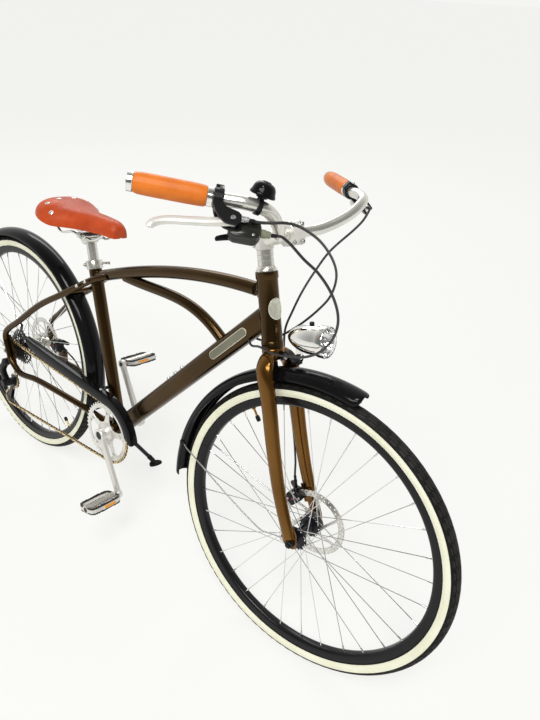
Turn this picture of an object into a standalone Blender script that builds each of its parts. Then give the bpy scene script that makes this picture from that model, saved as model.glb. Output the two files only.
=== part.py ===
"""City bike with swept-back bars, mudguards, disc brakes, derailleur gears and a bullet headlight.

The bike stands on its two tyres and its kickstand and leans to its own left.  All lengths are metres.
Every solid is drawn in bike coordinates: the bike upright and steering straight ahead, +X forward, +Y to the
rider's left, +Z up, origin where the rear tyre meets the ground.  The solids then hang from empties on
the joint axes, and one empty, bike, carries them all and gives the lean.
"""
from math import acos, atan2, cos, pi, radians, sin, sqrt

import bmesh
import bpy
from mathutils import Matrix, Quaternion, Vector
from mathutils.geometry import interpolate_bezier

# Clearances
GAP = 0.0003
RUNNING = 0.0012

# Wheels: 622 mm rims with 38 mm tyres
RIM_SEAT_RADIUS = 0.311
TYRE_SECTION = 0.038
RIM_DEPTH = 0.0205
RIM_WIDTH = 0.0236
RIM_WALL = 0.0020
RIM_LIP = 0.0035
RIM_BED = 0.0030
WHEEL_STEPS = 28
HUB_STEPS = 12
SPOKES_PER_WHEEL = 32
SPOKE_RADIUS = 0.0012
SPOKE_SHIFT = 0.0018
WHEELBASE = 1.118
FRONT_FLANGE_RADIUS = 0.027
REAR_FLANGE_RADIUS = 0.029
FLANGE_WIDTH = 0.0046
FRONT_FLANGE_RIGHT = 0.034
FRONT_FLANGE_LEFT = 0.024
REAR_FLANGE_RIGHT = 0.020
REAR_FLANGE_LEFT = 0.032
HUB_BARREL_RADIUS = 0.0150
FRONT_AXLE_RADIUS = 0.0045
REAR_AXLE_RADIUS = 0.0050
FRONT_HUB_WIDTH = 0.100
REAR_HUB_WIDTH = 0.135
ROTOR_RADIUS = 0.080
ROTOR_THICKNESS = 0.0020
FRONT_ROTOR_SIDE = 0.0400
REAR_ROTOR_SIDE = 0.0540
AXLE_NUT_RADIUS = 0.0095
AXLE_NUT_LENGTH = 0.0100
DROPOUT_THICKNESS = 0.0060
TAB_THICKNESS = 0.0055
FRONT_TAB_SIDE = 0.0554
REAR_TAB_SIDE = 0.0708

# Steering
HEAD_ANGLE = radians(72.6)
FORK_RAKE = 0.045
STEER = radians(3.5)
HEAD_TUBE_LOW = 0.419
HEAD_TUBE_LENGTH = 0.158
HEAD_TUBE_RADIUS = 0.0220
HEAD_STEPS = 16
HEAD_COLLAR_LENGTH = 0.014
STEERER_RADIUS = 0.0143
SPACER_STACK = 0.044
STEM_CLAMP_HEIGHT = 0.036
STEM_RADIUS = 0.0185
STEM_REACH = 0.066
STEM_RISE = 0.010
BAR_CLAMP_RADIUS = 0.0215
BAR_CLAMP_WIDTH = 0.044
CROWN_HEIGHT = 0.024
CROWN_RADIUS = 0.0235
CROWN_BOSS = 0.0300
CROWN_BOSS_RADIUS = 0.0080
BLADE_TOP_RADIUS = 0.0135
BLADE_SIDES = 8
BLADE_END_RADIUS = 0.0085
BLADE_TOP_SPREAD = 0.046

# Frame
BB_FORWARD = 0.472
BB_HEIGHT = 0.282
SEAT_ANGLE = radians(72.6)
SEAT_TUBE_LENGTH = 0.474
SEAT_TUBE_RADIUS = 0.0170
TOP_TUBE_RADIUS = 0.0150
BRACE_RADIUS = 0.0130
DOWN_TUBE_HEIGHT = 0.048
DOWN_TUBE_WIDTH = 0.038
BB_SHELL_RADIUS = 0.0210
BB_SHELL_WIDTH = 0.068
STAY_RADIUS = 0.0090
STAY_SIDES = 9
STAY_SIDE = 0.0765

# Mudguards
FRONT_GUARD_ROOM = 0.031
REAR_GUARD_ROOM = 0.025
GUARD_WIDTH = 0.058
GUARD_DEPTH = 0.022
GUARD_WALL = 0.0016
FRONT_GUARD_START = radians(81)
FRONT_GUARD_END = radians(187)
REAR_GUARD_START = radians(-1)
REAR_GUARD_END = radians(196)
GUARD_STEPS = 15
STRUT_RADIUS = 0.0017

# Drive
CHAIN_PITCH = 0.0127
CHAINRING_TEETH = 44
COG_TEETH = (14, 16, 18, 20, 22, 24, 28)
JOCKEY_TEETH = 11
COG_SPACING = 0.0050
TOOTH_THICKNESS = 0.0018
TOOTH_HEIGHT = 0.0045
COG_TOOTH_HEIGHT = 0.0036
JOCKEY_TOOTH_HEIGHT = 0.0032
CHAIN_HEIGHT = 0.0084
CHAIN_WIDTH = 0.0066
CHAIN_PLATE = 0.0011
CHAIN_WEB = 0.0028
CHAINLINE_FRONT = 0.0475
CHAINLINE_REAR = 0.0575
CRANK_LENGTH = 0.170
CRANK_ANGLE = radians(-55)
CRANK_THICKNESS = 0.0120
SPINDLE_RADIUS = 0.0085

# Saddle
SEATPOST_RADIUS = 0.0136
SEATPOST_LENGTH = 0.250
SEATPOST_SHOWN = 0.050

LEAN = radians(10)

UP = Vector((0, 0, 1))
FORWARD = Vector((1, 0, 0))
LEFT = Vector((0, 1, 0))

TYRE_RADIUS = RIM_SEAT_RADIUS + TYRE_SECTION
FRONT_GUARD_RADIUS = TYRE_RADIUS + FRONT_GUARD_ROOM
REAR_GUARD_RADIUS = TYRE_RADIUS + REAR_GUARD_ROOM
REAR_HUB = Vector((0, 0, TYRE_RADIUS))
FRONT_HUB = Vector((WHEELBASE, 0, TYRE_RADIUS))
HEAD_AXIS = Vector((-cos(HEAD_ANGLE), 0, sin(HEAD_ANGLE)))
HEAD_FORWARD = Vector((sin(HEAD_ANGLE), 0, cos(HEAD_ANGLE)))
FORK_FOOT = FRONT_HUB - FORK_RAKE * HEAD_FORWARD
BB = Vector((BB_FORWARD, 0, BB_HEIGHT))
SEAT_AXIS = Vector((-cos(SEAT_ANGLE), 0, sin(SEAT_ANGLE)))


def on_fork(along, forward=0.0, side=0.0):
    """A point given along the steering axis from its foot, forward of it, and to the left."""
    return FORK_FOOT + along * HEAD_AXIS + forward * HEAD_FORWARD + side * LEFT


HEAD_LOW = on_fork(HEAD_TUBE_LOW)
SEAT_TOP = BB + SEAT_TUBE_LENGTH * SEAT_AXIS


def clear_scene():
    for obj in list(bpy.data.objects):
        bpy.data.objects.remove(obj)


def finish(name, colour, roughness, metallic):
    """A plain Principled material with the part's colour."""
    material = bpy.data.materials.new(name)
    material.use_nodes = True
    shader = material.node_tree.nodes["Principled BSDF"]
    shader.inputs["Base Color"].default_value = (*colour, 1.0)
    shader.inputs["Roughness"].default_value = roughness
    shader.inputs["Metallic"].default_value = metallic
    return material


def solid(bm):
    """Hand a bmesh in bike coordinates over as an object without a place in the tree yet."""
    bmesh.ops.remove_doubles(bm, verts=bm.verts, dist=1e-6)
    bmesh.ops.recalc_face_normals(bm, faces=bm.faces)
    mesh = bpy.data.meshes.new("solid")
    bm.to_mesh(mesh)
    bm.free()
    obj = bpy.data.objects.new("solid", mesh)
    bpy.context.collection.objects.link(obj)
    return obj


def combine(base, tools, operation):
    """Union the tools with the base solid, or cut them from it, and use them up."""
    for tool in tools:
        modifier = base.modifiers.new("combine", "BOOLEAN")
        modifier.operation = operation
        modifier.solver = "EXACT"
        modifier.object = tool
        bpy.context.view_layer.update()
        evaluated = base.evaluated_get(bpy.context.evaluated_depsgraph_get())
        mesh = bpy.data.meshes.new_from_object(evaluated)
        base.modifiers.clear()
        base.data = mesh
        bpy.data.objects.remove(tool)
    return base


def fuse(base, *tools):
    return combine(base, tools, "UNION")


def cut(base, *tools):
    return combine(base, tools, "DIFFERENCE")


def skin(rings, closed=False):
    """Faces over rings of points, each ring as long as the next; open ends are filled."""
    bm = bmesh.new()
    layers = [[bm.verts.new(point) for point in ring] for ring in rings]
    pairs = list(zip(layers, layers[1:]))
    if closed:
        pairs.append((layers[-1], layers[0]))
    for low, high in pairs:
        for i in range(len(low)):
            j = (i + 1) % len(low)
            bm.faces.new((low[i], low[j], high[j], high[i]))
    if not closed:
        bm.faces.new(list(reversed(layers[0])))
        bm.faces.new(layers[-1])
    return solid(bm)


def directions(path, closed=False):
    """The unit direction of travel at each point of a path."""
    count = len(path)
    result = []
    for i in range(count):
        before = path[(i - 1) % count] if closed or i > 0 else path[i]
        after = path[(i + 1) % count] if closed or i < count - 1 else path[i]
        result.append((after - before).normalized())
    return result


def sweep(path, section, across=LEFT, closed=False, scale=None):
    """Carry a flat section along a path; section points are (across, square to it) in metres."""
    rings = []
    for i, (point, ahead) in enumerate(zip(path, directions(path, closed))):
        side = (across - across.dot(ahead) * ahead).normalized()
        normal = ahead.cross(side)
        grow = scale[i] if scale else 1.0
        rings.append([point + grow * (u * side + v * normal) for u, v in section])
    return skin(rings, closed)


def oval(half_across, half_square, sides=12):
    turn = 2 * pi / sides
    return [(half_across * cos((i + 0.5) * turn), half_square * sin((i + 0.5) * turn)) for i in range(sides)]


def rod(path, radius, sides=8, across=LEFT, scale=None):
    return sweep(path, oval(radius, radius, sides), across, scale=scale)


def bezier(start, first, second, end, count):
    return [Vector(p) for p in interpolate_bezier(start, first, second, end, count)]


def smooth_path(knots, steps=4):
    """A rounded path through every knot, with a few points between each two."""
    points = []
    last = len(knots) - 1
    for i in range(last):
        before = knots[max(i - 1, 0)]
        after = knots[min(i + 2, last)]
        start, end = knots[i], knots[i + 1]
        reach = (end - start).length / 3
        leave = (end - before).normalized() * reach
        arrive = (after - start).normalized() * reach
        points += bezier(start, start + leave, end - arrive, end, steps + 1)[:-1]
    return points + [knots[-1]]


def turned(profile, centre, axis, steps=16, ring=False, phase=0.5):
    """Turn a profile of (radius, along) points about an axis; a ring is a closed outline off the axis."""
    axis = axis.normalized()
    across = axis.orthogonal().normalized() if abs(axis.dot(LEFT)) < 0.99 else FORWARD
    across = (across - across.dot(axis) * axis).normalized()
    bm = bmesh.new()
    start = Quaternion(axis, phase * 2 * pi / steps)
    verts = [bm.verts.new(centre + start @ (radius * across) + along * axis) for radius, along in profile]
    edges = [bm.edges.new(pair) for pair in zip(verts, verts[1:])]
    if ring:
        edges.append(bm.edges.new((verts[-1], verts[0])))
    bmesh.ops.spin(bm, geom=verts + edges, cent=centre, axis=axis, angle=2 * pi, steps=steps, use_merge=True)
    return solid(bm)


def bore(radius, steps, clearance=GAP):
    """Corner radius of a faceted hole that clears a faceted pin of this corner radius however it turns."""
    return radius / cos(pi / steps) + clearance


def disc(centre, axis, radius, start, end, steps=16):
    return turned([(0, start), (radius, start), (radius, end), (0, end)], centre, axis, steps)


def tube_ring(centre, axis, inner, outer, start, end, steps=16):
    profile = [(inner, start), (outer, start), (outer, end), (inner, end)]
    return turned(profile, centre, axis, steps, ring=True)


def plate(outline, centre, across, upward, thickness):
    """A flat plate: outline points (across, upward) from centre, half the thickness to either side."""
    normal = across.cross(upward).normalized()
    rings = []
    for side in (-0.5, 0.5):
        rings.append([centre + u * across + v * upward + side * thickness * normal for u, v in outline])
    return skin(rings)


def block(centre, size, across=FORWARD, upward=UP):
    """A box of size (across, square to both, upward)."""
    half_u, half_v = size[0] / 2, size[2] / 2
    outline = [(-half_u, -half_v), (half_u, -half_v), (half_u, half_v), (-half_u, half_v)]
    return plate(outline, centre, across, upward, size[1])


def beam(start, end, width, height, across=LEFT):
    """A straight bar of rectangular section between two points."""
    section = [(-width / 2, -height / 2), (width / 2, -height / 2), (width / 2, height / 2),
               (-width / 2, height / 2)]
    return sweep([start, end], section, across)


def toothed(teeth, tip, root):
    """Outline of a sprocket with pointed teeth."""
    outline = []
    for i in range(teeth):
        for shift, radius in ((0.0, tip), (0.5, root)):
            angle = 2 * pi * (i + shift) / teeth
            outline.append((radius * cos(angle), radius * sin(angle)))
    return outline


class Joint:
    """An empty on a joint's axis, and where it lies in bike coordinates."""

    def __init__(self, name, place, parent=None):
        self.place = place
        self.empty = bpy.data.objects.new(name, None)
        bpy.context.collection.objects.link(self.empty)
        if parent:
            self.empty.parent = parent.empty
            self.empty.location = place - parent.place

    def turn(self, axis, angle):
        self.empty.rotation_mode = "QUATERNION"
        self.empty.rotation_quaternion = Quaternion(axis, angle)


def node(name, obj, joint, material, crease=radians(35)):
    """Name a finished solid, hang it from its joint and shade it."""
    obj.name = name
    obj.data.name = name
    obj.data.transform(Matrix.Translation(-joint.place))
    obj.parent = joint.empty
    obj.data.materials.clear()
    obj.data.materials.append(material)
    obj.data.shade_smooth()
    obj.data.set_sharp_from_angle(angle=crease)
    return obj


clear_scene()

BRONZE = finish("bronze paint", (0.13, 0.075, 0.030), 0.28, 0.6)
GOLD = finish("golden bronze paint", (0.42, 0.23, 0.06), 0.28, 0.6)
BLACK = finish("gloss black", (0.012, 0.012, 0.014), 0.15, 0.0)
SATIN_BLACK = finish("satin black", (0.02, 0.02, 0.022), 0.45, 0.0)
SILVER = finish("bright aluminium", (0.72, 0.71, 0.69), 0.22, 1.0)
CHROME = finish("chrome", (0.80, 0.80, 0.80), 0.06, 1.0)
STEEL = finish("brushed steel", (0.55, 0.54, 0.52), 0.30, 1.0)
CHAIN_BRONZE = finish("bronze chain", (0.48, 0.33, 0.14), 0.35, 0.9)
RUBBER = finish("tyre rubber", (0.02, 0.02, 0.02), 0.85, 0.0)
TAN_LEATHER = finish("tan grip leather", (0.80, 0.28, 0.06), 0.50, 0.0)
SADDLE_LEATHER = finish("saddle leather", (0.56, 0.13, 0.04), 0.45, 0.0)
GLASS = finish("lamp glass", (0.85, 0.86, 0.84), 0.05, 0.0)

bike = Joint("bike", Vector((0, 0, 0)))
steering = Joint("steering", HEAD_LOW, bike)
front_wheel = Joint("front_wheel_axis", FRONT_HUB, steering)
rear_wheel = Joint("rear_wheel_axis", REAR_HUB, bike)
freewheel = Joint("cassette_axis", REAR_HUB, bike)
crankset = Joint("crank_axis", BB, bike)


# Wheels

RIM_SEAT = RIM_SEAT_RADIUS + RIM_BED
RIM_LIP_RADIUS = RIM_SEAT + RIM_LIP
RIM_INNER = RIM_LIP_RADIUS - RIM_DEPTH
SPOKE_END = RIM_INNER * cos(pi / WHEEL_STEPS) - GAP


def tyre(hub):
    centre_radius = RIM_SEAT_RADIUS + TYRE_SECTION / 2
    half = TYRE_SECTION / 2
    bead_half = RIM_WIDTH / 2 - RIM_WALL - GAP
    lip = RIM_LIP_RADIUS + GAP
    last = acos((lip - centre_radius) / half)
    profile = []
    for i in range(7):
        angle = last * (i / 3 - 1)
        profile.append((centre_radius + half * cos(angle), half * sin(angle)))
    profile += [(lip, bead_half), (RIM_SEAT + GAP, bead_half), (RIM_SEAT + GAP, -bead_half),
                (lip, -bead_half)]
    return turned(profile, hub, LEFT, WHEEL_STEPS, ring=True)


def rim(hub):
    half = RIM_WIDTH / 2
    inner_half = half - RIM_WALL
    waist = RIM_INNER + 0.4 * RIM_DEPTH
    side = [(RIM_SEAT, inner_half), (RIM_LIP_RADIUS, inner_half), (RIM_LIP_RADIUS, half),
            (waist, half - 0.0006)]
    side.append((RIM_INNER, 0.45 * half))
    profile = side + [(radius, -along) for radius, along in reversed(side)]
    return turned(profile, hub, LEFT, WHEEL_STEPS, ring=True)


def spoke(hub, flange_side, flange_radius, index, count):
    """One straight spoke, laced three across, leaning alternately forward and back along its flange."""
    hole_radius = flange_radius - FLANGE_WIDTH / 2
    lean = 1 if index % 2 else -1
    rim_angle = 2 * pi * (index + 0.5 * (flange_side > 0)) / count
    hub_angle = rim_angle + lean * radians(67)
    side = flange_side + lean * SPOKE_SHIFT * (1 if flange_side > 0 else -1)
    start = hub + hole_radius * Vector((cos(hub_angle), 0, sin(hub_angle))) + side * LEFT
    rim_side = 0.0025 * (1 if flange_side > 0 else -1)
    end = hub + SPOKE_END * Vector((cos(rim_angle), 0, sin(rim_angle))) + rim_side * LEFT
    tilt = (abs(rim_side - flange_side) + flange_radius) / SPOKE_END
    end -= SPOKE_RADIUS * tilt * (end - start).normalized()
    return rod([start, end], SPOKE_RADIUS, 3)


def laced_hub(hub, profile, flange_right, flange_left, flange_radius):
    """Hub shell turned in one piece, with all the spokes of the wheel in its flanges."""
    body = turned(profile, hub, LEFT, HUB_STEPS, ring=True)
    per_side = SPOKES_PER_WHEEL // 2
    spokes = []
    for flange in (-flange_right, flange_left):
        spokes += [spoke(hub, flange, flange_radius, i, per_side) for i in range(per_side)]
    bundle = bmesh.new()
    for one in spokes:
        bundle.from_mesh(one.data)
        bpy.data.objects.remove(one)
    return fuse(body, solid(bundle))


def flange_profile(side, radius):
    half = FLANGE_WIDTH / 2
    return [(HUB_BARREL_RADIUS, side - half), (radius, side - half), (radius, side + half),
            (HUB_BARREL_RADIUS, side + half)]


def rotor(hub, side):
    """Brake disc with six windows and a bore over the hub's left boss."""
    windows = []
    body = disc(hub + side * LEFT, LEFT, ROTOR_RADIUS, -ROTOR_THICKNESS / 2, ROTOR_THICKNESS / 2, 24)
    for i in range(6):
        outline = []
        middle = 2 * pi * i / 6
        for angle, radius in ((-0.38, 0.029), (0.38, 0.029), (0.40, 0.062), (-0.40, 0.062)):
            outline.append((radius * cos(middle + angle), radius * sin(middle + angle)))
        windows.append(plate(outline, hub + side * LEFT, FORWARD, UP, 4 * ROTOR_THICKNESS))
    hole = disc(hub + side * LEFT, LEFT, bore(ROTOR_BOSS_RADIUS, HUB_STEPS), -2 * ROTOR_THICKNESS,
                2 * ROTOR_THICKNESS, HUB_STEPS)
    return cut(body, *windows, hole)


ROTOR_BOSS_RADIUS = 0.0170
FRONT_BORE = bore(FRONT_AXLE_RADIUS, HUB_STEPS)
REAR_BORE = bore(REAR_AXLE_RADIUS, HUB_STEPS)
FREEHUB_RADIUS = 0.0155
HUB_END_RADIUS = 0.0090
FREEHUB_END = CHAINLINE_REAR + 0.0030

front_side = FRONT_HUB_WIDTH / 2 - GAP
FRONT_HUB_PROFILE = [(FRONT_BORE, -front_side), (HUB_END_RADIUS, -front_side),
                     (HUB_END_RADIUS, -FRONT_FLANGE_RIGHT - 0.006)]
FRONT_HUB_PROFILE += flange_profile(-FRONT_FLANGE_RIGHT, FRONT_FLANGE_RADIUS)
FRONT_HUB_PROFILE += flange_profile(FRONT_FLANGE_LEFT, FRONT_FLANGE_RADIUS)
FRONT_HUB_PROFILE += [(ROTOR_BOSS_RADIUS, FRONT_FLANGE_LEFT + 0.004),
                      (ROTOR_BOSS_RADIUS, FRONT_ROTOR_SIDE + 0.002),
                      (HUB_END_RADIUS, FRONT_ROTOR_SIDE + 0.004), (HUB_END_RADIUS, front_side),
                      (FRONT_BORE, front_side)]

rear_side = REAR_HUB_WIDTH / 2 - GAP
REAR_HUB_PROFILE = [(REAR_BORE, -rear_side), (HUB_END_RADIUS, -rear_side),
                    (HUB_END_RADIUS, -FREEHUB_END - 0.001),
                    (FREEHUB_RADIUS, -FREEHUB_END - 0.001), (FREEHUB_RADIUS, -REAR_FLANGE_RIGHT - 0.004)]
REAR_HUB_PROFILE += flange_profile(-REAR_FLANGE_RIGHT, REAR_FLANGE_RADIUS)
REAR_HUB_PROFILE += flange_profile(REAR_FLANGE_LEFT, REAR_FLANGE_RADIUS)
REAR_HUB_PROFILE += [(ROTOR_BOSS_RADIUS, REAR_FLANGE_LEFT + 0.004), (ROTOR_BOSS_RADIUS,
                                                                     REAR_ROTOR_SIDE + 0.002),
                     (HUB_END_RADIUS, REAR_ROTOR_SIDE + 0.004), (HUB_END_RADIUS, rear_side),
                     (REAR_BORE, rear_side)]


def axle(hub, radius, half_width):
    """A solid axle with a nut against the outside of each dropout."""
    nut = half_width + DROPOUT_THICKNESS + GAP
    tip = nut + AXLE_NUT_LENGTH
    profile = [(0, -tip - 0.004), (radius, -tip - 0.004), (radius, -tip), (AXLE_NUT_RADIUS, -tip),
               (AXLE_NUT_RADIUS, -nut), (radius, -nut), (radius, nut), (AXLE_NUT_RADIUS, nut),
               (AXLE_NUT_RADIUS, tip),
               (radius, tip), (radius, tip + 0.004), (0, tip + 0.004)]
    return turned(profile, hub, LEFT, 12)


node("front_tyre", tyre(FRONT_HUB), front_wheel, RUBBER)
node("front_rim", rim(FRONT_HUB), front_wheel, SATIN_BLACK)
front_hub = laced_hub(FRONT_HUB, FRONT_HUB_PROFILE, FRONT_FLANGE_RIGHT, FRONT_FLANGE_LEFT,
                      FRONT_FLANGE_RADIUS)
node("front_hub", front_hub, front_wheel, STEEL)
node("front_rotor", rotor(FRONT_HUB, FRONT_ROTOR_SIDE), front_wheel, STEEL)
node("front_axle", axle(FRONT_HUB, FRONT_AXLE_RADIUS, FRONT_HUB_WIDTH / 2), steering, SATIN_BLACK)
node("rear_tyre", tyre(REAR_HUB), rear_wheel, RUBBER)
node("rear_rim", rim(REAR_HUB), rear_wheel, SATIN_BLACK)
rear_hub = laced_hub(REAR_HUB, REAR_HUB_PROFILE, REAR_FLANGE_RIGHT, REAR_FLANGE_LEFT, REAR_FLANGE_RADIUS)
node("rear_hub", rear_hub, rear_wheel, STEEL)
node("rear_rotor", rotor(REAR_HUB, REAR_ROTOR_SIDE), rear_wheel, STEEL)
node("rear_axle", axle(REAR_HUB, REAR_AXLE_RADIUS, REAR_HUB_WIDTH / 2), bike, STEEL)


# Frame

TOP_TUBE_JOIN = 0.114
DOWN_TUBE_JOIN = 0.070
SEAT_CLUSTER = SEAT_TUBE_LENGTH - 0.044


def head_join(height):
    """A point on the steering axis this far above the lower end of the head tube."""
    return on_fork(HEAD_TUBE_LOW + height)


def top_tube_path():
    start = BB + SEAT_CLUSTER * SEAT_AXIS
    end = head_join(TOP_TUBE_JOIN)
    span = end - start
    first = start + Vector((0.33 * span.x, 0, 0.55 * span.z))
    second = start + Vector((0.66 * span.x, 0, 0.94 * span.z))
    return bezier(start, first, second, end, 15)


def down_tube_path():
    return [BB.copy(), head_join(DOWN_TUBE_JOIN)]


def down_tube_section(grow=0.0):
    """Rounded box: half sizes along the frame's width and height, with bevelled corners."""
    half_u = DOWN_TUBE_WIDTH / 2 + grow
    half_v = DOWN_TUBE_HEIGHT / 2 + grow
    corner = 0.42 * DOWN_TUBE_WIDTH
    near_u, near_v = half_u - corner, half_v - corner
    quarter = [(near_u + corner * cos(a), near_v + corner * sin(a)) for a in (0, pi / 6, pi / 3, pi / 2)]
    top = quarter + [(-u, v) for u, v in reversed(quarter)]
    return top + [(-u, -v) for u, v in top]


def brace_path():
    """The lower arch: it leaves the top tube behind its middle and comes down into the down tube."""
    start = top_tube_path()[3] - Vector((0, 0, 0.011))
    low, high = down_tube_path()
    end = low + 0.775 * (high - low)
    span = end - start
    first = start + Vector((0.44 * span.x, 0, 0.002))
    second = start + Vector((0.66 * span.x, 0, 0.040))
    return bezier(start, first, second, end, 12)


def stretch(path, extra):
    """The same path with both ends pushed out, so that a cutter passes right through."""
    head = path[0] + (path[0] - path[1]).normalized() * extra
    tail = path[-1] + (path[-1] - path[-2]).normalized() * extra
    return [head] + path[1:-1] + [tail]


def head_tube_cutter():
    return disc(HEAD_LOW, HEAD_AXIS, HEAD_TUBE_RADIUS + GAP, -0.02, HEAD_TUBE_LENGTH + 0.02, HEAD_STEPS)


def seat_tube_cutter():
    return disc(BB, SEAT_AXIS, SEAT_TUBE_RADIUS + GAP, 0, SEAT_TUBE_LENGTH + 0.05, 16)


def shell_cutter():
    return disc(BB, LEFT, BB_SHELL_RADIUS + GAP, -BB_SHELL_WIDTH, BB_SHELL_WIDTH, 20)


def top_tube_cutter():
    return rod(top_tube_path(), TOP_TUBE_RADIUS + GAP, 12)


def down_tube_cutter():
    return sweep(down_tube_path(), down_tube_section(GAP))


def head_tube():
    collar = HEAD_TUBE_RADIUS + 0.0016
    inner = bore(STEERER_RADIUS, HEAD_STEPS)
    top = HEAD_TUBE_LENGTH
    profile = [(inner, 0), (collar, 0), (collar, HEAD_COLLAR_LENGTH), (HEAD_TUBE_RADIUS,
                                                                       HEAD_COLLAR_LENGTH + 0.002),
               (HEAD_TUBE_RADIUS, top - HEAD_COLLAR_LENGTH - 0.002), (collar, top - HEAD_COLLAR_LENGTH),
               (collar, top), (inner, top)]
    return turned(profile, HEAD_LOW, HEAD_AXIS, HEAD_STEPS, ring=True)


def seat_tube():
    """Seat tube with the bottom bracket shell and the kickstand's plate welded on."""
    tube = disc(BB, SEAT_AXIS, SEAT_TUBE_RADIUS, 0.010, SEAT_TUBE_LENGTH, 16)
    shell = disc(BB, LEFT, BB_SHELL_RADIUS, -BB_SHELL_WIDTH / 2, BB_SHELL_WIDTH / 2, 20)
    bracket = block(KICK_PLATE, (BB.x - KICK_PLATE.x + 0.010, KICK_PLATE_WIDTH, KICK_PLATE_THICKNESS))
    bracket.data.transform(Matrix.Translation(((BB.x - KICK_PLATE.x) / 2, 0, 0)))
    mount = block(KICK_PIVOT + Vector((0, -0.0240, 0.0030)), (0.024, 0.018, 0.018))
    boss = disc(KICK_PIVOT, KICK_AXIS, 0.0110, -0.0170, -KICK_EYE / 2 - GAP, 14)
    pin = disc(KICK_PIVOT, KICK_AXIS, KICK_PIN_RADIUS, -0.0100, KICK_EYE / 2 - 0.001, 12)
    body = fuse(tube, shell, bracket, mount, boss, pin)
    post_bore = disc(BB, SEAT_AXIS, bore(SEATPOST_RADIUS, 16), SEAT_TUBE_LENGTH - 0.300,
                     SEAT_TUBE_LENGTH + 0.02, 16)
    spindle_bore = disc(BB, LEFT, bore(SPINDLE_RADIUS, 16), -BB_SHELL_WIDTH, BB_SHELL_WIDTH, 16)
    return cut(body, post_bore, spindle_bore)


KICK_PLATE = Vector((BB_FORWARD - 0.088, 0, BB_HEIGHT - 0.014))
KICK_PIVOT = BB + Vector((-0.088, 0.028, -0.030))
KICK_FOOT = Vector((0.4285, 0.1892, 0.0395))
KICK_FOLDED = Vector((-0.98, 0.17, -0.10))
KICK_AXIS = (KICK_FOOT - KICK_PIVOT).cross(KICK_FOLDED).normalized()
KICK_EYE = 0.0136
KICK_PIN_RADIUS = 0.0045
KICK_PLATE_WIDTH = 0.040
KICK_PLATE_THICKNESS = 0.008

STAY_CORNER = REAR_HUB + Vector((0.060, 0, -0.050))
SEAT_STAY_KNEE = REAR_HUB + Vector((-0.004, 0, 0.063))


def between(low, high, share, side, rise):
    """A point at this share of the way from low to high, out to one side and raised off the straight line."""
    return low.lerp(high, share) + Vector((0, side, rise))


def stay_path(side):
    """The bent stay of one side, from the top tube past the seat tube and dropout to the shell."""
    cluster = BB + SEAT_CLUSTER * SEAT_AXIS
    shell = BB + Vector((-0.018, 0, 0.012))
    past = SEAT_TUBE_RADIUS + STAY_RADIUS + GAP
    knots = [cluster + Vector((0.062, 0.010, 0.022)), cluster + Vector((0.030, past - 0.007, 0.008)),
             cluster + Vector((0, past, -0.010)), between(cluster, SEAT_STAY_KNEE, 0.269, 0.046, 0.0000),
             between(cluster, SEAT_STAY_KNEE, 0.528, 0.058, 0.0117),
             between(cluster, SEAT_STAY_KNEE, 0.810, 0.070, 0.0047),
             SEAT_STAY_KNEE + Vector((0.010, STAY_SIDE, 0.010)),
             SEAT_STAY_KNEE + Vector((-0.002, STAY_SIDE, -0.016)),
             REAR_HUB + Vector((0.004, STAY_SIDE, 0.016)), REAR_HUB + Vector((0.020, STAY_SIDE, -0.020)),
             STAY_CORNER + Vector((-0.012, STAY_SIDE, 0.010)),
             STAY_CORNER + Vector((0.016, STAY_SIDE - 0.001, 0.000)),
             between(STAY_CORNER, shell, 0.228, 0.068, 0.0121), between(STAY_CORNER, shell, 0.508, 0.058,
                                                                        0.0165),
             between(STAY_CORNER, shell, 0.723, 0.046, 0.0136), shell + Vector((0, 0.024, 0))]
    return [Vector((knot.x, side * knot.y, knot.z)) for knot in knots]


def axle_cutter(hub, side, radius, inner_face):
    """Hole through one dropout for the axle, with a wider recess outside it for the nut."""
    face = inner_face + DROPOUT_THICKNESS + GAP / 2
    hole = bore(radius, 12)
    recess = AXLE_NUT_RADIUS + RUNNING
    profile = [(0, inner_face - 0.004), (hole, inner_face - 0.004), (hole, face), (recess, face),
               (recess, 0.12),
               (0, 0.12)]
    return turned(profile, hub, side * LEFT, 12)


def rear_stays(side):
    """One side's bent stay with its dropout plate; the right one carries the derailleur hanger."""
    path = smooth_path(stay_path(side), 2)
    body = rod(path, STAY_RADIUS, STAY_SIDES)
    inner_face = REAR_HUB_WIDTH / 2
    middle = side * (inner_face + DROPOUT_THICKNESS / 2)
    outline = [(-0.012, 0.046), (0.010, 0.056), (0.030, 0.020), (0.034, -0.014), (0.040, -0.034),
               (0.016, -0.026),
               (-0.004, -0.016), (-0.016, 0.002), (-0.027, 0.006), (-0.026, 0.018), (-0.014, 0.024)]
    dropout = plate(outline, REAR_HUB + middle * LEFT, FORWARD, UP, DROPOUT_THICKNESS)
    body = fuse(body, dropout)
    if side < 0:
        hanger = [(-0.010, -0.004), (0.012, -0.006), (0.014, -0.026), (0.007, -0.046), (-0.008, -0.049),
                  (-0.013, -0.038)]
        body = fuse(body, plate(hanger, REAR_HUB + middle * LEFT, FORWARD, UP, DROPOUT_THICKNESS - 0.001))
        for bridge in (stay_bridge(SEAT_BRIDGE_ANGLE, SEAT_BRIDGE_HALF),
                       stay_bridge(CHAIN_BRIDGE_ANGLE, CHAIN_BRIDGE_HALF)):
            body = fuse(body, cut(bridge, left_stay_cutter()))
    else:
        tab = [(0.054, -0.044), (0.100, -0.041), (0.096, 0.003), (0.058, 0.003)]
        body = fuse(body, plate(tab, REAR_HUB + REAR_TAB_SIDE * LEFT, FORWARD, UP, TAB_THICKNESS))
    body = cut(body, axle_cutter(REAR_HUB, side, REAR_AXLE_RADIUS, inner_face))
    return cut(body, seat_tube_cutter(), top_tube_cutter(), shell_cutter())


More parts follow.
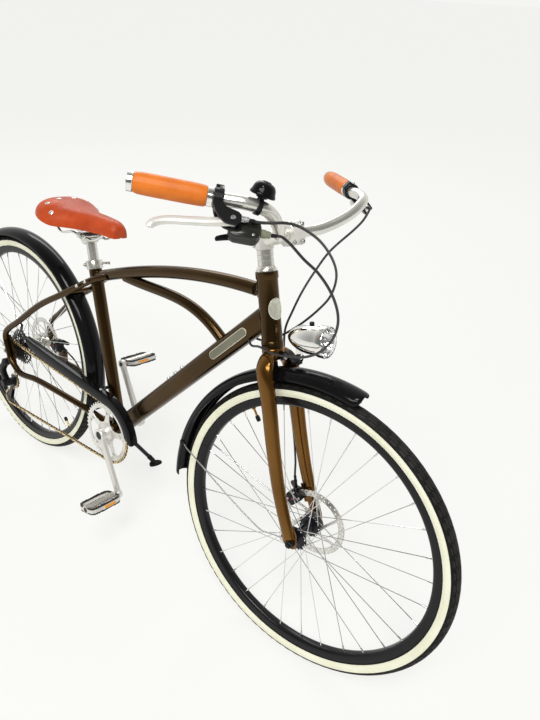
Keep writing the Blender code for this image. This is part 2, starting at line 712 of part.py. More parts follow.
BRIDGE_RADIUS = 0.0060
SEAT_BRIDGE_ANGLE = radians(46.5)
SEAT_BRIDGE_HALF = 0.0435
CHAIN_BRIDGE_ANGLE = radians(-6)
CHAIN_BRIDGE_HALF = 0.0393


def stay_bridge(angle, half):
    """Cross tube between the stays, just outside the rear mudguard at this angle about the rear hub."""
    reach = REAR_GUARD_RADIUS + GAP + BRIDGE_RADIUS
    centre = REAR_HUB + reach * Vector((cos(angle), 0, sin(angle)))
    return disc(centre, LEFT, BRIDGE_RADIUS, -half, half, 12)


def left_stay_cutter():
    return rod(smooth_path(stay_path(1), 2), STAY_RADIUS + GAP, STAY_SIDES)


def seat_collar():
    """Clamp ring at the top of the seat tube, its split lugs at the back and the clevis for its lever."""
    start = SEAT_TUBE_LENGTH - 0.022
    ring = tube_ring(BB, SEAT_AXIS, bore(SEAT_TUBE_RADIUS, 16), SEAT_TUBE_RADIUS + 0.0040, start,
                     SEAT_TUBE_LENGTH, 16)
    lugs = block(COLLAR_LUG, (0.016, 0.018, 0.012), SEAT_SQUARE, SEAT_AXIS)
    clevis = block(COLLAR_PIN, (0.009, 0.0190, 0.0110), SEAT_SQUARE, SEAT_AXIS)
    nut = disc(COLLAR_PIN, -LEFT, 0.0045, COLLAR_PIN.y - 0.001, COLLAR_PIN.y + 0.014, 10)
    slot = block(COLLAR_PIN + 0.003 * LEFT, (0.030, 0.017, COLLAR_EYE_HEIGHT + 2 * GAP), SEAT_SQUARE,
                 SEAT_AXIS)
    pin = disc(COLLAR_PIN, SEAT_AXIS, COLLAR_PIN_RADIUS, -0.0050, 0.0050, 12)
    body = fuse(cut(ring, seat_tube_cutter()), lugs)
    body = cut(body, seat_tube_cutter())
    return fuse(body, fuse(cut(clevis, slot), pin), nut)


def seat_collar_lever():
    """Quick release lever: an eye on the clevis pin and an arm that lies round the left of the collar."""
    half = COLLAR_EYE_HEIGHT / 2
    eye = disc(COLLAR_PIN, SEAT_AXIS, 0.0052, -half, half, 12)
    arm = sweep([COLLAR_PIN + forward * SEAT_SQUARE + side * LEFT for forward, side in
                 ((0.000, 0.0022), (0.012, 0.0130), (0.032, 0.0160), (0.054, 0.0105))],
                [(-0.0026, -0.0020), (0.0026, -0.0020), (0.0026, 0.0020), (-0.0026, 0.0020)],
                across=SEAT_AXIS)
    return cut(fuse(eye, arm), disc(COLLAR_PIN, SEAT_AXIS, bore(COLLAR_PIN_RADIUS, 12), -0.02, 0.02, 12))


SEAT_SQUARE = Vector((sin(SEAT_ANGLE), 0, cos(SEAT_ANGLE)))
COLLAR_LUG = BB + (SEAT_TUBE_LENGTH - 0.011) * SEAT_AXIS - 0.026 * SEAT_SQUARE
COLLAR_PIN = COLLAR_LUG - 0.002 * SEAT_SQUARE + 0.0175 * LEFT
COLLAR_PIN_RADIUS = 0.0018
COLLAR_EYE_HEIGHT = 0.0062

node("head_tube", head_tube(), bike, BRONZE)
arches = fuse(rod(top_tube_path(), TOP_TUBE_RADIUS, 12), rod(brace_path(), BRACE_RADIUS, 12))
node("top_tubes", cut(arches, head_tube_cutter(), seat_tube_cutter(), down_tube_cutter()), bike, BRONZE)
down_tube = sweep(down_tube_path(), down_tube_section())
node("down_tube", cut(down_tube, head_tube_cutter(), shell_cutter(), seat_tube_cutter()), bike, BRONZE)
node("seat_tube", seat_tube(), bike, BRONZE)
node("rear_stays_right", rear_stays(-1), bike, BRONZE)
node("rear_stays_left", rear_stays(1), bike, BRONZE)
node("seat_collar", seat_collar(), bike, SILVER)
collar_axis = Joint("seat_collar_lever_axis", COLLAR_PIN, bike)
node("seat_collar_lever", seat_collar_lever(), collar_axis, SILVER)


# Fork, stem and handlebar

COVER_HEIGHT = 0.011
SPACER_RADIUS = 0.0168
STEM_LOW = HEAD_TUBE_LENGTH + SPACER_STACK
STEM_HIGH = STEM_LOW + STEM_CLAMP_HEIGHT
TOP_CAP = 0.0030
BAR_RADIUS = 0.0127
BAR_MIDDLE = head_join(STEM_LOW + STEM_CLAMP_HEIGHT / 2 + STEM_RISE) + STEM_REACH * HEAD_FORWARD


def blade_path(side):
    knots = [(HEAD_TUBE_LOW - 0.013, 0.001, 0.008), (HEAD_TUBE_LOW - 0.020, 0.003, 0.030),
             (HEAD_TUBE_LOW - 0.042, 0.008, BLADE_TOP_SPREAD), (HEAD_TUBE_LOW - 0.100, 0.014,
                                                                BLADE_TOP_SPREAD + 0.003),
             (0.210, 0.018, 0.052), (0.110, 0.026, 0.055), (0.012, FORK_RAKE - 0.002, 0.0575)]
    return smooth_path([on_fork(along, forward, side * out) for along, forward, out in knots], 2)


def fork():
    """Steerer, crown, two curved blades and their dropouts."""
    collar = HEAD_TUBE_RADIUS + 0.0016
    steerer_top = STEM_HIGH - TOP_CAP - GAP
    profile = [(0, -CROWN_HEIGHT), (0.0200, -CROWN_HEIGHT), (CROWN_RADIUS, -0.012), (collar, -0.006),
               (collar, -GAP),
               (STEERER_RADIUS, -GAP), (STEERER_RADIUS, steerer_top), (0, steerer_top)]
    body = turned(profile, HEAD_LOW, HEAD_AXIS, HEAD_STEPS)
    body = fuse(body, disc(HEAD_LOW, HEAD_AXIS, CROWN_BOSS_RADIUS, -CROWN_BOSS, -CROWN_HEIGHT + 0.004, 12))
    for side in (-1, 1):
        path = blade_path(side)
        taper = 1 - BLADE_END_RADIUS / BLADE_TOP_RADIUS
        scale = [1 - taper * i / (len(path) - 1) for i in range(len(path))]
        body = fuse(body, rod(path, BLADE_TOP_RADIUS, BLADE_SIDES, scale=scale))
        middle = side * (FRONT_HUB_WIDTH / 2 + DROPOUT_THICKNESS / 2)
        outline = [(-0.013, 0.030), (0.000, 0.034), (0.012, 0.012), (0.013, -0.008), (0.004, -0.014),
                   (-0.014, -0.010),
                   (-0.026, -0.003), (-0.025, 0.008)]
        body = fuse(body, plate(outline, FRONT_HUB + middle * LEFT, FORWARD, UP, DROPOUT_THICKNESS))
    tab = [(-0.0192, 0.0377), (-0.0399, 0.0777), (-0.0595, 0.0676), (-0.0388, 0.0276)]
    body = fuse(body, plate(tab, FRONT_HUB + FRONT_TAB_SIDE * LEFT, FORWARD, UP, TAB_THICKNESS))
    cutters = [axle_cutter(FRONT_HUB, side, FRONT_AXLE_RADIUS, FRONT_HUB_WIDTH / 2) for side in (-1, 1)]
    inside = tube_ring(FRONT_HUB, LEFT, AXLE_NUT_RADIUS, ROTOR_RADIUS + 0.004, -FRONT_HUB_WIDTH / 2,
                       FRONT_HUB_WIDTH / 2, 20)
    return cut(body, *cutters, inside)


def stem():
    """Headset cover, spacers, steerer clamp, cap, reach tube and bar clamp of the stem."""
    inner = bore(STEERER_RADIUS, HEAD_STEPS)
    low = HEAD_TUBE_LENGTH + GAP
    cap = STEM_HIGH - TOP_CAP
    profile = [(inner, low), (HEAD_TUBE_RADIUS, low), (HEAD_TUBE_RADIUS - 0.001, low + 0.003),
               (SPACER_RADIUS, low + COVER_HEIGHT), (SPACER_RADIUS, STEM_LOW), (STEM_RADIUS, STEM_LOW),
               (STEM_RADIUS, STEM_HIGH), (0, STEM_HIGH), (0, cap), (inner, cap)]
    body = turned(profile + [(inner, low)], HEAD_LOW, HEAD_AXIS, HEAD_STEPS)
    middle = head_join(STEM_LOW + STEM_CLAMP_HEIGHT / 2)
    reach = (BAR_MIDDLE - middle).normalized()
    body = fuse(body, rod([middle + 0.0165 * reach, BAR_MIDDLE - 0.006 * reach], 0.0150, 12))
    body = fuse(body, disc(BAR_MIDDLE, LEFT, BAR_CLAMP_RADIUS, -BAR_CLAMP_WIDTH / 2, BAR_CLAMP_WIDTH / 2, 20))
    pinch = middle - 0.020 * HEAD_FORWARD
    body = fuse(body, block(pinch, (0.012, 0.008, STEM_CLAMP_HEIGHT - 0.004), HEAD_FORWARD, HEAD_AXIS))
    keep_clear = disc(HEAD_LOW, HEAD_AXIS, inner, low - 0.01, cap, HEAD_STEPS)
    bar_bore = disc(BAR_MIDDLE, LEFT, bore(BAR_RADIUS, 16), -0.05, 0.05, 16)
    return cut(body, keep_clear, bar_bore)


# Handlebar knots on one side, from the stem clamp to the end of the grip, relative to the clamp's middle
GRIP_INNER = Vector((-0.021, 0.232, 0.073))
GRIP_OUTER = Vector((-0.117, 0.310, 0.077))
GRIP_LENGTH = (GRIP_OUTER - GRIP_INNER).length
GRIP_RADIUS = 0.0175
GRIP_RING = 0.009
BAR_TUBE_RADIUS = 0.0111
LEVER_CLAMP_AT = 0.0235


def bar_half(side):
    outward = (GRIP_OUTER - GRIP_INNER).normalized()
    knots = [Vector((0, BAR_CLAMP_WIDTH / 2 + 0.010, 0)), Vector((0.022, 0.075, 0.010)),
             Vector((0.047, 0.125, 0.038)),
             Vector((0.051, 0.168, 0.065)), Vector((0.030, 0.1945, 0.0725)), GRIP_INNER - 0.026 * outward,
             GRIP_OUTER - 0.002 * outward]
    return [BAR_MIDDLE + Vector((knot.x, side * knot.y, knot.z)) for knot in knots]


def bar_path():
    """The bar's right half as it is built, from the stem outward."""
    return smooth_path(bar_half(-1)[:-1], 2) + [bar_half(-1)[-1]]


def handlebar():
    right = bar_path()
    left = [Vector((p.x, -p.y, p.z)) for p in right]
    return rod(list(reversed(right)) + left, BAR_TUBE_RADIUS, 9, across=UP)


def bar_sleeve():
    """The bar's swaged middle, which the stem grips."""
    half = BAR_CLAMP_WIDTH / 2 + 0.006
    return disc(BAR_MIDDLE, LEFT, BAR_RADIUS, -half, half, 16)


def grip_frame(side):
    """Grip start point and unit directions: outward along the bar, down to the lever, across both."""
    start = BAR_MIDDLE + Vector((GRIP_INNER.x, side * GRIP_INNER.y, GRIP_INNER.z))
    end = BAR_MIDDLE + Vector((GRIP_OUTER.x, side * GRIP_OUTER.y, GRIP_OUTER.z))
    out = (end - start).normalized()
    level = out.cross(UP).normalized() * side
    drop = (cos(LEVER_DROP) * level - sin(LEVER_DROP) * UP)
    drop = (drop - drop.dot(out) * out).normalized()
    return start, out, drop, out.cross(drop) * -side


LEVER_DROP = radians(40)


def grip(side):
    start, out = grip_frame(side)[:2]
    inner = bore(BAR_TUBE_RADIUS, 12)
    ring_radius = GRIP_RADIUS - 0.0020
    low, high = -GRIP_RING, GRIP_LENGTH
    profile = [(inner, low), (ring_radius, low), (ring_radius, 0), (GRIP_RADIUS, 0.0015),
               (GRIP_RADIUS, high - GRIP_RING - 0.0015), (ring_radius, high - GRIP_RING),
               (ring_radius, high + 0.001),
               (0, high + 0.001), (0, high - 0.002 + GAP), (inner, high - 0.002 + GAP), (inner, low)]
    body = turned(profile, start, out, 14)
    return cut(body, rod(stretch(bar_half(side)[-2:], 0.02)[:1] + [start + (high - 0.002 + GAP) * out],
                         bore(BAR_TUBE_RADIUS, 12), 12, across=UP))


node("fork", fork(), steering, GOLD)
node("stem", stem(), steering, SILVER)
bar = fuse(handlebar(), bar_sleeve())
node("handlebar", bar, steering, SILVER)
node("grip_right", grip(-1), steering, TAN_LEATHER)
node("grip_left", grip(1), steering, TAN_LEATHER)


# Hand controls

CLAMP_WIDTH = 0.016
CLAMP_WALL = 0.0055
LEVER_INBOARD = 0.027
LEVER_PIVOT_DROP = 0.039
LEVER_TIP = (0.098, 0.075)
LEVER_THICKNESS = 0.0090
LEVER_PIN_RADIUS = 0.0030
LEVER_HUB_RADIUS = 0.0075
BRACKET_THICKNESS = 0.0200
BARREL_PLACE = (-0.034, 0.031)
BARREL_RADIUS = 0.0046
BARREL_LENGTH = 0.0170
BAR_HOLE = bore(BAR_TUBE_RADIUS, 12, 0.0008)


class Mount:
    """Frame of one brake lever mount: u outward along the bar, v down to the lever, w across both."""

    def __init__(self, side):
        self.side = side
        start, self.u, self.v, self.w = grip_frame(side)
        self.origin = start - (LEVER_CLAMP_AT - 0.006) * self.u

    def at(self, u, v, w=0.0):
        return self.origin + u * self.u + v * self.v + w * self.w

    def pivot(self):
        return self.at(-LEVER_INBOARD, LEVER_PIVOT_DROP)


def lever_mount(side):
    """Bar clamp and bracket with a slot for the lever; the right one carries the gear shifter's pod."""
    mount = Mount(side)
    ring = tube_ring(mount.origin, mount.u, BAR_HOLE, BAR_TUBE_RADIUS + CLAMP_WALL, -CLAMP_WIDTH / 2,
                     CLAMP_WIDTH / 2, 16)
    root = BAR_TUBE_RADIUS + CLAMP_WALL - 0.003
    outline = [(0.007, root), (0.002, 0.030), (-0.018, 0.050), (-0.034, 0.050), (-0.040, 0.040),
               (-0.038, 0.026),
               (-0.016, 0.020), (-0.007, root)]
    body = fuse(ring, plate(outline, mount.origin, mount.u, mount.v, BRACKET_THICKNESS))
    body = fuse(body, disc(mount.at(*BARREL_PLACE), -mount.u, BARREL_RADIUS, 0.0, BARREL_LENGTH, 10))
    hub = disc(mount.pivot(), mount.w, LEVER_HUB_RADIUS + RUNNING, -LEVER_THICKNESS / 2 - GAP,
               LEVER_THICKNESS / 2 + GAP)
    slot = [(-0.034, 0.036), (-0.018, 0.0315), (0.030, 0.020), (0.030, 0.080), (-0.034, 0.080)]
    gap = plate(slot, mount.origin, mount.u, mount.v, LEVER_THICKNESS + 2 * GAP)
    head = BRACKET_THICKNESS / 2 + 0.0008
    pin = disc(mount.pivot(), mount.w, LEVER_PIN_RADIUS, -head, head, 10)
    body = cut(body, hub, gap)
    body = fuse(body, pin)
    if side < 0:
        body = fuse(body, shifter_pod(mount))
    return body


POD_PLACE = (-0.048, 0.042, -0.0165)
POD_SIZE = (0.052, 0.035, 0.022)
POD_LOW = POD_PLACE[2] - POD_SIZE[2] / 2
POD_OUTLET_RADIUS = 0.0058
POD_OUTLET_LENGTH = 0.0200
POD_OUTLET = (POD_PLACE[0] - POD_SIZE[0] / 2 + 0.004, POD_PLACE[1] - 0.003, POD_PLACE[2])
TRIGGER_PLACE = (-0.034, 0.044, POD_LOW)
TRIGGER_RADIUS = 0.0060
TRIGGER_PIN_RADIUS = 0.0025
TRIGGER_HEIGHT = 0.0060


def shifter_pod(mount):
    """Gear shifter body with a rounded nose, its cable outlet and the trigger's pin."""
    half_u, half_v = POD_SIZE[0] / 2, POD_SIZE[1] / 2
    outline = [(-half_u, -0.5 * half_v), (-0.7 * half_u, -half_v), (half_u, -half_v), (half_u, 0.5 * half_v),
               (0.6 * half_u, half_v), (-0.5 * half_u, half_v), (-half_u, 0.4 * half_v)]
    body = plate(outline, mount.at(*POD_PLACE), mount.u, mount.v, POD_SIZE[2])
    outlet = disc(mount.at(*POD_OUTLET), -mount.u, POD_OUTLET_RADIUS, 0, POD_OUTLET_LENGTH, 10)
    pin = disc(mount.at(*TRIGGER_PLACE), mount.w, TRIGGER_PIN_RADIUS, -TRIGGER_HEIGHT - 0.001, 0.002, 12)
    return fuse(body, outlet, pin)


def shift_trigger():
    """Thumb trigger under the pod, turning on the pod's pin."""
    mount = Mount(-1)
    centre = mount.at(*TRIGGER_PLACE) - (GAP + TRIGGER_HEIGHT / 2) * mount.w
    hub = disc(centre, mount.w, TRIGGER_RADIUS, -TRIGGER_HEIGHT / 2, TRIGGER_HEIGHT / 2, 12)
    outline = [(-0.004, -0.004), (0.004, -0.005), (0.034, 0.008), (0.034, 0.016), (-0.002, 0.005)]
    arm = plate(outline, centre, mount.u, mount.v, 0.004)
    hole = disc(centre, mount.w, bore(TRIGGER_PIN_RADIUS, 12), -0.01, 0.01, 12)
    return cut(fuse(hub, arm), hole)


def brake_lever(side):
    """Long cast lever that follows the grip and turns out at its tip, on its pivot."""
    mount = Mount(side)
    knots = [(-LEVER_INBOARD, LEVER_PIVOT_DROP), (0.004, 0.046), (0.038, 0.051), (0.068, 0.055),
             (0.086, 0.062),
             LEVER_TIP]
    path = smooth_path([mount.at(u, v) for u, v in knots], 2)
    scale = [1.0 if i < len(path) - 2 else 0.85 for i in range(len(path))]
    blade = sweep(path, oval(0.0042, 0.0060, 8), mount.w, scale=scale)
    hub = disc(mount.pivot(), mount.w, LEVER_HUB_RADIUS, -LEVER_THICKNESS / 2, LEVER_THICKNESS / 2, 14)
    hole = disc(mount.pivot(), mount.w, bore(LEVER_PIN_RADIUS, 10), -0.02, 0.02, 10)
    return cut(fuse(blade, hub), hole)


BELL_POINT = 7
BELL_RADIUS = 0.0190
BELL_HEIGHT = 0.018
BELL_LIFT = 0.0178
BELL_RING_WALL = 0.0028
BELL_LEVER_THICKNESS = 0.0030
BELL_POST_RADIUS = 0.0060


def bell_frame():
    """Bell base point on the bar, the bar's direction there and the bell's upright axis."""
    path = bar_path()
    along = (path[BELL_POINT + 1] - path[BELL_POINT - 1]).normalized()
    return path[BELL_POINT], along, (UP - UP.dot(along) * along).normalized()


def bell():
    """Bar ring, post and domed bell."""
    base, along, upright = bell_frame()
    body = tube_ring(base, along, BAR_HOLE, BAR_TUBE_RADIUS + BELL_RING_WALL, -0.004, 0.004, 12)
    low = BAR_TUBE_RADIUS + 0.0015
    profile = [(0, low), (BELL_POST_RADIUS, low), (BELL_POST_RADIUS, BELL_LIFT), (BELL_RADIUS, BELL_LIFT),
               (BELL_RADIUS, BELL_LIFT + 0.005),
               (0.90 * BELL_RADIUS, BELL_LIFT + 0.6 * BELL_HEIGHT), (0.60 * BELL_RADIUS,
                                                                     BELL_LIFT + 0.92 * BELL_HEIGHT),
               (0, BELL_LIFT + BELL_HEIGHT)]
    return fuse(body, turned(profile, base, upright, 18))


def bell_lever():
    """Thumb lever that swings round the bell's post."""
    base, along, upright = bell_frame()
    level = BELL_LIFT - GAP - BELL_LEVER_THICKNESS
    ring = tube_ring(base, upright, bore(BELL_POST_RADIUS, 18), BELL_POST_RADIUS + 0.0032, level,
                     BELL_LIFT - GAP, 18)
    side = along.cross(upright).normalized()
    reach = base + (level + BELL_LEVER_THICKNESS / 2) * upright
    return fuse(ring, beam(reach + 0.0082 * side, reach + 0.026 * side, 0.008, 0.0026, upright.cross(side)))


lever_axis_right = Joint("brake_lever_right_axis", Mount(-1).pivot(), steering)
lever_axis_left = Joint("brake_lever_left_axis", Mount(1).pivot(), steering)
trigger_axis = Joint("shift_trigger_axis", Mount(-1).at(*TRIGGER_PLACE), steering)
bell_axis = Joint("bell_lever_axis", bell_frame()[0], steering)
node("brake_mount_right", lever_mount(-1), steering, SATIN_BLACK)
node("brake_mount_left", lever_mount(1), steering, SATIN_BLACK)
node("brake_lever_right", brake_lever(-1), lever_axis_right, SILVER)
node("brake_lever_left", brake_lever(1), lever_axis_left, SILVER)
node("shift_trigger", shift_trigger(), trigger_axis, SATIN_BLACK)
node("bell", bell(), steering, BLACK)
node("bell_lever", bell_lever(), bell_axis, BLACK)


# Headlight

LAMP_TILT = radians(12)
LAMP_RADIUS = 0.0330
LAMP_REAR = -0.055
LAMP_FRONT = 0.037
LAMP_PIVOT = Vector((0.066, 0, 0.003))
LAMP_RISE = 0.0425
LAMP_AHEAD = 0.031
LAMP_WALL = 0.0020
LAMP_PIN_RADIUS = 0.0025
LAMP_EAR_THICKNESS = 0.0080
LAMP_AXIS = Vector((cos(LAMP_TILT), 0, sin(LAMP_TILT)))
LAMP_UPRIGHT = Vector((-sin(LAMP_TILT), 0, cos(LAMP_TILT)))
LAMP_HINGE = HEAD_LOW + LAMP_PIVOT
LAMP_MIDDLE = LAMP_HINGE + LAMP_RISE * LAMP_UPRIGHT + LAMP_AHEAD * LAMP_AXIS


def headlight_shell():
    """Bullet shell, open at the front behind its bezel, with the ear it tilts on."""
    outer = [(0, LAMP_REAR), (0.30, LAMP_REAR + 0.003), (0.60, LAMP_REAR + 0.016), (0.85, LAMP_REAR + 0.038),
             (0.95, LAMP_FRONT - 0.016), (1.0, LAMP_FRONT - 0.012), (1.0, LAMP_FRONT)]
    profile = [(share * LAMP_RADIUS, along) for share, along in outer]
    profile += [(LAMP_RADIUS - LAMP_WALL, LAMP_FRONT), (LAMP_RADIUS - LAMP_WALL, LAMP_FRONT - 0.010),
                (0.58 * LAMP_RADIUS, LAMP_REAR + 0.024), (0, LAMP_REAR + 0.012)]
    body = turned(profile, LAMP_MIDDLE, LAMP_AXIS, 16)
    ear = block(LAMP_HINGE + 0.012 * LAMP_UPRIGHT, (0.013, LAMP_EAR_THICKNESS, 0.024), LAMP_AXIS,
                LAMP_UPRIGHT)
    half = LAMP_EAR_THICKNESS / 2
    eye = disc(LAMP_HINGE, LEFT, 0.0065, -half, half, 12)
    hole = disc(LAMP_HINGE, LEFT, bore(LAMP_PIN_RADIUS, 12), -0.02, 0.02, 12)
    seat = disc(SWITCH_BASE, LAMP_UPRIGHT, bore(SWITCH_RADIUS, 12), -0.012, 0.02, 12)
    return cut(fuse(body, ear, eye), hole, seat)


SWITCH_RADIUS = 0.0050
SWITCH_BASE = LAMP_MIDDLE - 0.002 * LAMP_AXIS + 0.91 * LAMP_RADIUS * LAMP_UPRIGHT


def headlight_lens():
    rim_radius = LAMP_RADIUS - LAMP_WALL - GAP
    profile = [(0, LAMP_FRONT - 0.004), (rim_radius, LAMP_FRONT - 0.004), (rim_radius, LAMP_FRONT - 0.001),
               (0.7 * rim_radius, LAMP_FRONT + 0.003), (0, LAMP_FRONT + 0.005)]
    return turned(profile, LAMP_MIDDLE, LAMP_AXIS, 16)


def headlight_switch():
    profile = [(0, -0.006), (SWITCH_RADIUS, -0.006), (SWITCH_RADIUS, 0.0045), (0.7 * SWITCH_RADIUS, 0.0065),
               (0, 0.0065)]
    return turned(profile, SWITCH_BASE, LAMP_UPRIGHT, 12)


def headlight_bracket():
    """Strap from the fork crown's bolt up to a two-sided yoke with the lamp's pivot pin."""
    root = on_fork(HEAD_TUBE_LOW - CROWN_HEIGHT / 2 - 0.004, CROWN_RADIUS + GAP)
    strap = beam(root - 0.004 * HEAD_AXIS, LAMP_HINGE - 0.010 * UP, 0.018, 0.004)
    pad = block(root + 0.002 * HEAD_FORWARD, (0.004, 0.018, 0.018), HEAD_FORWARD, HEAD_AXIS)
    yoke = block(LAMP_HINGE - 0.004 * UP, (0.014, LAMP_EAR_THICKNESS + 0.007, 0.020))
    notch = block(LAMP_HINGE + 0.006 * UP, (0.030, LAMP_EAR_THICKNESS + 2 * GAP, 0.030))
    pin = disc(LAMP_HINGE, LEFT, LAMP_PIN_RADIUS, -LAMP_EAR_THICKNESS / 2 - 0.003,
               LAMP_EAR_THICKNESS / 2 + 0.003, 12)
    body = fuse(cut(fuse(strap, pad, yoke), notch), pin)
    return cut(body, disc(HEAD_LOW, HEAD_AXIS, CROWN_RADIUS + GAP, -0.035, 0.0, HEAD_STEPS))


lamp_axis = Joint("headlight_axis", LAMP_HINGE, steering)
switch_axis = Joint("headlight_switch_axis", SWITCH_BASE, lamp_axis)
node("headlight_bracket", headlight_bracket(), steering, SATIN_BLACK)
node("headlight_shell", headlight_shell(), lamp_axis, CHROME)
node("headlight_lens", headlight_lens(), lamp_axis, GLASS)
node("headlight_switch", headlight_switch(), switch_axis, SATIN_BLACK)


# Mudguards

GUARD_EDGE = 0.0012
CROWN_TAB_SINK = 0.0035
STAY_EYE_RADIUS = 0.0045
FRONT_EYE = Vector((-0.0195, 0, 0.002))
REAR_EYE = Vector((-0.0205, 0, 0.0115))


def guard_section():
    """C section, crown outward: the outer arc and the inner arc back."""
    half = GUARD_WIDTH / 2
    turns = [radians(angle) for angle in (-90, -48, 0, 48, 90)]
    outer = [(half * sin(a), GUARD_DEPTH * (1 - cos(a))) for a in turns]
    inner = [((half - GUARD_WALL) * sin(a),
              GUARD_WALL + (GUARD_DEPTH - GUARD_WALL) * (1 - cos(a))) for a in turns]
    return outer + list(reversed(inner))


def on_guard(hub, radius, angle, side=0.0):
    return hub + Vector((radius * cos(angle), side, radius * sin(angle)))


def guard_shell(hub, radius, start, end, steps):
    path = [on_guard(hub, radius, start + (end - start) * i / steps) for i in range(steps + 1)]
    return sweep(path, guard_section())


def guard_stay(hub, radius, angle, eye, face, bend, side):
    """One wire stay from the guard's edge to its eye on the outside of the dropout."""
    root = on_guard(hub, radius - GUARD_DEPTH + GUARD_EDGE, angle, side * (GUARD_WIDTH / 2 - GUARD_WALL / 2))
    out = side * (face + GAP + STRUT_RADIUS)
    target = hub + eye + out * LEFT
    path = [root] + [hub + Vector((x, side * y, z)) for x, y, z in bend] + [target]
    wire = rod(path, STRUT_RADIUS, 5, across=UP)
    lug = disc(target, LEFT, STAY_EYE_RADIUS, -STRUT_RADIUS, STRUT_RADIUS, 10)
    return fuse(wire, lug)


def front_fender():
    """Front mudguard with its crown bracket and both wire stays."""
    body = guard_shell(FRONT_HUB, FRONT_GUARD_RADIUS, FRONT_GUARD_START, FRONT_GUARD_END, GUARD_STEPS)
    tab_low = FRONT_GUARD_RADIUS - CROWN_TAB_SINK
    crown_tab = disc(FORK_FOOT, HEAD_AXIS, CROWN_BOSS_RADIUS, tab_low, HEAD_TUBE_LOW - CROWN_BOSS - GAP, 12)
    body = fuse(body, crown_tab)
    face = FRONT_HUB_WIDTH / 2 + DROPOUT_THICKNESS
    for side in (-1, 1):
        bend = [(-0.085, face + 0.003, -0.010)]
        body = fuse(body, guard_stay(FRONT_HUB, FRONT_GUARD_RADIUS, radians(170), FRONT_EYE, face, bend,
                                     side))
    return body


def rear_fender():
    """Rear mudguard with its front tongue and both wire stays."""
    body = guard_shell(REAR_HUB, REAR_GUARD_RADIUS, REAR_GUARD_START, REAR_GUARD_END, GUARD_STEPS + 6)
    tongue = [on_guard(REAR_HUB, REAR_GUARD_RADIUS, radians(angle)) for angle in (-9, -4, 1)]
    section = [(-0.010, 0), (0.010, 0), (0.010, GUARD_WALL), (-0.010, GUARD_WALL)]
    body = fuse(body, sweep(tongue, section))
    face = REAR_HUB_WIDTH / 2 + DROPOUT_THICKNESS
    for side in (-1, 1):
        bend = [(-0.050, face + 0.002, 0.022)]
        body = fuse(body, guard_stay(REAR_HUB, REAR_GUARD_RADIUS, radians(158), REAR_EYE, face, bend, side))
    return body


node("front_fender", front_fender(), steering, BLACK)
node("rear_fender", rear_fender(), bike, BLACK)


# Drive

UPPER_JOCKEY = Vector((0.000, 0, 0.235))
LOWER_JOCKEY = Vector((-0.030, 0, 0.160))
JOCKEY_BOLT_RADIUS = 0.0028
JOCKEY_HUB_RADIUS = 0.0085
CAGE_HALF = 0.0043
CAGE_PLATE = 0.0015
CAGE_RADIUS = 0.0100
CHAIN_WRAPS = (12, 9, 4, 5)
BOLT_FACES = 12


def pitch_radius(teeth):
    return CHAIN_PITCH / (2 * sin(pi / teeth))


def tip_radius(teeth, wrap_step):
    """Largest radius that stays under the chain's rollers where the chain bends in steps of this angle."""
    return pitch_radius(teeth) * cos(wrap_step / 2) - CHAIN_WEB / 2 - GAP


def chain_wheels():
    """Centre, pitch radius, direction of turn and chainline of each wheel, in the chain's order."""
    return [(BB, pitch_radius(CHAINRING_TEETH), 1, -CHAINLINE_FRONT),
            (REAR_HUB, pitch_radius(COG_TEETH[0]), 1, -CHAINLINE_REAR),
            (UPPER_JOCKEY, pitch_radius(JOCKEY_TEETH), -1, -CHAINLINE_REAR),
            (LOWER_JOCKEY, pitch_radius(JOCKEY_TEETH), 1, -CHAINLINE_REAR)]


def tangent(first, second):
    """Angles at which a belt leaves the first wheel and meets the second."""
    (c1, r1, s1, _), (c2, r2, s2, _) = first, second
    ahead = Vector((c2.x - c1.x, 0, c2.z - c1.z))
    length = ahead.length
    ahead.normalize()
    left = Vector((-ahead.z, 0, ahead.x))
    share = (s2 * r2 - s1 * r1) / length
    normal = share * ahead + sqrt(1 - share * share) * left
    leave, meet = -s1 * normal, -s2 * normal
    return atan2(leave.z, leave.x), atan2(meet.z, meet.x)


def chain_path():
    """The closed pitch line of the chain round all four wheels."""
    wheels = chain_wheels()
    count = len(wheels)
    links = [tangent(wheels[i], wheels[(i + 1) % count]) for i in range(count)]
    path = []
    for i, (centre, radius, sense, line) in enumerate(wheels):
        meet = links[i - 1][1]
        leave = links[i][0]
        sweep_angle = ((leave - meet) * sense) % (2 * pi)
        for step in range(CHAIN_WRAPS[i]):
            angle = meet + sense * sweep_angle * step / (CHAIN_WRAPS[i] - 1)
            path.append(Vector((centre.x + radius * cos(angle), line, centre.z + radius * sin(angle))))
    return path


def chain():
    """Side plates and rollers as one H section along the pitch line."""
    outer, plates = CHAIN_WIDTH / 2, CHAIN_WIDTH / 2 - CHAIN_PLATE
    tall, web = CHAIN_HEIGHT / 2, CHAIN_WEB / 2
    section = [(-outer, -tall), (-plates, -tall), (-plates, -web), (plates, -web), (plates, -tall),
               (outer, -tall),
               (outer, tall), (plates, tall), (plates, web), (-plates, web), (-plates, tall), (-outer, tall)]
    return sweep(chain_path(), section, closed=True)


SPIDER_ARMS = 5
CRANK_BOSS_RADIUS = 0.0190
CRANK_ROOT_SIDE = 0.0660
CRANK_END_SIDE = 0.0745
CRANK_WIDTH = 0.0230
PEDAL_PIN_RADIUS = 0.0045
PEDAL_LENGTH = 0.094
PEDAL_DEPTH = 0.066
PEDAL_HEIGHT = 0.024
PEDAL_START = 0.0060
PEDAL_TUBE_RADIUS = 0.0110
PEDAL_RAIL = 0.0040
CRANK_DIRECTION = Vector((cos(CRANK_ANGLE), 0, sin(CRANK_ANGLE)))


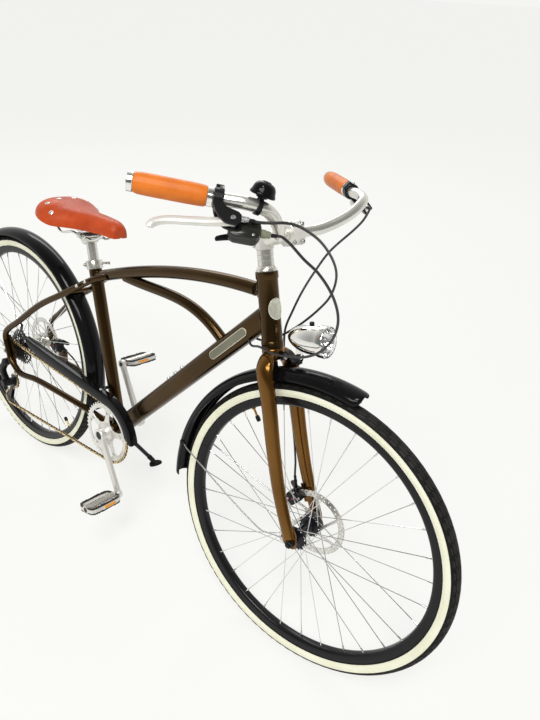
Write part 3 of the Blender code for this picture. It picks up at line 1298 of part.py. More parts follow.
def chainring():
    """Toothed ring with five arms and five windows, bored to sit on the right crank's boss."""
    tip = tip_radius(CHAINRING_TEETH, pi / (CHAIN_WRAPS[0] - 1))
    outline = toothed(CHAINRING_TEETH, tip, tip - TOOTH_HEIGHT)
    centre = BB - CHAINLINE_FRONT * LEFT
    body = plate(outline, centre, FORWARD, UP, TOOTH_THICKNESS)
    inner, outer = 0.033, tip - 0.013
    for i in range(SPIDER_ARMS):
        middle = CRANK_ANGLE + 2 * pi * (i + 0.5) / SPIDER_ARMS
        window = [(inner, -0.22), (outer, -0.44), (outer, -0.15), (outer, 0.15), (outer, 0.44), (inner, 0.22)]
        corners = [(radius * cos(middle + angle), radius * sin(middle + angle)) for radius, angle in window]
        body = cut(body, plate(corners, centre, FORWARD, UP, 4 * TOOTH_THICKNESS))
    return cut(body, disc(centre, LEFT, bore(CRANK_BOSS_RADIUS, 16), -0.01, 0.01, 16))


def crank_arm(side, direction, hub):
    """Tapered arm from the spindle to the pedal, its turned hub and the pedal's axle."""
    root = BB + side * CRANK_ROOT_SIDE * LEFT
    tip = BB + CRANK_LENGTH * direction + side * CRANK_END_SIDE * LEFT
    half_t, half_w = CRANK_THICKNESS / 2, CRANK_WIDTH / 2
    bevel = 0.0035
    section = [(-half_t, -half_w + bevel), (-half_t + bevel, -half_w), (half_t - bevel, -half_w),
               (half_t, -half_w + bevel), (half_t, half_w - bevel), (half_t - bevel, half_w),
               (-half_t + bevel, half_w), (-half_t, half_w - bevel)]
    body = sweep([root, tip], section, scale=[1.05, 0.85])
    outer = CRANK_ROOT_SIDE + half_t + 0.0005
    profile = hub + [(CRANK_BOSS_RADIUS, outer - 0.001), (CRANK_BOSS_RADIUS - 0.001, outer), (0, outer)]
    body = fuse(body, turned(profile, BB, side * LEFT, 16))
    body = fuse(body, disc(tip, LEFT, 0.0125, -half_t + 0.0005, half_t - 0.0004, 16))
    axle_end = half_t + PEDAL_START + PEDAL_LENGTH - 0.012
    return fuse(body, disc(tip, side * LEFT, PEDAL_PIN_RADIUS, 0, axle_end, 12))


CRANK_SHOULDER = BB_SHELL_WIDTH / 2 + 0.0020
CRANK_SHOULDER_RADIUS = 0.0150
CRANK_COLLAR_RADIUS = 0.0270


def crank_right():
    """Right crank with the boss and collar that carry the chainring, bored for the spindle."""
    ring_face = CHAINLINE_FRONT + TOOTH_THICKNESS / 2 + GAP
    hub = [(0, CRANK_SHOULDER), (CRANK_SHOULDER_RADIUS, CRANK_SHOULDER),
           (CRANK_SHOULDER_RADIUS, CHAINLINE_FRONT - 0.003), (CRANK_BOSS_RADIUS, CHAINLINE_FRONT - 0.003),
           (CRANK_BOSS_RADIUS, ring_face), (CRANK_COLLAR_RADIUS, ring_face),
           (CRANK_COLLAR_RADIUS, ring_face + 0.004),
           (CRANK_BOSS_RADIUS, ring_face + 0.008)]
    body = crank_arm(-1, CRANK_DIRECTION, hub)
    return cut(body, disc(BB, -LEFT, bore(SPINDLE_RADIUS, 16, 0.0001), 0, CRANK_ROOT_SIDE + 0.001, 16))


def crank_left():
    """Left crank with the spindle that runs through the bottom bracket."""
    hub = [(0, -CRANK_ROOT_SIDE + 0.0005), (SPINDLE_RADIUS, -CRANK_ROOT_SIDE + 0.0005),
           (SPINDLE_RADIUS, CRANK_SHOULDER), (CRANK_SHOULDER_RADIUS, CRANK_SHOULDER),
           (CRANK_SHOULDER_RADIUS, CRANK_ROOT_SIDE - 0.008), (CRANK_BOSS_RADIUS, CRANK_ROOT_SIDE - 0.0065)]
    return crank_arm(1, -CRANK_DIRECTION, hub)


def pedal(side, direction, tilt):
    """Cage pedal: tube on the axle, inner and outer ends and the two long rails with their reflectors."""
    start = CRANK_END_SIDE + CRANK_THICKNESS / 2 + PEDAL_START
    ahead = Vector((cos(tilt), 0, sin(tilt)))
    square = Vector((-sin(tilt), 0, cos(tilt)))
    centre = BB + CRANK_LENGTH * direction + side * (start + PEDAL_LENGTH / 2) * LEFT
    half = PEDAL_LENGTH / 2
    buried = half - PEDAL_RAIL / 2
    body = disc(centre, side * LEFT, PEDAL_TUBE_RADIUS, -buried, buried, 14)
    for end in (-1, 1):
        middle = centre + side * end * (half - PEDAL_RAIL / 2) * LEFT
        width = PEDAL_DEPTH / 2
        outline = [(-width, -0.4 * PEDAL_HEIGHT), (-0.6 * width, -PEDAL_HEIGHT / 2),
                   (0.6 * width, -PEDAL_HEIGHT / 2),
                   (width, -0.4 * PEDAL_HEIGHT), (width, 0.4 * PEDAL_HEIGHT), (0.6 * width, PEDAL_HEIGHT / 2),
                   (-0.6 * width, PEDAL_HEIGHT / 2), (-width, 0.4 * PEDAL_HEIGHT)]
        body = fuse(body, plate(outline, middle, ahead, square, PEDAL_RAIL))
        rail = centre + end * (width - PEDAL_RAIL / 2 - 0.0008) * ahead
        body = fuse(body, block(rail, (PEDAL_RAIL, 2 * buried, 0.7 * PEDAL_HEIGHT), ahead, square))
    return cut(body, disc(centre, side * LEFT, bore(PEDAL_PIN_RADIUS, 12), -half - 0.01, half - 0.008, 12))


def cassette():
    """Seven cogs on one carrier over the freehub body."""
    first = -CHAINLINE_REAR
    last = first + COG_SPACING * (len(COG_TEETH) - 1)
    body = disc(REAR_HUB, LEFT, 0.0200, first - 0.0012, last + 0.0012, HUB_STEPS)
    step = pi / (CHAIN_WRAPS[1] - 1) * 1.15
    for i, teeth in enumerate(COG_TEETH):
        tip = tip_radius(teeth, step)
        middle = REAR_HUB + (first + COG_SPACING * i) * LEFT
        body = fuse(body, plate(toothed(teeth, tip, tip - COG_TOOTH_HEIGHT), middle, FORWARD, UP,
                                TOOTH_THICKNESS))
    return cut(body, disc(REAR_HUB, LEFT, bore(FREEHUB_RADIUS, HUB_STEPS), first - 0.01, last + 0.01,
                          HUB_STEPS))


def jockey(centre):
    """Guide wheel: toothed rim and a wider hub, on its bolt."""
    tip = tip_radius(JOCKEY_TEETH, radians(36))
    middle = centre - CHAINLINE_REAR * LEFT
    body = plate(toothed(JOCKEY_TEETH, tip, tip - JOCKEY_TOOTH_HEIGHT), middle, FORWARD, UP, TOOTH_THICKNESS)
    body = fuse(body, disc(middle, LEFT, JOCKEY_HUB_RADIUS, -CAGE_HALF + GAP, CAGE_HALF - GAP, 14))
    return cut(body, disc(middle, LEFT, bore(JOCKEY_BOLT_RADIUS, BOLT_FACES), -0.01, 0.01, BOLT_FACES))


KNUCKLE_RADIUS = 0.0080
CAGE_PIN_RADIUS = 0.0040
CAGE_PIN_LENGTH = 0.0120
SHIFT_TRAVEL = 0.0270
CAGE_OUTER = CHAINLINE_REAR + CAGE_HALF + CAGE_PLATE
HANGER_BOLT = REAR_HUB + Vector((-0.003, 0, -0.041))
HANGER_FACE = REAR_HUB_WIDTH / 2 + DROPOUT_THICKNESS - 0.0005


def derailleur_cage():
    """Two side plates joined by both jockey bolts, with the pin that turns in the knuckle."""
    line = (LOWER_JOCKEY - UPPER_JOCKEY).normalized()
    square = line.cross(LEFT)
    length = (LOWER_JOCKEY - UPPER_JOCKEY).length
    waist = 0.0065
    outline = [(-CAGE_RADIUS, 0.5 * waist), (-0.6 * CAGE_RADIUS, CAGE_RADIUS),
               (0.5 * CAGE_RADIUS, CAGE_RADIUS),
               (length * 0.35, waist), (length - 0.8 * CAGE_RADIUS, CAGE_RADIUS),
               (length + 0.6 * CAGE_RADIUS, CAGE_RADIUS),
               (length + CAGE_RADIUS, 0.5 * waist)]
    outline += [(u, -v) for u, v in reversed(outline)]
    body = None
    for side in (-1, 1):
        middle = UPPER_JOCKEY + (side * (CAGE_HALF + CAGE_PLATE / 2) - CHAINLINE_REAR) * LEFT
        side_plate = plate(outline, middle, line, square, CAGE_PLATE)
        body = fuse(body, side_plate) if body else side_plate
        if side < 0:
            for centre in (UPPER_JOCKEY, LOWER_JOCKEY):
                reach = CAGE_HALF + CAGE_PLATE / 2
                bolt = disc(centre - CHAINLINE_REAR * LEFT, LEFT, JOCKEY_BOLT_RADIUS, -reach, reach,
                            BOLT_FACES)
                body = fuse(body, bolt)
    pin = disc(UPPER_JOCKEY, -LEFT, CAGE_PIN_RADIUS, CAGE_OUTER - CAGE_PLATE / 2,
               CAGE_OUTER + CAGE_PIN_LENGTH, 14)
    return fuse(body, pin)


def derailleur_knuckle():
    """Round knuckle that slides in the body's sleeve, with a blind hole for the cage's pin."""
    body = disc(UPPER_JOCKEY, -LEFT, KNUCKLE_RADIUS, CAGE_OUTER + GAP, CAGE_OUTER + SHIFT_TRAVEL + 0.003, 14)
    hole = bore(CAGE_PIN_RADIUS, 14)
    return cut(body, disc(UPPER_JOCKEY, -LEFT, hole, CAGE_OUTER - 0.002, CAGE_OUTER + CAGE_PIN_LENGTH + GAP,
                          14))


def derailleur_body():
    """Knuckle on the hanger bolt, the linkage's arm and the sleeve in which the cage's knuckle slides."""
    top = disc(HANGER_BOLT, -LEFT, 0.0120, HANGER_FACE + GAP, HANGER_FACE + 0.018, 14)
    sleeve_start = CAGE_OUTER + 0.0015
    sleeve_end = CAGE_OUTER + SHIFT_TRAVEL + 0.008
    sleeve = disc(UPPER_JOCKEY, -LEFT, KNUCKLE_RADIUS + 0.0042, sleeve_start, sleeve_end, 14)
    arm_start = HANGER_BOLT - (HANGER_FACE + 0.0105) * LEFT
    arm_end = UPPER_JOCKEY - (HANGER_FACE + 0.0080) * LEFT
    belly = (arm_start + arm_end) / 2 + Vector((-0.014, -0.004, 0.004))
    arm = sweep([arm_start, belly, arm_end], oval(0.0075, 0.0110, 8))
    barrel = rod([belly + Vector((-0.006, 0, 0.004)), belly + Vector((-0.024, 0, 0.010))], 0.0045, 8)
    stop = disc(UPPER_JOCKEY, -LEFT, bore(KNUCKLE_RADIUS, 14), sleeve_start - 0.001, sleeve_end - 0.0025, 14)
    return cut(fuse(top, arm, sleeve, barrel), stop)


GUARD_OUTER = 0.0565
GUARD_INNER = 0.0350
CHAIN_GUARD_RADIUS = 0.120
CHAIN_GUARD_SKIRT = 0.028
CHAIN_GUARD_WALL = 0.0015
STRAP_KNOT = 5
CHAIN_GUARD_TAIL = REAR_HUB + Vector((0.060, 0, 0.063))


def chain_guard():
    """L-shaped guard over the upper run and the front of the chainring, with two tabs to the frame."""
    leave = radians(88.6)
    path = []
    for i in range(9):
        angle = radians(10) + (leave - radians(10)) * i / 8
        path.append(BB + Vector((CHAIN_GUARD_RADIUS * cos(angle), 0, CHAIN_GUARD_RADIUS * sin(angle))))
    path.append(CHAIN_GUARD_TAIL)
    wall = CHAIN_GUARD_WALL
    section = [(-GUARD_OUTER, 0), (-GUARD_INNER, 0), (-GUARD_INNER, wall), (-GUARD_OUTER + wall, wall),
               (-GUARD_OUTER + wall, CHAIN_GUARD_SKIRT), (-GUARD_OUTER, CHAIN_GUARD_SKIRT)]
    body = sweep(path, section)
    tube_x = BB.x - (CHAIN_GUARD_RADIUS - 0.001) * cos(SEAT_ANGLE) / sin(SEAT_ANGLE)
    tab = block(Vector((tube_x, -GUARD_INNER / 2 - 0.001, BB.z + CHAIN_GUARD_RADIUS + 0.0005)),
                (0.014, GUARD_INNER - 0.002, 0.0026))
    strap_foot = stay_path(-1)[STRAP_KNOT] + Vector((0.004, 0.004, 0))
    strap = beam(CHAIN_GUARD_TAIL + Vector((0.014, 0.0008 - GUARD_OUTER, -0.006)), strap_foot, 0.0022, 0.012)
    stay = rod(smooth_path(stay_path(-1), 2), STAY_RADIUS + GAP, STAY_SIDES)
    return cut(fuse(body, tab, strap), seat_tube_cutter(), stay)


PEDAL_TILT = radians(18)
pedal_axis_right = Joint("pedal_right_axis", BB + CRANK_LENGTH * CRANK_DIRECTION - CRANK_END_SIDE * LEFT,
                         crankset)
pedal_axis_left = Joint("pedal_left_axis", BB - CRANK_LENGTH * CRANK_DIRECTION + CRANK_END_SIDE * LEFT,
                        crankset)
shift_slide = Joint("derailleur_slide", UPPER_JOCKEY - CAGE_OUTER * LEFT, bike)
cage_axis = Joint("derailleur_cage_axis", UPPER_JOCKEY - CAGE_OUTER * LEFT, shift_slide)
upper_axis = Joint("jockey_upper_axis", UPPER_JOCKEY - CHAINLINE_REAR * LEFT, cage_axis)
lower_axis = Joint("jockey_lower_axis", LOWER_JOCKEY - CHAINLINE_REAR * LEFT, cage_axis)

node("chainring", chainring(), crankset, SILVER)
node("crank_right", crank_right(), crankset, SILVER)
node("crank_left", crank_left(), crankset, SILVER)
node("pedal_right", pedal(-1, CRANK_DIRECTION, PEDAL_TILT), pedal_axis_right, SILVER)
node("pedal_left", pedal(1, -CRANK_DIRECTION, PEDAL_TILT), pedal_axis_left, SILVER)
node("cassette", cassette(), freewheel, STEEL)
node("jockey_upper", jockey(UPPER_JOCKEY), upper_axis, SATIN_BLACK)
node("jockey_lower", jockey(LOWER_JOCKEY), lower_axis, SATIN_BLACK)
node("derailleur_cage", derailleur_cage(), cage_axis, STEEL)
node("derailleur_knuckle", derailleur_knuckle(), shift_slide, SATIN_BLACK)
node("derailleur_body", derailleur_body(), bike, SATIN_BLACK)
node("chain_guard", chain_guard(), bike, BLACK)
node("chain", chain(), bike, CHAIN_BRONZE)


# Disc brakes

CALIPER_SLOT = 0.0050
CALIPER_PIN_RADIUS = 0.0035
CALIPER_BOSS_RADIUS = 0.0085
CALIPER_ARM = 0.0040
CALIPER_REACH = 0.070
CABLE_RADIUS = 0.0025
CABLE_GAP = 0.0007


class Caliper:
    """Frame of one calliper over the rim of its rotor: round along the rotor, out away from the hub."""

    def __init__(self, hub, angle, rotor_side, inner_face, outer_face):
        self.hub = hub
        self.out = Vector((cos(angle), 0, sin(angle)))
        self.round = Vector((-sin(angle), 0, cos(angle)))
        self.rotor_side = rotor_side
        self.inner_face = inner_face
        self.outer_face = outer_face

    def at(self, around, out, side):
        return self.hub + around * self.round + (CALIPER_REACH + out) * self.out + side * LEFT

    def pivot(self):
        return self.at(0.006, -0.002, self.outer_face)

    def housing(self, barrel_way):
        """Housing with its rotor slot, the arm's boss and pin and the cable's barrel."""
        outline = [(-0.018, -0.013), (0.018, -0.013), (0.020, 0.004), (0.012, 0.018), (-0.012, 0.018),
                   (-0.020, 0.004)]
        middle = self.at(0, 0, (self.inner_face + self.outer_face) / 2)
        body = plate(outline, middle, self.round, self.out, self.outer_face - self.inner_face)
        slot = block(self.at(0, -0.007, self.rotor_side), (0.080, CALIPER_SLOT, 0.040), self.round, self.out)
        boss = disc(self.pivot(), LEFT, CALIPER_BOSS_RADIUS, -0.004, 0.0063, 14)
        pin = disc(self.pivot(), LEFT, CALIPER_PIN_RADIUS, 0.005, 0.0063 + CALIPER_ARM + 0.0012, 12)
        root = self.at(0, 0.008, self.barrel_side())
        barrel = rod([root, root + 0.030 * barrel_way], 0.0042, 8, across=FORWARD)
        return fuse(cut(body, slot), boss, pin, barrel)

    def barrel_side(self):
        return (self.rotor_side + CALIPER_SLOT / 2 + self.outer_face) / 2

    def barrel_end(self, barrel_way):
        return self.at(0, 0.008, self.barrel_side()) + 0.030 * barrel_way

    def arm(self):
        """Arm on the boss's pin, with the cable clamp at its end."""
        centre = self.pivot() + (0.0063 + GAP + CALIPER_ARM / 2) * LEFT
        outline = [(-0.0080, -0.004), (0.0080, -0.004), (0.0085, 0.006), (0.0060, 0.034), (-0.0030, 0.036),
                   (-0.0060, 0.028)]
        body = fuse(plate(outline, centre, self.round, self.out, CALIPER_ARM),
                    disc(centre, LEFT, 0.0078, -CALIPER_ARM / 2 + 0.0002, CALIPER_ARM / 2 - 0.0002, 12))
        return cut(body, disc(centre, LEFT, bore(CALIPER_PIN_RADIUS, 12), -0.01, 0.01, 12))


FRONT_CALIPER = Caliper(FRONT_HUB, radians(144), FRONT_ROTOR_SIDE, 0.0265,
                        FRONT_TAB_SIDE - TAB_THICKNESS / 2 - GAP)
REAR_CALIPER = Caliper(REAR_HUB, radians(10), REAR_ROTOR_SIDE, 0.0415,
                       REAR_TAB_SIDE - TAB_THICKNESS / 2 - GAP)
FRONT_BARREL_WAY = HEAD_AXIS
REAR_BARREL_WAY = Vector((0.97, 0, -0.24)).normalized()


def blade_cutter():
    path = blade_path(1)
    scale = [1 - (1 - BLADE_END_RADIUS / BLADE_TOP_RADIUS) * i / (len(path) - 1) for i in range(len(path))]
    return rod(path, BLADE_TOP_RADIUS + GAP, BLADE_SIDES, scale=scale)


def rear_caliper():
    """Rear housing with the short cable that runs forward to the left stay."""
    end = REAR_CALIPER.barrel_end(REAR_BARREL_WAY)
    tail = [end - 0.004 * REAR_BARREL_WAY, end + 0.012 * REAR_BARREL_WAY, Vector((0.150, 0.0640, 0.340)),
            Vector((0.184, 0.0655, 0.316))]
    cable = rod(smooth_path(tail, 3), CABLE_RADIUS, 6)
    left_stay = rod(smooth_path(stay_path(1), 2), STAY_RADIUS + GAP, STAY_SIDES)
    return fuse(REAR_CALIPER.housing(REAR_BARREL_WAY), cut(cable, left_stay))


front_arm_axis = Joint("front_caliper_arm_axis", FRONT_CALIPER.pivot(), steering)
rear_arm_axis = Joint("rear_caliper_arm_axis", REAR_CALIPER.pivot(), bike)
node("front_caliper", cut(FRONT_CALIPER.housing(FRONT_BARREL_WAY), blade_cutter()), steering, SATIN_BLACK)
node("front_caliper_arm", FRONT_CALIPER.arm(), front_arm_axis, STEEL)
node("rear_caliper", rear_caliper(), bike, SATIN_BLACK)
node("rear_caliper_arm", REAR_CALIPER.arm(), rear_arm_axis, STEEL)


# Kickstand

KICK_LEG_RADIUS = 0.0065
KICK_SHOE_RADIUS = 0.0095


def kickstand_leg():
    """Round leg with an eye on the frame's pin and a rubber shoe."""
    ahead = (KICK_FOOT - KICK_PIVOT).normalized()
    eye = disc(KICK_PIVOT, KICK_AXIS, 0.0105, -KICK_EYE / 2, KICK_EYE / 2, 14)
    leg = rod([KICK_PIVOT + 0.004 * ahead, KICK_FOOT - 0.030 * ahead], KICK_LEG_RADIUS, 8)
    shoe = rod([KICK_FOOT - 0.042 * ahead, KICK_FOOT - 0.038 * ahead, KICK_FOOT - 0.004 * ahead, KICK_FOOT],
               KICK_SHOE_RADIUS, 8, scale=[0.8, 1.0, 1.0, 0.8])
    return cut(fuse(eye, leg, shoe), disc(KICK_PIVOT, KICK_AXIS, bore(KICK_PIN_RADIUS, 12), -0.02, 0.02, 12))


kick_axis = Joint("kickstand_axis", KICK_PIVOT, bike)
node("kickstand_leg", kickstand_leg(), kick_axis, SATIN_BLACK)


# Saddle

RAIL_RADIUS = 0.0035
RAIL_SIDE = 0.0220
RAIL_LIFT = 0.0130
POST_TOP = BB + (SEAT_TUBE_LENGTH + SEATPOST_SHOWN) * SEAT_AXIS
CLAMP_MIDDLE = POST_TOP + Vector((-0.006, 0, RAIL_LIFT))
SADDLE_WALL = 0.0050
# Stations from the cantle to the nose: forward of the clamp, half width, height over the rails and depth
SADDLE_STATIONS = ((-0.1353, 0.060, 0.063, 0.022), (-0.1213, 0.078, 0.071, 0.036),
                   (-0.0933, 0.088, 0.071, 0.047),
                   (-0.0593, 0.079, 0.066, 0.047), (-0.0223, 0.056, 0.065, 0.041),
                   (0.0187, 0.037, 0.066, 0.036),
                   (0.0607, 0.030, 0.067, 0.030), (0.1007, 0.0255, 0.066, 0.025),
                   (0.1207, 0.0160, 0.060, 0.014))
SADDLE_TURNS = (-90, -62, -32, 0, 32, 62, 90)


def saddle_point(station, turn, inset):
    """A point of the saddle's shell on one of its stations; the inset is from its outside."""
    ahead, half, top, depth = SADDLE_STATIONS[station]
    a = radians(turn)
    side = (half - inset) * sin(a)
    fall = (depth - inset) * (1 - cos(a)) ** 1.25
    return CLAMP_MIDDLE + Vector((ahead, side, top - inset - fall))


def saddle_shell():
    rings = []
    for station in range(len(SADDLE_STATIONS)):
        outer = [saddle_point(station, turn, 0) for turn in SADDLE_TURNS]
        inner = [saddle_point(station, turn, SADDLE_WALL) for turn in reversed(SADDLE_TURNS)]
        rings.append(outer + inner)
    return skin(rings)


def saddle_rails():
    """One bent wire: both rails, joined at the nose, with their ends against the underside of the saddle."""
    back = saddle_point(1, 34, SADDLE_WALL + 0.75 * RAIL_RADIUS)
    nose = saddle_point(7, 0, SADDLE_WALL + RAIL_RADIUS + 2 * GAP)
    half = [nose, Vector((nose.x - 0.004, 0.010, nose.z - 0.012)),
            CLAMP_MIDDLE + Vector((0.0757, 0.018, 0.020)),
            *[CLAMP_MIDDLE + Vector((ahead, RAIL_SIDE, 0)) for ahead in (0.0407, 0.0227, -0.0253, -0.0473)],
            CLAMP_MIDDLE + Vector((-0.0973, 0.027, -0.007)), back]
    mirrored = [Vector((p.x, -p.y, p.z)) for p in half[1:]]
    path = smooth_path(list(reversed(mirrored)) + half, 2)
    return rod(path, RAIL_RADIUS, 6, across=LEFT + 0.3 * UP)


def seatpost():
    """Post with its clamp head, bored for both rails."""
    top = SEAT_TUBE_LENGTH + SEATPOST_SHOWN
    post = disc(BB, SEAT_AXIS, SEATPOST_RADIUS, top - SEATPOST_LENGTH, top, 14)
    lower = disc(CLAMP_MIDDLE - 0.006 * UP, LEFT, 0.0150, -0.0190, 0.0190, 14)
    clamp = block(CLAMP_MIDDLE, (0.038, 0.056, 0.0130))
    body = fuse(post, lower, clamp)
    for side in (-1, 1):
        centre = CLAMP_MIDDLE + side * RAIL_SIDE * LEFT
        body = cut(body, disc(centre, FORWARD, bore(RAIL_RADIUS, 10), -0.050, 0.050, 10))
    return body


seat_slide = Joint("seatpost_slide", SEAT_TOP, bike)
node("seatpost", seatpost(), seat_slide, SATIN_BLACK)
node("saddle_rails", saddle_rails(), seat_slide, CHROME)
node("saddle", saddle_shell(), seat_slide, SADDLE_LEATHER)


# Cables

def steered(point):
    """Where a point of the steering lies once the bars are turned as they are in the photo."""
    return HEAD_LOW + Quaternion(HEAD_AXIS, STEER) @ (point - HEAD_LOW)


def cable(knots, steps):
    return rod(smooth_path(knots, steps), CABLE_RADIUS, 6, across=LEFT + 0.4 * FORWARD)


def rear_brake_cable():
    """From the right lever over the lamp and past the left of the head tube into the down tube."""
    mount = Mount(-1)
    u, v = BARREL_PLACE
    start = u - BARREL_LENGTH - CABLE_GAP
    knots = [steered(mount.at(start, v)), steered(mount.at(start - 0.020, v))]
    knots += [Vector(p) for p in ((1.048, -0.150, 1.032), (1.057, -0.100, 1.014), (1.058, -0.050, 0.986),
                                  (1.055, 0.000, 0.946), (1.047, 0.030, 0.910), (1.031, 0.048, 0.867),
                                  (1.008, 0.052, 0.830), (0.979, 0.048, 0.791), (0.952, 0.042, 0.761),
                                  (0.930, 0.033, 0.742), (0.908, 0.018, 0.730), (0.885, 0.006, 0.732))]
    return cut(cable(knots, 2), down_tube_cutter())


def shift_cable():
    """From the shifter pod in a wide loop right of the lamp into the down tube."""
    mount = Mount(-1)
    u, v, w = POD_OUTLET
    start = u - POD_OUTLET_LENGTH - CABLE_GAP
    knots = [steered(mount.at(start, v, w)), steered(mount.at(start - 0.020, v, w))]
    knots += [Vector(p) for p in ((1.078, -0.137, 0.980), (1.099, -0.123, 0.963), (1.120, -0.107, 0.935),
                                  (1.131, -0.092, 0.904), (1.133, -0.082, 0.875), (1.122, -0.070, 0.839),
                                  (1.097, -0.060, 0.802), (1.062, -0.050, 0.774), (1.024, -0.045, 0.757),
                                  (0.983, -0.041, 0.745), (0.942, -0.036, 0.742), (0.912, -0.024, 0.730),
                                  (0.888, -0.010, 0.735))]
    return cut(cable(knots, 2), down_tube_cutter())


def front_brake_cable():
    """From the left lever down past the head tube and behind the left blade to the front calliper."""
    mount = Mount(1)
    u, v = BARREL_PLACE
    start = u - BARREL_LENGTH - CABLE_GAP
    end = FRONT_CALIPER.barrel_end(FRONT_BARREL_WAY) + CABLE_GAP * FRONT_BARREL_WAY
    knots = [mount.at(start, v), mount.at(start - 0.012, v)]
    knots += [Vector(p) for p in ((0.998, 0.176, 0.995), (0.9625, 0.136, 0.930), (0.950, 0.112, 0.885),
                                  (0.9435, 0.088, 0.843), (0.940, 0.069, 0.800), (0.938, 0.056, 0.757))]
    knots += [on_fork(0.377, -0.012, 0.056), on_fork(0.319, -0.006, 0.051), on_fork(0.210, 0.001, 0.051),
              on_fork(0.140, 0.001, 0.050), end + 0.012 * FRONT_BARREL_WAY, end]
    return cable(knots, 2)


node("rear_brake_cable", rear_brake_cable(), bike, BLACK)
node("shift_cable", shift_cable(), bike, BLACK)
node("front_brake_cable", front_brake_cable(), steering, BLACK)

def solids():
    return [obj for obj in bpy.data.objects if obj.type == "MESH"]


def lowest(obj):
    """The lowest corner of a solid as the bike now stands."""
    return min((obj.matrix_world @ vertex.co for vertex in obj.data.vertices), key=lambda point: point.z)


def stand_up():
    """Lean the bike until both tyres and the kickstand rest on the floor, and centre it over the origin."""
    root = bike.empty
    for _ in range(6):
        bpy.context.view_layer.update()
        rear, front, foot = [lowest(bpy.data.objects[name]) for name in ("rear_tyre", "front_tyre",
                                                                         "kickstand_leg")]
        normal = (front - rear).cross(foot - rear)
        root.matrix_world = normal.rotation_difference(UP).to_matrix().to_4x4() @ root.matrix_world
    bpy.context.view_layer.update()
    corners = [obj.matrix_world @ vertex.co for obj in solids() for vertex in obj.data.vertices]
    low = Vector([min(corner[axis] for corner in corners) for axis in range(3)])
    high = Vector([max(corner[axis] for corner in corners) for axis in range(3)])
    middle = (low + high) / 2
    root.matrix_world = Matrix.Translation((-middle.x, -middle.y, -low.z)) @ root.matrix_world


steering.turn(HEAD_AXIS, STEER)
bike.turn(FORWARD, -LEAN)
stand_up()
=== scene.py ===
"""City bike with swept-back bars, leather saddle and grips, mudguards and a bullet headlight, on its stand.

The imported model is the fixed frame.  Each section below draws one piece, or a group of like pieces, in bike
coordinates: the bike upright, +X forward, +Y to the rider's left, +Z up from the rear tyre's foot, in metres.
"""
from math import atan2, cos, pi, radians, sin, sqrt

import bmesh
import bpy
from mathutils import Matrix, Quaternion, Vector
from mathutils.geometry import interpolate_bezier


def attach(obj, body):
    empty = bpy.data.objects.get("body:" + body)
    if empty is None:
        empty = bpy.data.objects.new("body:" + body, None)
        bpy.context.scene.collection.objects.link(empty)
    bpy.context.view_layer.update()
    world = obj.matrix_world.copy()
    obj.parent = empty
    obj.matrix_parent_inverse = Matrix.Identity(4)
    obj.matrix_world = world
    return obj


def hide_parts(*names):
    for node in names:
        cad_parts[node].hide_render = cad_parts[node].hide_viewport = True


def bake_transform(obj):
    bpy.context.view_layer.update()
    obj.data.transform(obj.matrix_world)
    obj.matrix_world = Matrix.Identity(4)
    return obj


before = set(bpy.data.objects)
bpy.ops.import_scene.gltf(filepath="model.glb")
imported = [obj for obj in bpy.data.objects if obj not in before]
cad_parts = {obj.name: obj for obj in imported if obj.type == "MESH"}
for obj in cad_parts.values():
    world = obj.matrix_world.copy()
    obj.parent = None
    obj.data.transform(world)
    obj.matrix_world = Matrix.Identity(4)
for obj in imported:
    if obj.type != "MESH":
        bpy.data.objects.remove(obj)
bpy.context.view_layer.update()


# Floor, light and camera.  A pale studio floor that runs up behind the bike, broad soft lamps to the rider's
# right and above, and the camera at the photograph's place, high in front of the right pedal.
scene = bpy.context.scene
scene.view_settings.view_transform = "Standard"

FLOOR_WHITE = (0.9, 0.9, 0.885, 1)
FLOOR_HALF = 80.0
WALL_WHITE = (0.915, 0.915, 0.885, 1)
FLOOR_GLOW = (0.955, 0.955, 0.925, 1)
EVEN_SHARE = 0.78
AWAY_FROM_WINDOW = (0.6, -0.66, 0.45)


def fill(shader_node, values):
    for name, value in values.items():
        shader_node.inputs[name].default_value = value


def node(tree, kind, values=None, **settings):
    """A new shader node with its settings and the values of its inputs."""
    made = tree.nodes.new("ShaderNode" + kind)
    for name, value in settings.items():
        setattr(made, name, value)
    fill(made, values or {})
    return made


def blank(name):
    """A new material, its node tree and its shader."""
    material = bpy.data.materials.new(name)
    material.use_nodes = True
    return material, material.node_tree, material.node_tree.nodes["Principled BSDF"]


def seen_or_mirrored(tree):
    """One where the camera, a mirror or glass looks, zero for the light that falls on things."""
    rays = node(tree, "LightPath")
    socket = rays.outputs["Is Camera Ray"]
    for kind in ("Is Glossy Ray", "Is Transmission Ray"):
        either = node(tree, "Math", operation="MAXIMUM")
        tree.links.new(socket, either.inputs[0])
        tree.links.new(rays.outputs[kind], either.inputs[1])
        socket = either.outputs[0]
    return socket


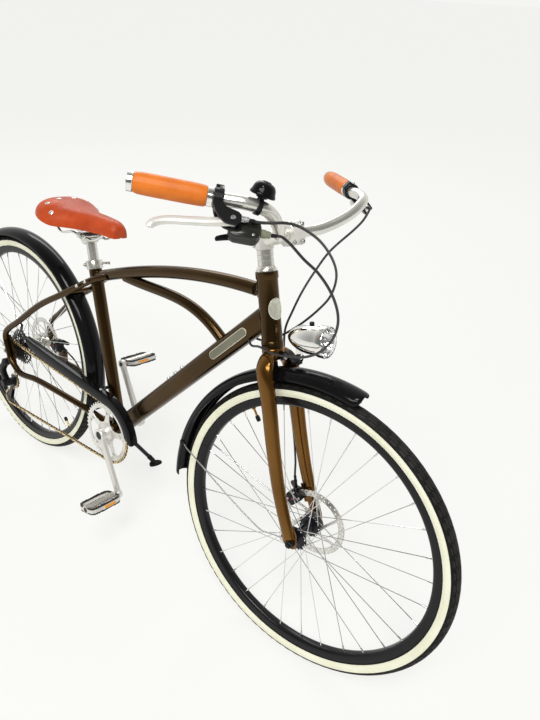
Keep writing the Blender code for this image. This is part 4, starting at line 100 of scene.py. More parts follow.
def stage_finish(name, colour):
    """Matte studio paint that the camera, mirrors and glass see as an even pale ground with a soft shadow."""
    material, tree, shader = blank(name)
    link = tree.links.new
    fill(shader, {"Roughness": 0.9, "Specular IOR Level": 0.1})
    cloud = node(tree, "TexNoise", {"Scale": 1.3})
    ramp = node(tree, "ValToRGB")
    ramp.color_ramp.elements[0].color = tuple(0.985 * channel for channel in colour[:3]) + (1,)
    ramp.color_ramp.elements[1].color = colour
    link(cloud.outputs["Fac"], ramp.inputs["Fac"])
    link(ramp.outputs["Color"], shader.inputs["Base Color"])
    even = node(tree, "Emission", {"Color": FLOOR_GLOW})
    share = node(tree, "Math", {1: EVEN_SHARE}, operation="MULTIPLY")
    link(seen_or_mirrored(tree), share.inputs[0])
    blend = node(tree, "MixShader")
    link(share.outputs[0], blend.inputs["Fac"])
    link(shader.outputs[0], blend.inputs[1])
    link(even.outputs[0], blend.inputs[2])
    link(blend.outputs[0], tree.nodes["Material Output"].inputs["Surface"])
    return material


floor_mesh = bpy.data.meshes.new("studio_floor")
floor_corners = [(-FLOOR_HALF, -FLOOR_HALF, 0), (FLOOR_HALF, -FLOOR_HALF, 0), (FLOOR_HALF, FLOOR_HALF, 0),
    (-FLOOR_HALF, FLOOR_HALF, 0)]
floor_mesh.from_pydata(floor_corners, [], [(0, 1, 2, 3)])
floor = bpy.data.objects.new("studio_floor", floor_mesh)
scene.collection.objects.link(floor)
floor_mesh.materials.append(stage_finish("studio floor", FLOOR_WHITE))


def softbox(name, place, target, size, power, tint=(1, 1, 1)):
    data = bpy.data.lights.new(name, "AREA")
    data.shape = "RECTANGLE"
    data.size, data.size_y = size
    data.energy = power
    data.color = tint
    obj = bpy.data.objects.new(name, data)
    obj.location = place
    obj.rotation_euler = (Vector(target) - Vector(place)).to_track_quat("-Z", "Y").to_euler()
    scene.collection.objects.link(obj)


softbox("key", (1.0, -2.2, 3.2), (0, 0, 0.5), (2.4, 0.8), 64, (1.0, 0.985, 0.955))
softbox("back", (-2.6, 2.4, 3.0), (0, 0, 0.6), (3.0, 0.9), 42, (0.97, 0.98, 1.0))
sun_data = bpy.data.lights.new("ceiling", "SUN")
sun_data.energy = 1.06
sun_data.angle = radians(16)
sun = bpy.data.objects.new("ceiling", sun_data)
sun.rotation_euler = (radians(16), radians(10), 0)
scene.collection.objects.link(sun)

world = bpy.data.worlds.new("studio")
scene.world = world
world.use_nodes = True
sky = world.node_tree
ground = sky.nodes["Background"]
link = sky.links.new
fill(ground, {"Color": (0.95, 0.95, 0.95, 1), "Strength": 0.42})
wall = node(sky, "Background", {"Color": WALL_WHITE})
direction = node(sky, "TexCoord")
toward = node(sky, "VectorMath", {1: AWAY_FROM_WINDOW}, operation="DOT_PRODUCT")
link(direction.outputs["Generated"], toward.inputs[0])
fade = node(sky, "MapRange", {"From Min": -0.3, "From Max": 0.48, "To Min": 1, "To Max": 0.2})
link(toward.outputs["Value"], fade.inputs["Value"])
looks = node(sky, "LightPath")
even = node(sky, "Math", operation="MAXIMUM")
link(fade.outputs["Result"], even.inputs[0])
link(looks.outputs["Is Camera Ray"], even.inputs[1])
link(even.outputs[0], wall.inputs["Strength"])
seen = node(sky, "MixShader")
link(seen_or_mirrored(sky), seen.inputs["Fac"])
link(ground.outputs[0], seen.inputs[1])
link(wall.outputs[0], seen.inputs[2])
link(seen.outputs[0], sky.nodes["World Output"].inputs["Surface"])

camera_data = bpy.data.cameras.new("camera")
camera_data.lens = 28.516
camera_data.sensor_width = 36.0
camera = bpy.data.objects.new("camera", camera_data)
camera.location = (1.02886, -0.83338, 1.35911)
camera.rotation_euler = (radians(56.3129), radians(-2.4526), radians(40.2253))
scene.collection.objects.link(camera)
scene.camera = camera


# Main frame.  Welded aluminium tubes in bronze metallic paint: an arched top tube, a second arch that drops
# from it into a rounded-box down tube, a head tube with two collars, and a seat tube over the bottom bracket.
def mm(*points):
    """Points given in millimetres."""
    return [tuple(value / 1000 for value in point) for point in points]


def xyz(*values):
    """A vector given in millimetres."""
    return Vector([value / 1000 for value in values])


def ray(angle):
    """The direction at this angle in the bike's plane, from forward towards up."""
    return Vector((cos(angle), 0, sin(angle)))


UP = Vector((0, 0, 1))
FORWARD = Vector((1, 0, 0))
LEFT = Vector((0, 1, 0))
GAP = 0.0003
TYRE_RADIUS = 0.349
WHEELBASE = 1.118
HEAD_ANGLE = radians(72.6)
FORK_RAKE = 0.045
HEAD_TUBE_LOW = 0.419
HEAD_TUBE_LENGTH = 0.158
HEAD_TUBE_RADIUS = 0.022
REAR_HUB = Vector((0, 0, TYRE_RADIUS))
FRONT_HUB = Vector((WHEELBASE, 0, TYRE_RADIUS))
HEAD_AXIS = Vector((-cos(HEAD_ANGLE), 0, sin(HEAD_ANGLE)))
HEAD_FORWARD = Vector((sin(HEAD_ANGLE), 0, cos(HEAD_ANGLE)))
SEAT_AXIS = HEAD_AXIS.copy()
SEAT_SQUARE = HEAD_FORWARD.copy()
FORK_FOOT = FRONT_HUB - FORK_RAKE * HEAD_FORWARD
BB = xyz(472, 0, 282)
HEAD_LOW = FORK_FOOT + HEAD_TUBE_LOW * HEAD_AXIS
SEAT_TUBE_LENGTH = 0.474
SEAT_TUBE_RADIUS = 0.017
TOP_TUBE_RADIUS = 0.015
BRACE_RADIUS = 0.013
BB_SHELL_RADIUS = 0.021
BB_SHELL_WIDTH = 0.068
SEAT_CLUSTER = BB + 0.43 * SEAT_AXIS

# The bike leans on its stand, and its bars are turned a little to the left
BAR_TURN = radians(3.5)
BIKE = Matrix.Translation((-0.5453669, -0.1721691, -0.0021525)) @ Matrix.Rotation(radians(0.0122), 4, "Y") \
    @ Matrix.Rotation(radians(-10.0491), 4, "X")
FORK = BIKE @ Matrix.Translation(HEAD_LOW) @ Matrix.Rotation(BAR_TURN, 4, HEAD_AXIS) \
    @ Matrix.Translation(-HEAD_LOW)


def layer(bm, rings, closed=False, finish=0, ends=True):
    """Faces over rings of points; the flag closed joins the last ring to the first."""
    rows = [[bm.verts.new(point) for point in ring] for ring in rings]
    pairs = list(zip(rows, rows[1:])) + ([(rows[-1], rows[0])] if closed else [])
    faces = []
    for low, high in pairs:
        for i in range(len(low)):
            j = (i + 1) % len(low)
            faces.append(bm.faces.new((low[i], low[j], high[j], high[i])))
    if not closed and ends:
        faces.append(bm.faces.new(list(reversed(rows[0]))))
        faces.append(bm.faces.new(rows[-1]))
    for face in faces:
        face.material_index = finish
    return faces


def sweep(bm, path, section, across=LEFT, closed=False, scale=None, finish=0, ends=True):
    """Carry a flat section of (across, square) points along a path, scaled by a number or a pair at each."""
    rings = []
    last = len(path) - 1
    for i, point in enumerate(path):
        before = path[i - 1] if i or closed else point
        after = path[(i + 1) % len(path)] if i < last or closed else point
        ahead = (after - before).normalized()
        side = (across - across.dot(ahead) * ahead).normalized()
        normal = ahead.cross(side)
        grow = scale[i] if scale else 1.0
        wide, tall = grow if isinstance(grow, tuple) else (grow, grow)
        rings.append([point + wide * u * side + tall * v * normal for u, v in section])
    return layer(bm, rings, closed, finish, ends)


def oval(half_across, half_square, sides=24):
    return [(half_across * cos(2 * pi * i / sides), half_square * sin(2 * pi * i / sides))
        for i in range(sides)]


def rod(bm, path, radius, sides=16, across=LEFT, scale=None, finish=0):
    return sweep(bm, path, oval(radius, radius, sides), across, scale=scale, finish=finish)


def turn(bm, profile, centre, axis, steps=48, ring=False, finish=0):
    """Turn a profile of (radius, along) points about an axis."""
    axis = axis.normalized()
    across = axis.orthogonal().normalized()
    square = axis.cross(across)
    rows = []
    for i in range(steps):
        spoke = cos(2 * pi * i / steps) * across + sin(2 * pi * i / steps) * square
        rows.append([centre + radius * spoke + along * axis for radius, along in profile])
    verts = [[bm.verts.new(point) for point in row] for row in rows]
    count = len(profile)
    for i in range(steps):
        first, second = verts[i], verts[(i + 1) % steps]
        for j in range(count if ring else count - 1):
            k = (j + 1) % count
            face = bm.faces.new((first[j], first[k], second[k], second[j]))
            face.material_index = finish


def disc(bm, centre, axis, radius, start, end, edge=0.0006, steps=40, finish=0):
    """A turned pin, cap or washer with softened edges."""
    turn(bm, [(0, start), (radius - edge, start), (radius, start + edge), (radius, end - edge),
        (radius - edge, end), (0, end)], centre, axis, steps, finish=finish)


def bush(bm, centre, axis, bore, radius, start, end, edge, ease, steps=40, finish=0):
    """A turned ring whose outer corners are cut by edge across and ease along."""
    turn(bm, [(bore, start), (radius - edge, start), (radius, start + ease), (radius, end - ease),
        (radius - edge, end), (bore, end)], centre, axis, steps, ring=True, finish=finish)


def plate(bm, outline, centre, across, upward, thickness, finish=0):
    """A flat plate with a small chamfer round both faces."""
    normal = across.cross(upward).normalized()
    middle = Vector((sum(u for u, v in outline), sum(v for u, v in outline))) / len(outline)
    edge = min(0.0007, 0.3 * thickness)
    rings = []
    for level, inset in ((-0.5 * thickness, edge), (-0.5 * thickness + edge, 0),
            (0.5 * thickness - edge, 0), (0.5 * thickness, edge)):
        ring = []
        for u, v in outline:
            away = Vector((u, v)) - middle
            away = away * (1 - inset / max(away.length, 0.001))
            ring.append(centre + (middle.x + away.x) * across + (middle.y + away.y) * upward
                + level * normal)
        rings.append(ring)
    return layer(bm, rings, finish=finish)


def block(bm, centre, size, across=FORWARD, upward=UP, finish=0, corner=0.0015):
    """A box of size (across, square to both, upward) with rounded corners in its outline."""
    half_u, half_v = size[0] / 2, size[2] / 2
    corner = min(corner, 0.45 * min(size[0], size[2]))
    outline = []
    for sign_u, sign_v, start in ((1, 1, 0), (-1, 1, 90), (-1, -1, 180), (1, -1, 270)):
        for angle in (0, 30, 60, 90):
            a = radians(start + angle)
            outline.append((sign_u * (half_u - corner) + corner * cos(a), sign_v * (half_v - corner)
                + corner * sin(a)))
    return plate(bm, outline, centre, across, upward, size[1], finish)


def bolt(bm, centre, axis, radius, height, finish=0, socket=True):
    """A socket screw: a domed round head with a hexagon recess."""
    wall = 0.55 * radius
    profile = [(radius, 0), (radius, 0.7 * height), (0.85 * radius, height), (wall, height)]
    profile += [(wall, 0.45 * height), (0, 0.45 * height)] if socket else [(0, 1.05 * height)]
    turn(bm, profile, centre, axis, 24, finish=finish)


def smooth(knots, steps=6):
    """A rounded path through every knot."""
    points = []
    last = len(knots) - 1
    for i in range(last):
        before, after = knots[max(i - 1, 0)], knots[min(i + 2, last)]
        start, end = knots[i], knots[i + 1]
        reach = (end - start).length / 3
        leave = (end - before).normalized() * reach
        arrive = (after - start).normalized() * reach
        points += interpolate_bezier(start, start + leave, end - arrive, end, steps + 1)[:-1]
    return [Vector(point) for point in points] + [knots[-1]]


def arch(start, first, second, end, count=48):
    return [Vector(point) for point in interpolate_bezier(start, first, second, end, count)]


def piece(name, bm, place, body, finishes, stands_for=(), crease=32):
    """Hand a drawn shape over as one piece in its place on the bike, riding on a body."""
    bmesh.ops.remove_doubles(bm, verts=bm.verts, dist=2e-6)
    bmesh.ops.recalc_face_normals(bm, faces=bm.faces)
    mesh = bpy.data.meshes.new(name)
    bm.to_mesh(mesh)
    bm.free()
    mesh.transform(place)
    for finish in finishes:
        mesh.materials.append(finish)
    mesh.shade_smooth()
    mesh.set_sharp_from_angle(angle=radians(crease))
    obj = bpy.data.objects.new(name, mesh)
    scene.collection.objects.link(obj)
    if body:
        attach(obj, body)
    if stands_for:
        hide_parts(*stands_for)
    return obj


def finish(name, dark, light, roughness, metallic=0.0, patch=6.0, grain=900.0, bump=0.03, coat=0.0,
        spread=0.12, specular=0.5):
    """Two close shades mixed by a slow noise, with a fine grain in the roughness and the bump."""
    material, tree, shader = blank(name)
    link = tree.links.new
    fill(shader, {"Metallic": metallic, "Coat Weight": coat, "Coat Roughness": 0.06,
        "Specular IOR Level": specular})
    place = node(tree, "TexCoord")
    mapping = node(tree, "Mapping")
    link(place.outputs["Object"], mapping.inputs["Vector"])
    slow = node(tree, "TexNoise", {"Scale": patch, "Detail": 4})
    link(mapping.outputs["Vector"], slow.inputs["Vector"])
    ramp = node(tree, "ValToRGB")
    for element, position, colour in zip(ramp.color_ramp.elements, (0.35, 0.65), (dark, light)):
        element.position = position
        element.color = (*colour, 1)
    link(slow.outputs["Fac"], ramp.inputs["Fac"])
    link(ramp.outputs["Color"], shader.inputs["Base Color"])
    fine = node(tree, "TexNoise", {"Scale": grain, "Detail": 3})
    link(mapping.outputs["Vector"], fine.inputs["Vector"])
    rough = node(tree, "MapRange", {"To Min": roughness - spread * roughness, "To Max": roughness
        + spread * roughness})
    link(fine.outputs["Fac"], rough.inputs["Value"])
    link(rough.outputs["Result"], shader.inputs["Roughness"])
    relief = node(tree, "Bump", {"Strength": bump, "Distance": 0.0004})
    link(fine.outputs["Fac"], relief.inputs["Height"])
    link(relief.outputs["Normal"], shader.inputs["Normal"])
    return material


bronze = finish("bronze metallic paint", (0.05, 0.027, 0.0075), (0.068, 0.038, 0.0115), 0.24, 0.95,
    grain=2600, bump=0.02, coat=0.12)
bolt_steel = finish("zinc-plated screw", (0.5, 0.5, 0.49), (0.6, 0.6, 0.58), 0.28, 1.0)
top_tube_knots = (SEAT_CLUSTER, HEAD_LOW + 0.114 * HEAD_AXIS)
top_span = top_tube_knots[1] - top_tube_knots[0]
top_tube_line = arch(top_tube_knots[0], top_tube_knots[0]
    + Vector((0.33 * top_span.x, 0, 0.55 * top_span.z)), top_tube_knots[0]
    + Vector((0.66 * top_span.x, 0, 0.94 * top_span.z)), top_tube_knots[1], 57)
down_tube_line = [BB, HEAD_LOW + 0.07 * HEAD_AXIS]
down_way = (down_tube_line[1] - down_tube_line[0]).normalized()
down_square = Vector((-down_way.z, 0, down_way.x))
brace_start = top_tube_line[12] - xyz(0, 0, 11)
brace_end = down_tube_line[0].lerp(down_tube_line[1], 0.775)
brace_span = brace_end.x - brace_start.x
brace_line = arch(brace_start, brace_start + Vector((0.44 * brace_span, 0, 0.002)), brace_start
    + Vector((0.66 * brace_span, 0, 0.04)), brace_end, 48)


def weld(bm, foot, way, radius, wall_point, wall_way, wall_radius, bead=0.0019, square=1.0):
    """A weld bead where a tube that leaves a round tube at foot, going along way, meets its wall."""
    side = LEFT if abs(way.dot(LEFT)) < 0.9 else FORWARD
    side = (side - side.dot(way) * way).normalized()
    other = way.cross(side)
    hits = []
    for i in range(72):
        a = 2 * pi * i / 72
        start = foot + radius * (cos(a) * side + square * sin(a) * other)
        flat = way - way.dot(wall_way) * wall_way
        off = (start - wall_point) - (start - wall_point).dot(wall_way) * wall_way
        qa, qb, qc = flat.dot(flat), 2 * off.dot(flat), off.dot(off) - wall_radius ** 2
        room = qb * qb - 4 * qa * qc
        if room < 0:
            continue
        hits.append(start + (-qb + sqrt(room)) / (2 * qa) * way)
    ripple = [1 + 0.12 * (i % 2) for i in range(len(hits))]
    sweep(bm, hits, oval(bead, bead, 8), way, closed=True, scale=ripple)


def box_section(width, height, share=0.42, steps=7):
    """A rounded box: corners of this share of the width."""
    corner = share * width
    section = []
    for sign_u, sign_v, start in ((1, 1, 0), (-1, 1, 90), (-1, -1, 180), (1, -1, 270)):
        for i in range(steps):
            a = radians(start + 90 * i / (steps - 1))
            section.append((sign_u * (width / 2 - corner) + corner * cos(a), sign_v * (height / 2 - corner)
                + corner * sin(a)))
    return section


bm = bmesh.new()
rod(bm, top_tube_line[:-3], TOP_TUBE_RADIUS, 32)
rod(bm, brace_line, BRACE_RADIUS, 28)
weld(bm, top_tube_line[-1], (top_tube_line[-4] - top_tube_line[-1]).normalized(), TOP_TUBE_RADIUS, HEAD_LOW,
    HEAD_AXIS, HEAD_TUBE_RADIUS)
weld(bm, top_tube_line[0], (top_tube_line[3] - top_tube_line[0]).normalized(), TOP_TUBE_RADIUS, BB,
    SEAT_AXIS, SEAT_TUBE_RADIUS)
piece("top_and_brace_tubes", bm, BIKE, "frame", [bronze], ["top_tubes"])

bm = bmesh.new()
sweep(bm, [down_tube_line[0] + 0.016 * down_way, down_tube_line[1] - 0.004 * down_way],
    box_section(0.038, 0.048))
weld(bm, down_tube_line[1], -down_way, 0.019, HEAD_LOW, HEAD_AXIS, HEAD_TUBE_RADIUS, square=1.26)
weld(bm, brace_end - 0.002 * down_square, (brace_line[-4] - brace_line[-1]).normalized(), BRACE_RADIUS,
    down_tube_line[0], down_way, 0.0225)
piece("down_tube_shell", bm, BIKE, "frame", [bronze], ["down_tube"])

bm = bmesh.new()
collar = HEAD_TUBE_RADIUS + 0.0016
turn(bm, [(0.015, 0), (collar - 0.0006, 0), (collar, 0.0006), (collar, 0.013), (collar - 0.0012, 0.015),
    (HEAD_TUBE_RADIUS, 0.0165), (HEAD_TUBE_RADIUS, 0.1415), (collar - 0.0012, 0.143), (collar, 0.145),
    (collar, 0.1574), (collar - 0.0006, 0.158), (0.015, 0.158)], HEAD_LOW, HEAD_AXIS, 72, ring=True)
piece("head_tube_shell", bm, BIKE, "frame", [bronze], ["head_tube"], crease=40)

bm = bmesh.new()
turn(bm, [(0.014, 0.05), (SEAT_TUBE_RADIUS, 0.05), (SEAT_TUBE_RADIUS, SEAT_TUBE_LENGTH),
    (0.014, SEAT_TUBE_LENGTH)], BB, SEAT_AXIS, 48, ring=True)
rod(bm, [BB + 0.01 * SEAT_AXIS, BB + 0.08 * SEAT_AXIS], SEAT_TUBE_RADIUS - 0.0001, 48)
half = BB_SHELL_WIDTH / 2
bush(bm, BB, LEFT, 0.017, BB_SHELL_RADIUS, -half, half, 0.0006, 0.001, 64)
weld(bm, BB, SEAT_AXIS, SEAT_TUBE_RADIUS, BB, LEFT, BB_SHELL_RADIUS)
weld(bm, BB, down_way, 0.019, BB, LEFT, BB_SHELL_RADIUS, square=1.26)
KICK_PLATE_MIDDLE = BB + xyz(-39, 0, -14)
block(bm, KICK_PLATE_MIDDLE, (0.098, 0.04, 0.008), corner=0.003)
seat_tube_shell = piece("seat_tube_shell", bm, BIKE, "frame", [bronze])


# Bottom bracket.  Two turned steel cups with a bright plating close the ends of the shell round the spindle,
# which is part of the left crank.
bm = bmesh.new()
for side in (-1, 1):
    turn(bm, [(0.0105, side * 0.03), (0.0168, side * 0.03), (0.0168, side * 0.0352), (0.012, side * 0.0356),
        (0.0105, side * 0.035)], BB, LEFT, 40, ring=True)
piece("bottom_bracket_cups", bm, BIKE, "frame", [bolt_steel])


# Head badge and frame fittings.  The badge place is a bare round plate curved to the head tube, with a raised
# rim; each side of the down tube has a bare rounded plate, and steel screws close the bottle cage threads.
badge_metal = finish("pale badge metal", (0.66, 0.66, 0.54), (0.76, 0.76, 0.63), 0.35, 0.5, grain=1500,
    bump=0.05)
plate_metal = finish("dark satin plate", (0.17, 0.165, 0.12), (0.24, 0.235, 0.175), 0.36, 0.7, grain=1500,
    bump=0.05)
BADGE_RADIUS = 0.0172
BADGE_ASPECT = 1.32
BADGE_TURN = -0.23
BADGE_HEIGHT = 0.083


def on_head(angle, height, lift):
    radius = HEAD_TUBE_RADIUS + lift
    return HEAD_LOW + height * HEAD_AXIS + radius * (cos(angle) * HEAD_FORWARD + sin(angle) * LEFT)


bm = bmesh.new()
rings = []
for radius, lift in ((0.0, 0.0013), (0.45, 0.0013), (0.8, 0.0013), (0.84, 0.0021), (0.92, 0.0023),
        (0.98, 0.0018), (1.0, 0.0002)):
    ring = []
    for i in range(64):
        a = 2 * pi * i / 64
        reach = max(radius, 0.02) * BADGE_RADIUS
        ring.append(on_head(BADGE_TURN + reach * cos(a) / HEAD_TUBE_RADIUS, BADGE_HEIGHT
            + BADGE_ASPECT * reach * sin(a), lift))
    rings.append(ring)
layer(bm, rings)
piece("head_badge_plate", bm, BIKE, "frame", [badge_metal], crease=50)

bm = bmesh.new()
PLATE_HALF_LENGTH = 0.068
PLATE_HALF_HEIGHT = 0.0098
for side in (-1, 1):
    spot = down_tube_line[0] + 0.56 * down_way
    for shrink, level, thickness, paint in ((0.0, 0.019, 0.001, 1), (0.0014, 0.0197, 0.001, 0)):
        outline = []
        for end in (1, -1):
            for i in range(13):
                a = radians(90 * end - 15 * i)
                radius = PLATE_HALF_HEIGHT - shrink
                outline.append((end * (PLATE_HALF_LENGTH - PLATE_HALF_HEIGHT) + radius * cos(a),
                    radius * sin(a)))
        plate(bm, outline, spot + side * level * LEFT, down_way, down_square, thickness, finish=paint)
piece("down_tube_name_plates", bm, BIKE, "frame", [plate_metal, badge_metal])

bm = bmesh.new()
for along in (0.3, 0.332, 0.364):
    root = BB + along * down_way + 0.024 * down_square
    disc(bm, root, down_square, 0.0062, -0.001, 0.0016)
    bolt(bm, root + 0.0016 * down_square, down_square, 0.0045, 0.004)
for angle, height in ((radians(165), 0.02), (radians(195), 0.02)):
    bolt(bm, on_head(angle, height, -0.001),
        (on_head(angle, height, 1) - on_head(angle, height, 0)).normalized(), 0.0022, 0.002)
for along, side, level in mm((322, -46, 667), (352, -42, 688)):
    bolt(bm, Vector((along, side, level)), -LEFT, 0.0048, 0.0034)
piece("frame_screws", bm, BIKE, "frame", [bolt_steel])


# Rear stays.  On each side one bent aluminium tube runs from the top tube past the seat tube down to the
# dropout and forward to the shell, with a welded dropout plate; two cross tubes hold the mudguard.
STAY_RADIUS = 0.009
STAY_SIDE = 0.0765
STAY_CORNER = xyz(60, 0, 299)
SEAT_STAY_KNEE = xyz(-4, 0, 412)
DROPOUT_THICKNESS = 0.006
REAR_HUB_WIDTH = 0.135
REAR_GUARD_RADIUS = 0.374
GUARD_BRIDGE_ANGLE = radians(46.5)
SIDES = ((-1, "right"), (1, "left"))


def stay_line(side):
    past = SEAT_TUBE_RADIUS + STAY_RADIUS + GAP
    knots = [SEAT_CLUSTER + xyz(62, 10, 22), SEAT_CLUSTER + Vector((0.03, past - 0.007, 0.008)),
        SEAT_CLUSTER + Vector((0, past, -0.01)), xyz(250, 46, 617), xyz(160, 58, 556), xyz(62, 70, 470),
        SEAT_STAY_KNEE + Vector((0.01, STAY_SIDE, 0.01)), SEAT_STAY_KNEE
        + Vector((-0.002, STAY_SIDE, -0.016)), Vector((0.004, STAY_SIDE, TYRE_RADIUS + 0.016)),
        Vector((0.02, STAY_SIDE, TYRE_RADIUS - 0.02)), STAY_CORNER + Vector((-0.012, STAY_SIDE, 0.01)),
        STAY_CORNER + Vector((0.016, STAY_SIDE - 0.001, 0)), xyz(150, 68, 310), xyz(260, 58, 313),
        xyz(345, 46, 309), BB + xyz(-18, 24, 12)]
    return smooth([Vector((knot.x, side * knot.y, knot.z)) for knot in knots], 6)


for side, name in SIDES:
    bm = bmesh.new()
    rod(bm, stay_line(side), STAY_RADIUS, 24)
    middle = REAR_HUB + side * (REAR_HUB_WIDTH / 2 + DROPOUT_THICKNESS / 2) * LEFT
    outline = mm((-12, 46), (-4, 52), (10, 56), (22, 36), (30, 20), (34, -14), (40, -34), (28, -31),
        (16, -26), (-4, -16), (-16, 2), (-27, 6), (-29, 12), (-26, 18), (-14, 24))
    plate(bm, outline, middle, FORWARD, UP, DROPOUT_THICKNESS)
    if side < 0:
        hanger = mm((-10, -4), (12, -6), (14, -26), (11, -40), (7, -46), (-1, -49), (-8, -49), (-13, -38))
        plate(bm, hanger, middle, FORWARD, UP, DROPOUT_THICKNESS - 0.001)
        for angle, half in ((GUARD_BRIDGE_ANGLE, 0.0435), (radians(-6), 0.0393)):
            reach = REAR_GUARD_RADIUS + GAP + 0.006
            rod(bm, [REAR_HUB + reach * ray(angle) + way * half * LEFT for way in (-1, 1)], 0.006, 24,
                across=UP)
    else:
        tab = mm((54, -44), (100, -41), (98, -10), (96, 3), (58, 3))
        plate(bm, tab, REAR_HUB + 0.0708 * LEFT, FORWARD, UP, 0.0055)
    piece("rear_stay_" + name, bm, BIKE, "frame", [bronze], ["rear_stays_" + name])


# Seat collar and its lever.  A split aluminium ring at the top of the seat tube, drawn tight at the back by
# a quick-release lever that lies round its left side.
COLLAR_LUG = BB + (SEAT_TUBE_LENGTH - 0.011) * SEAT_AXIS - 0.026 * SEAT_SQUARE
COLLAR_PIN = COLLAR_LUG - 0.002 * SEAT_SQUARE + 0.0175 * LEFT
polished = finish("polished aluminium", (0.66, 0.65, 0.6), (0.77, 0.76, 0.7), 0.24, 0.85, patch=14,
    grain=1800, bump=0.015)
satin_black = finish("satin black anodising", (0.006, 0.006, 0.007), (0.011, 0.011, 0.013), 0.38, 0.1,
    grain=2200, bump=0.05, specular=0.22)
bm = bmesh.new()
start = SEAT_TUBE_LENGTH - 0.022
turn(bm, [(SEAT_TUBE_RADIUS + GAP, start), (0.0205, start), (0.0212, start + 0.001),
    (0.0212, start + 0.0205), (0.0203, start + 0.0222), (0.014, start + 0.0226), (0.014, start + 0.0221),
    (0.0173, start + 0.0221)], BB, SEAT_AXIS, 56, ring=True)
for side in (-1, 1):
    block(bm, COLLAR_LUG + side * 0.0052 * LEFT, (0.016, 0.0076, 0.012), SEAT_SQUARE, SEAT_AXIS)
rod(bm, [COLLAR_PIN - 0.034 * LEFT, COLLAR_PIN], 0.0022, 16, across=UP)
turn(bm, mm((0, -1), (5.2, -1), (5.6, 0), (5, 10), (3.6, 14), (0, 14.5)), COLLAR_PIN - 0.018 * LEFT, -LEFT,
    28)
disc(bm, COLLAR_PIN, SEAT_AXIS, 0.0018, -0.005, 0.005)
for level in (-0.0046, 0.0046):
    block(bm, COLLAR_PIN + level * SEAT_AXIS - 0.0015 * LEFT, (0.009, 0.012, 0.002), SEAT_SQUARE, SEAT_AXIS)
piece("seat_collar_ring", bm, BIKE, "frame", [polished], ["seat_collar"])

bm = bmesh.new()
disc(bm, COLLAR_PIN, SEAT_AXIS, 0.0052, -0.0031, 0.0031)
arm = smooth([COLLAR_PIN + forward * SEAT_SQUARE + side * LEFT for forward, side in mm((0, 2.2), (12, 13),
    (32, 16), (54, 10.5))], 6)
sweep(bm, arm, oval(0.003, 0.0016, 16), SEAT_AXIS, scale=[0.9 + 0.5 * (i / len(arm))
    for i in range(len(arm))])
piece("seat_collar_quick_lever", bm, BIKE, "collar_lever", [polished], ["seat_collar_lever"])


# Fork.  A turned crown and steerer with two curved, tapering aluminium blades in golden bronze paint; plate
# dropouts are welded into the blade ends and a tab for the disc brake stands behind the left one.
golden = finish("golden bronze metallic paint", (0.15, 0.067, 0.0125), (0.198, 0.092, 0.0185), 0.22, 0.95,
    grain=2600, bump=0.02, coat=0.12)
CROWN_HEIGHT = 0.024
STEERER_RADIUS = 0.0143
STEM_LOW = HEAD_TUBE_LENGTH + 0.044
STEM_HIGH = STEM_LOW + 0.036
FRONT_HUB_WIDTH = 0.1
BLADE_TOP_RADIUS = 0.0135
BLADE_END_RADIUS = 0.0085


def on_fork(along, forward=0.0, side=0.0):
    return FORK_FOOT + along * HEAD_AXIS + forward * HEAD_FORWARD + side * LEFT


bm = bmesh.new()
turn(bm, [(0, -CROWN_HEIGHT), (0.019, -CROWN_HEIGHT), (0.0215, -0.0215), (0.0235, -0.014), (0.0238, -0.008),
    (0.0236, -0.003), (0.0225, -0.0006), (STEERER_RADIUS, -GAP), (STEERER_RADIUS, STEM_HIGH - 0.0035),
    (0, STEM_HIGH - 0.0035)], HEAD_LOW, HEAD_AXIS, 64)
disc(bm, HEAD_LOW, HEAD_AXIS, 0.008, -0.03, -0.02)
for side in (-1, 1):
    knots = [(HEAD_TUBE_LOW - 0.013, 0.001, 0.008), (HEAD_TUBE_LOW - 0.02, 0.003, 0.03),
        (HEAD_TUBE_LOW - 0.042, 0.008, 0.046), (HEAD_TUBE_LOW - 0.1, 0.014, 0.049), (0.21, 0.018, 0.052),
        (0.11, 0.026, 0.055), (0.012, FORK_RAKE - 0.002, 0.0575)]
    line = smooth([on_fork(along, forward, side * out) for along, forward, out in knots], 8)
    taper = []
    for i in range(len(line)):
        share = i / (len(line) - 1)
        narrow = 1 - (1 - BLADE_END_RADIUS / BLADE_TOP_RADIUS) * share
        taper.append((narrow, narrow * (1 + 0.72 * min(1, 4 * share))))
    rod(bm, line, BLADE_TOP_RADIUS, 36, scale=taper)
    middle = FRONT_HUB + side * (FRONT_HUB_WIDTH / 2 + DROPOUT_THICKNESS / 2) * LEFT
    outline = mm((-13, 30), (-8, 34), (0, 34), (8, 22), (12, 12), (13, -8), (9, -13), (4, -14), (-14, -10),
        (-24, -5), (-27, 2), (-25, 8))
    plate(bm, outline, middle, FORWARD, UP, DROPOUT_THICKNESS)
tab = mm((-19.2, 37.7), (-39.9, 77.7), (-59.5, 67.6), (-38.8, 27.6))
plate(bm, tab, FRONT_HUB + 0.0554 * LEFT, FORWARD, UP, 0.0055)
piece("fork_crown_and_blades", bm, FORK, "fork_and_bars", [golden], ["fork"])


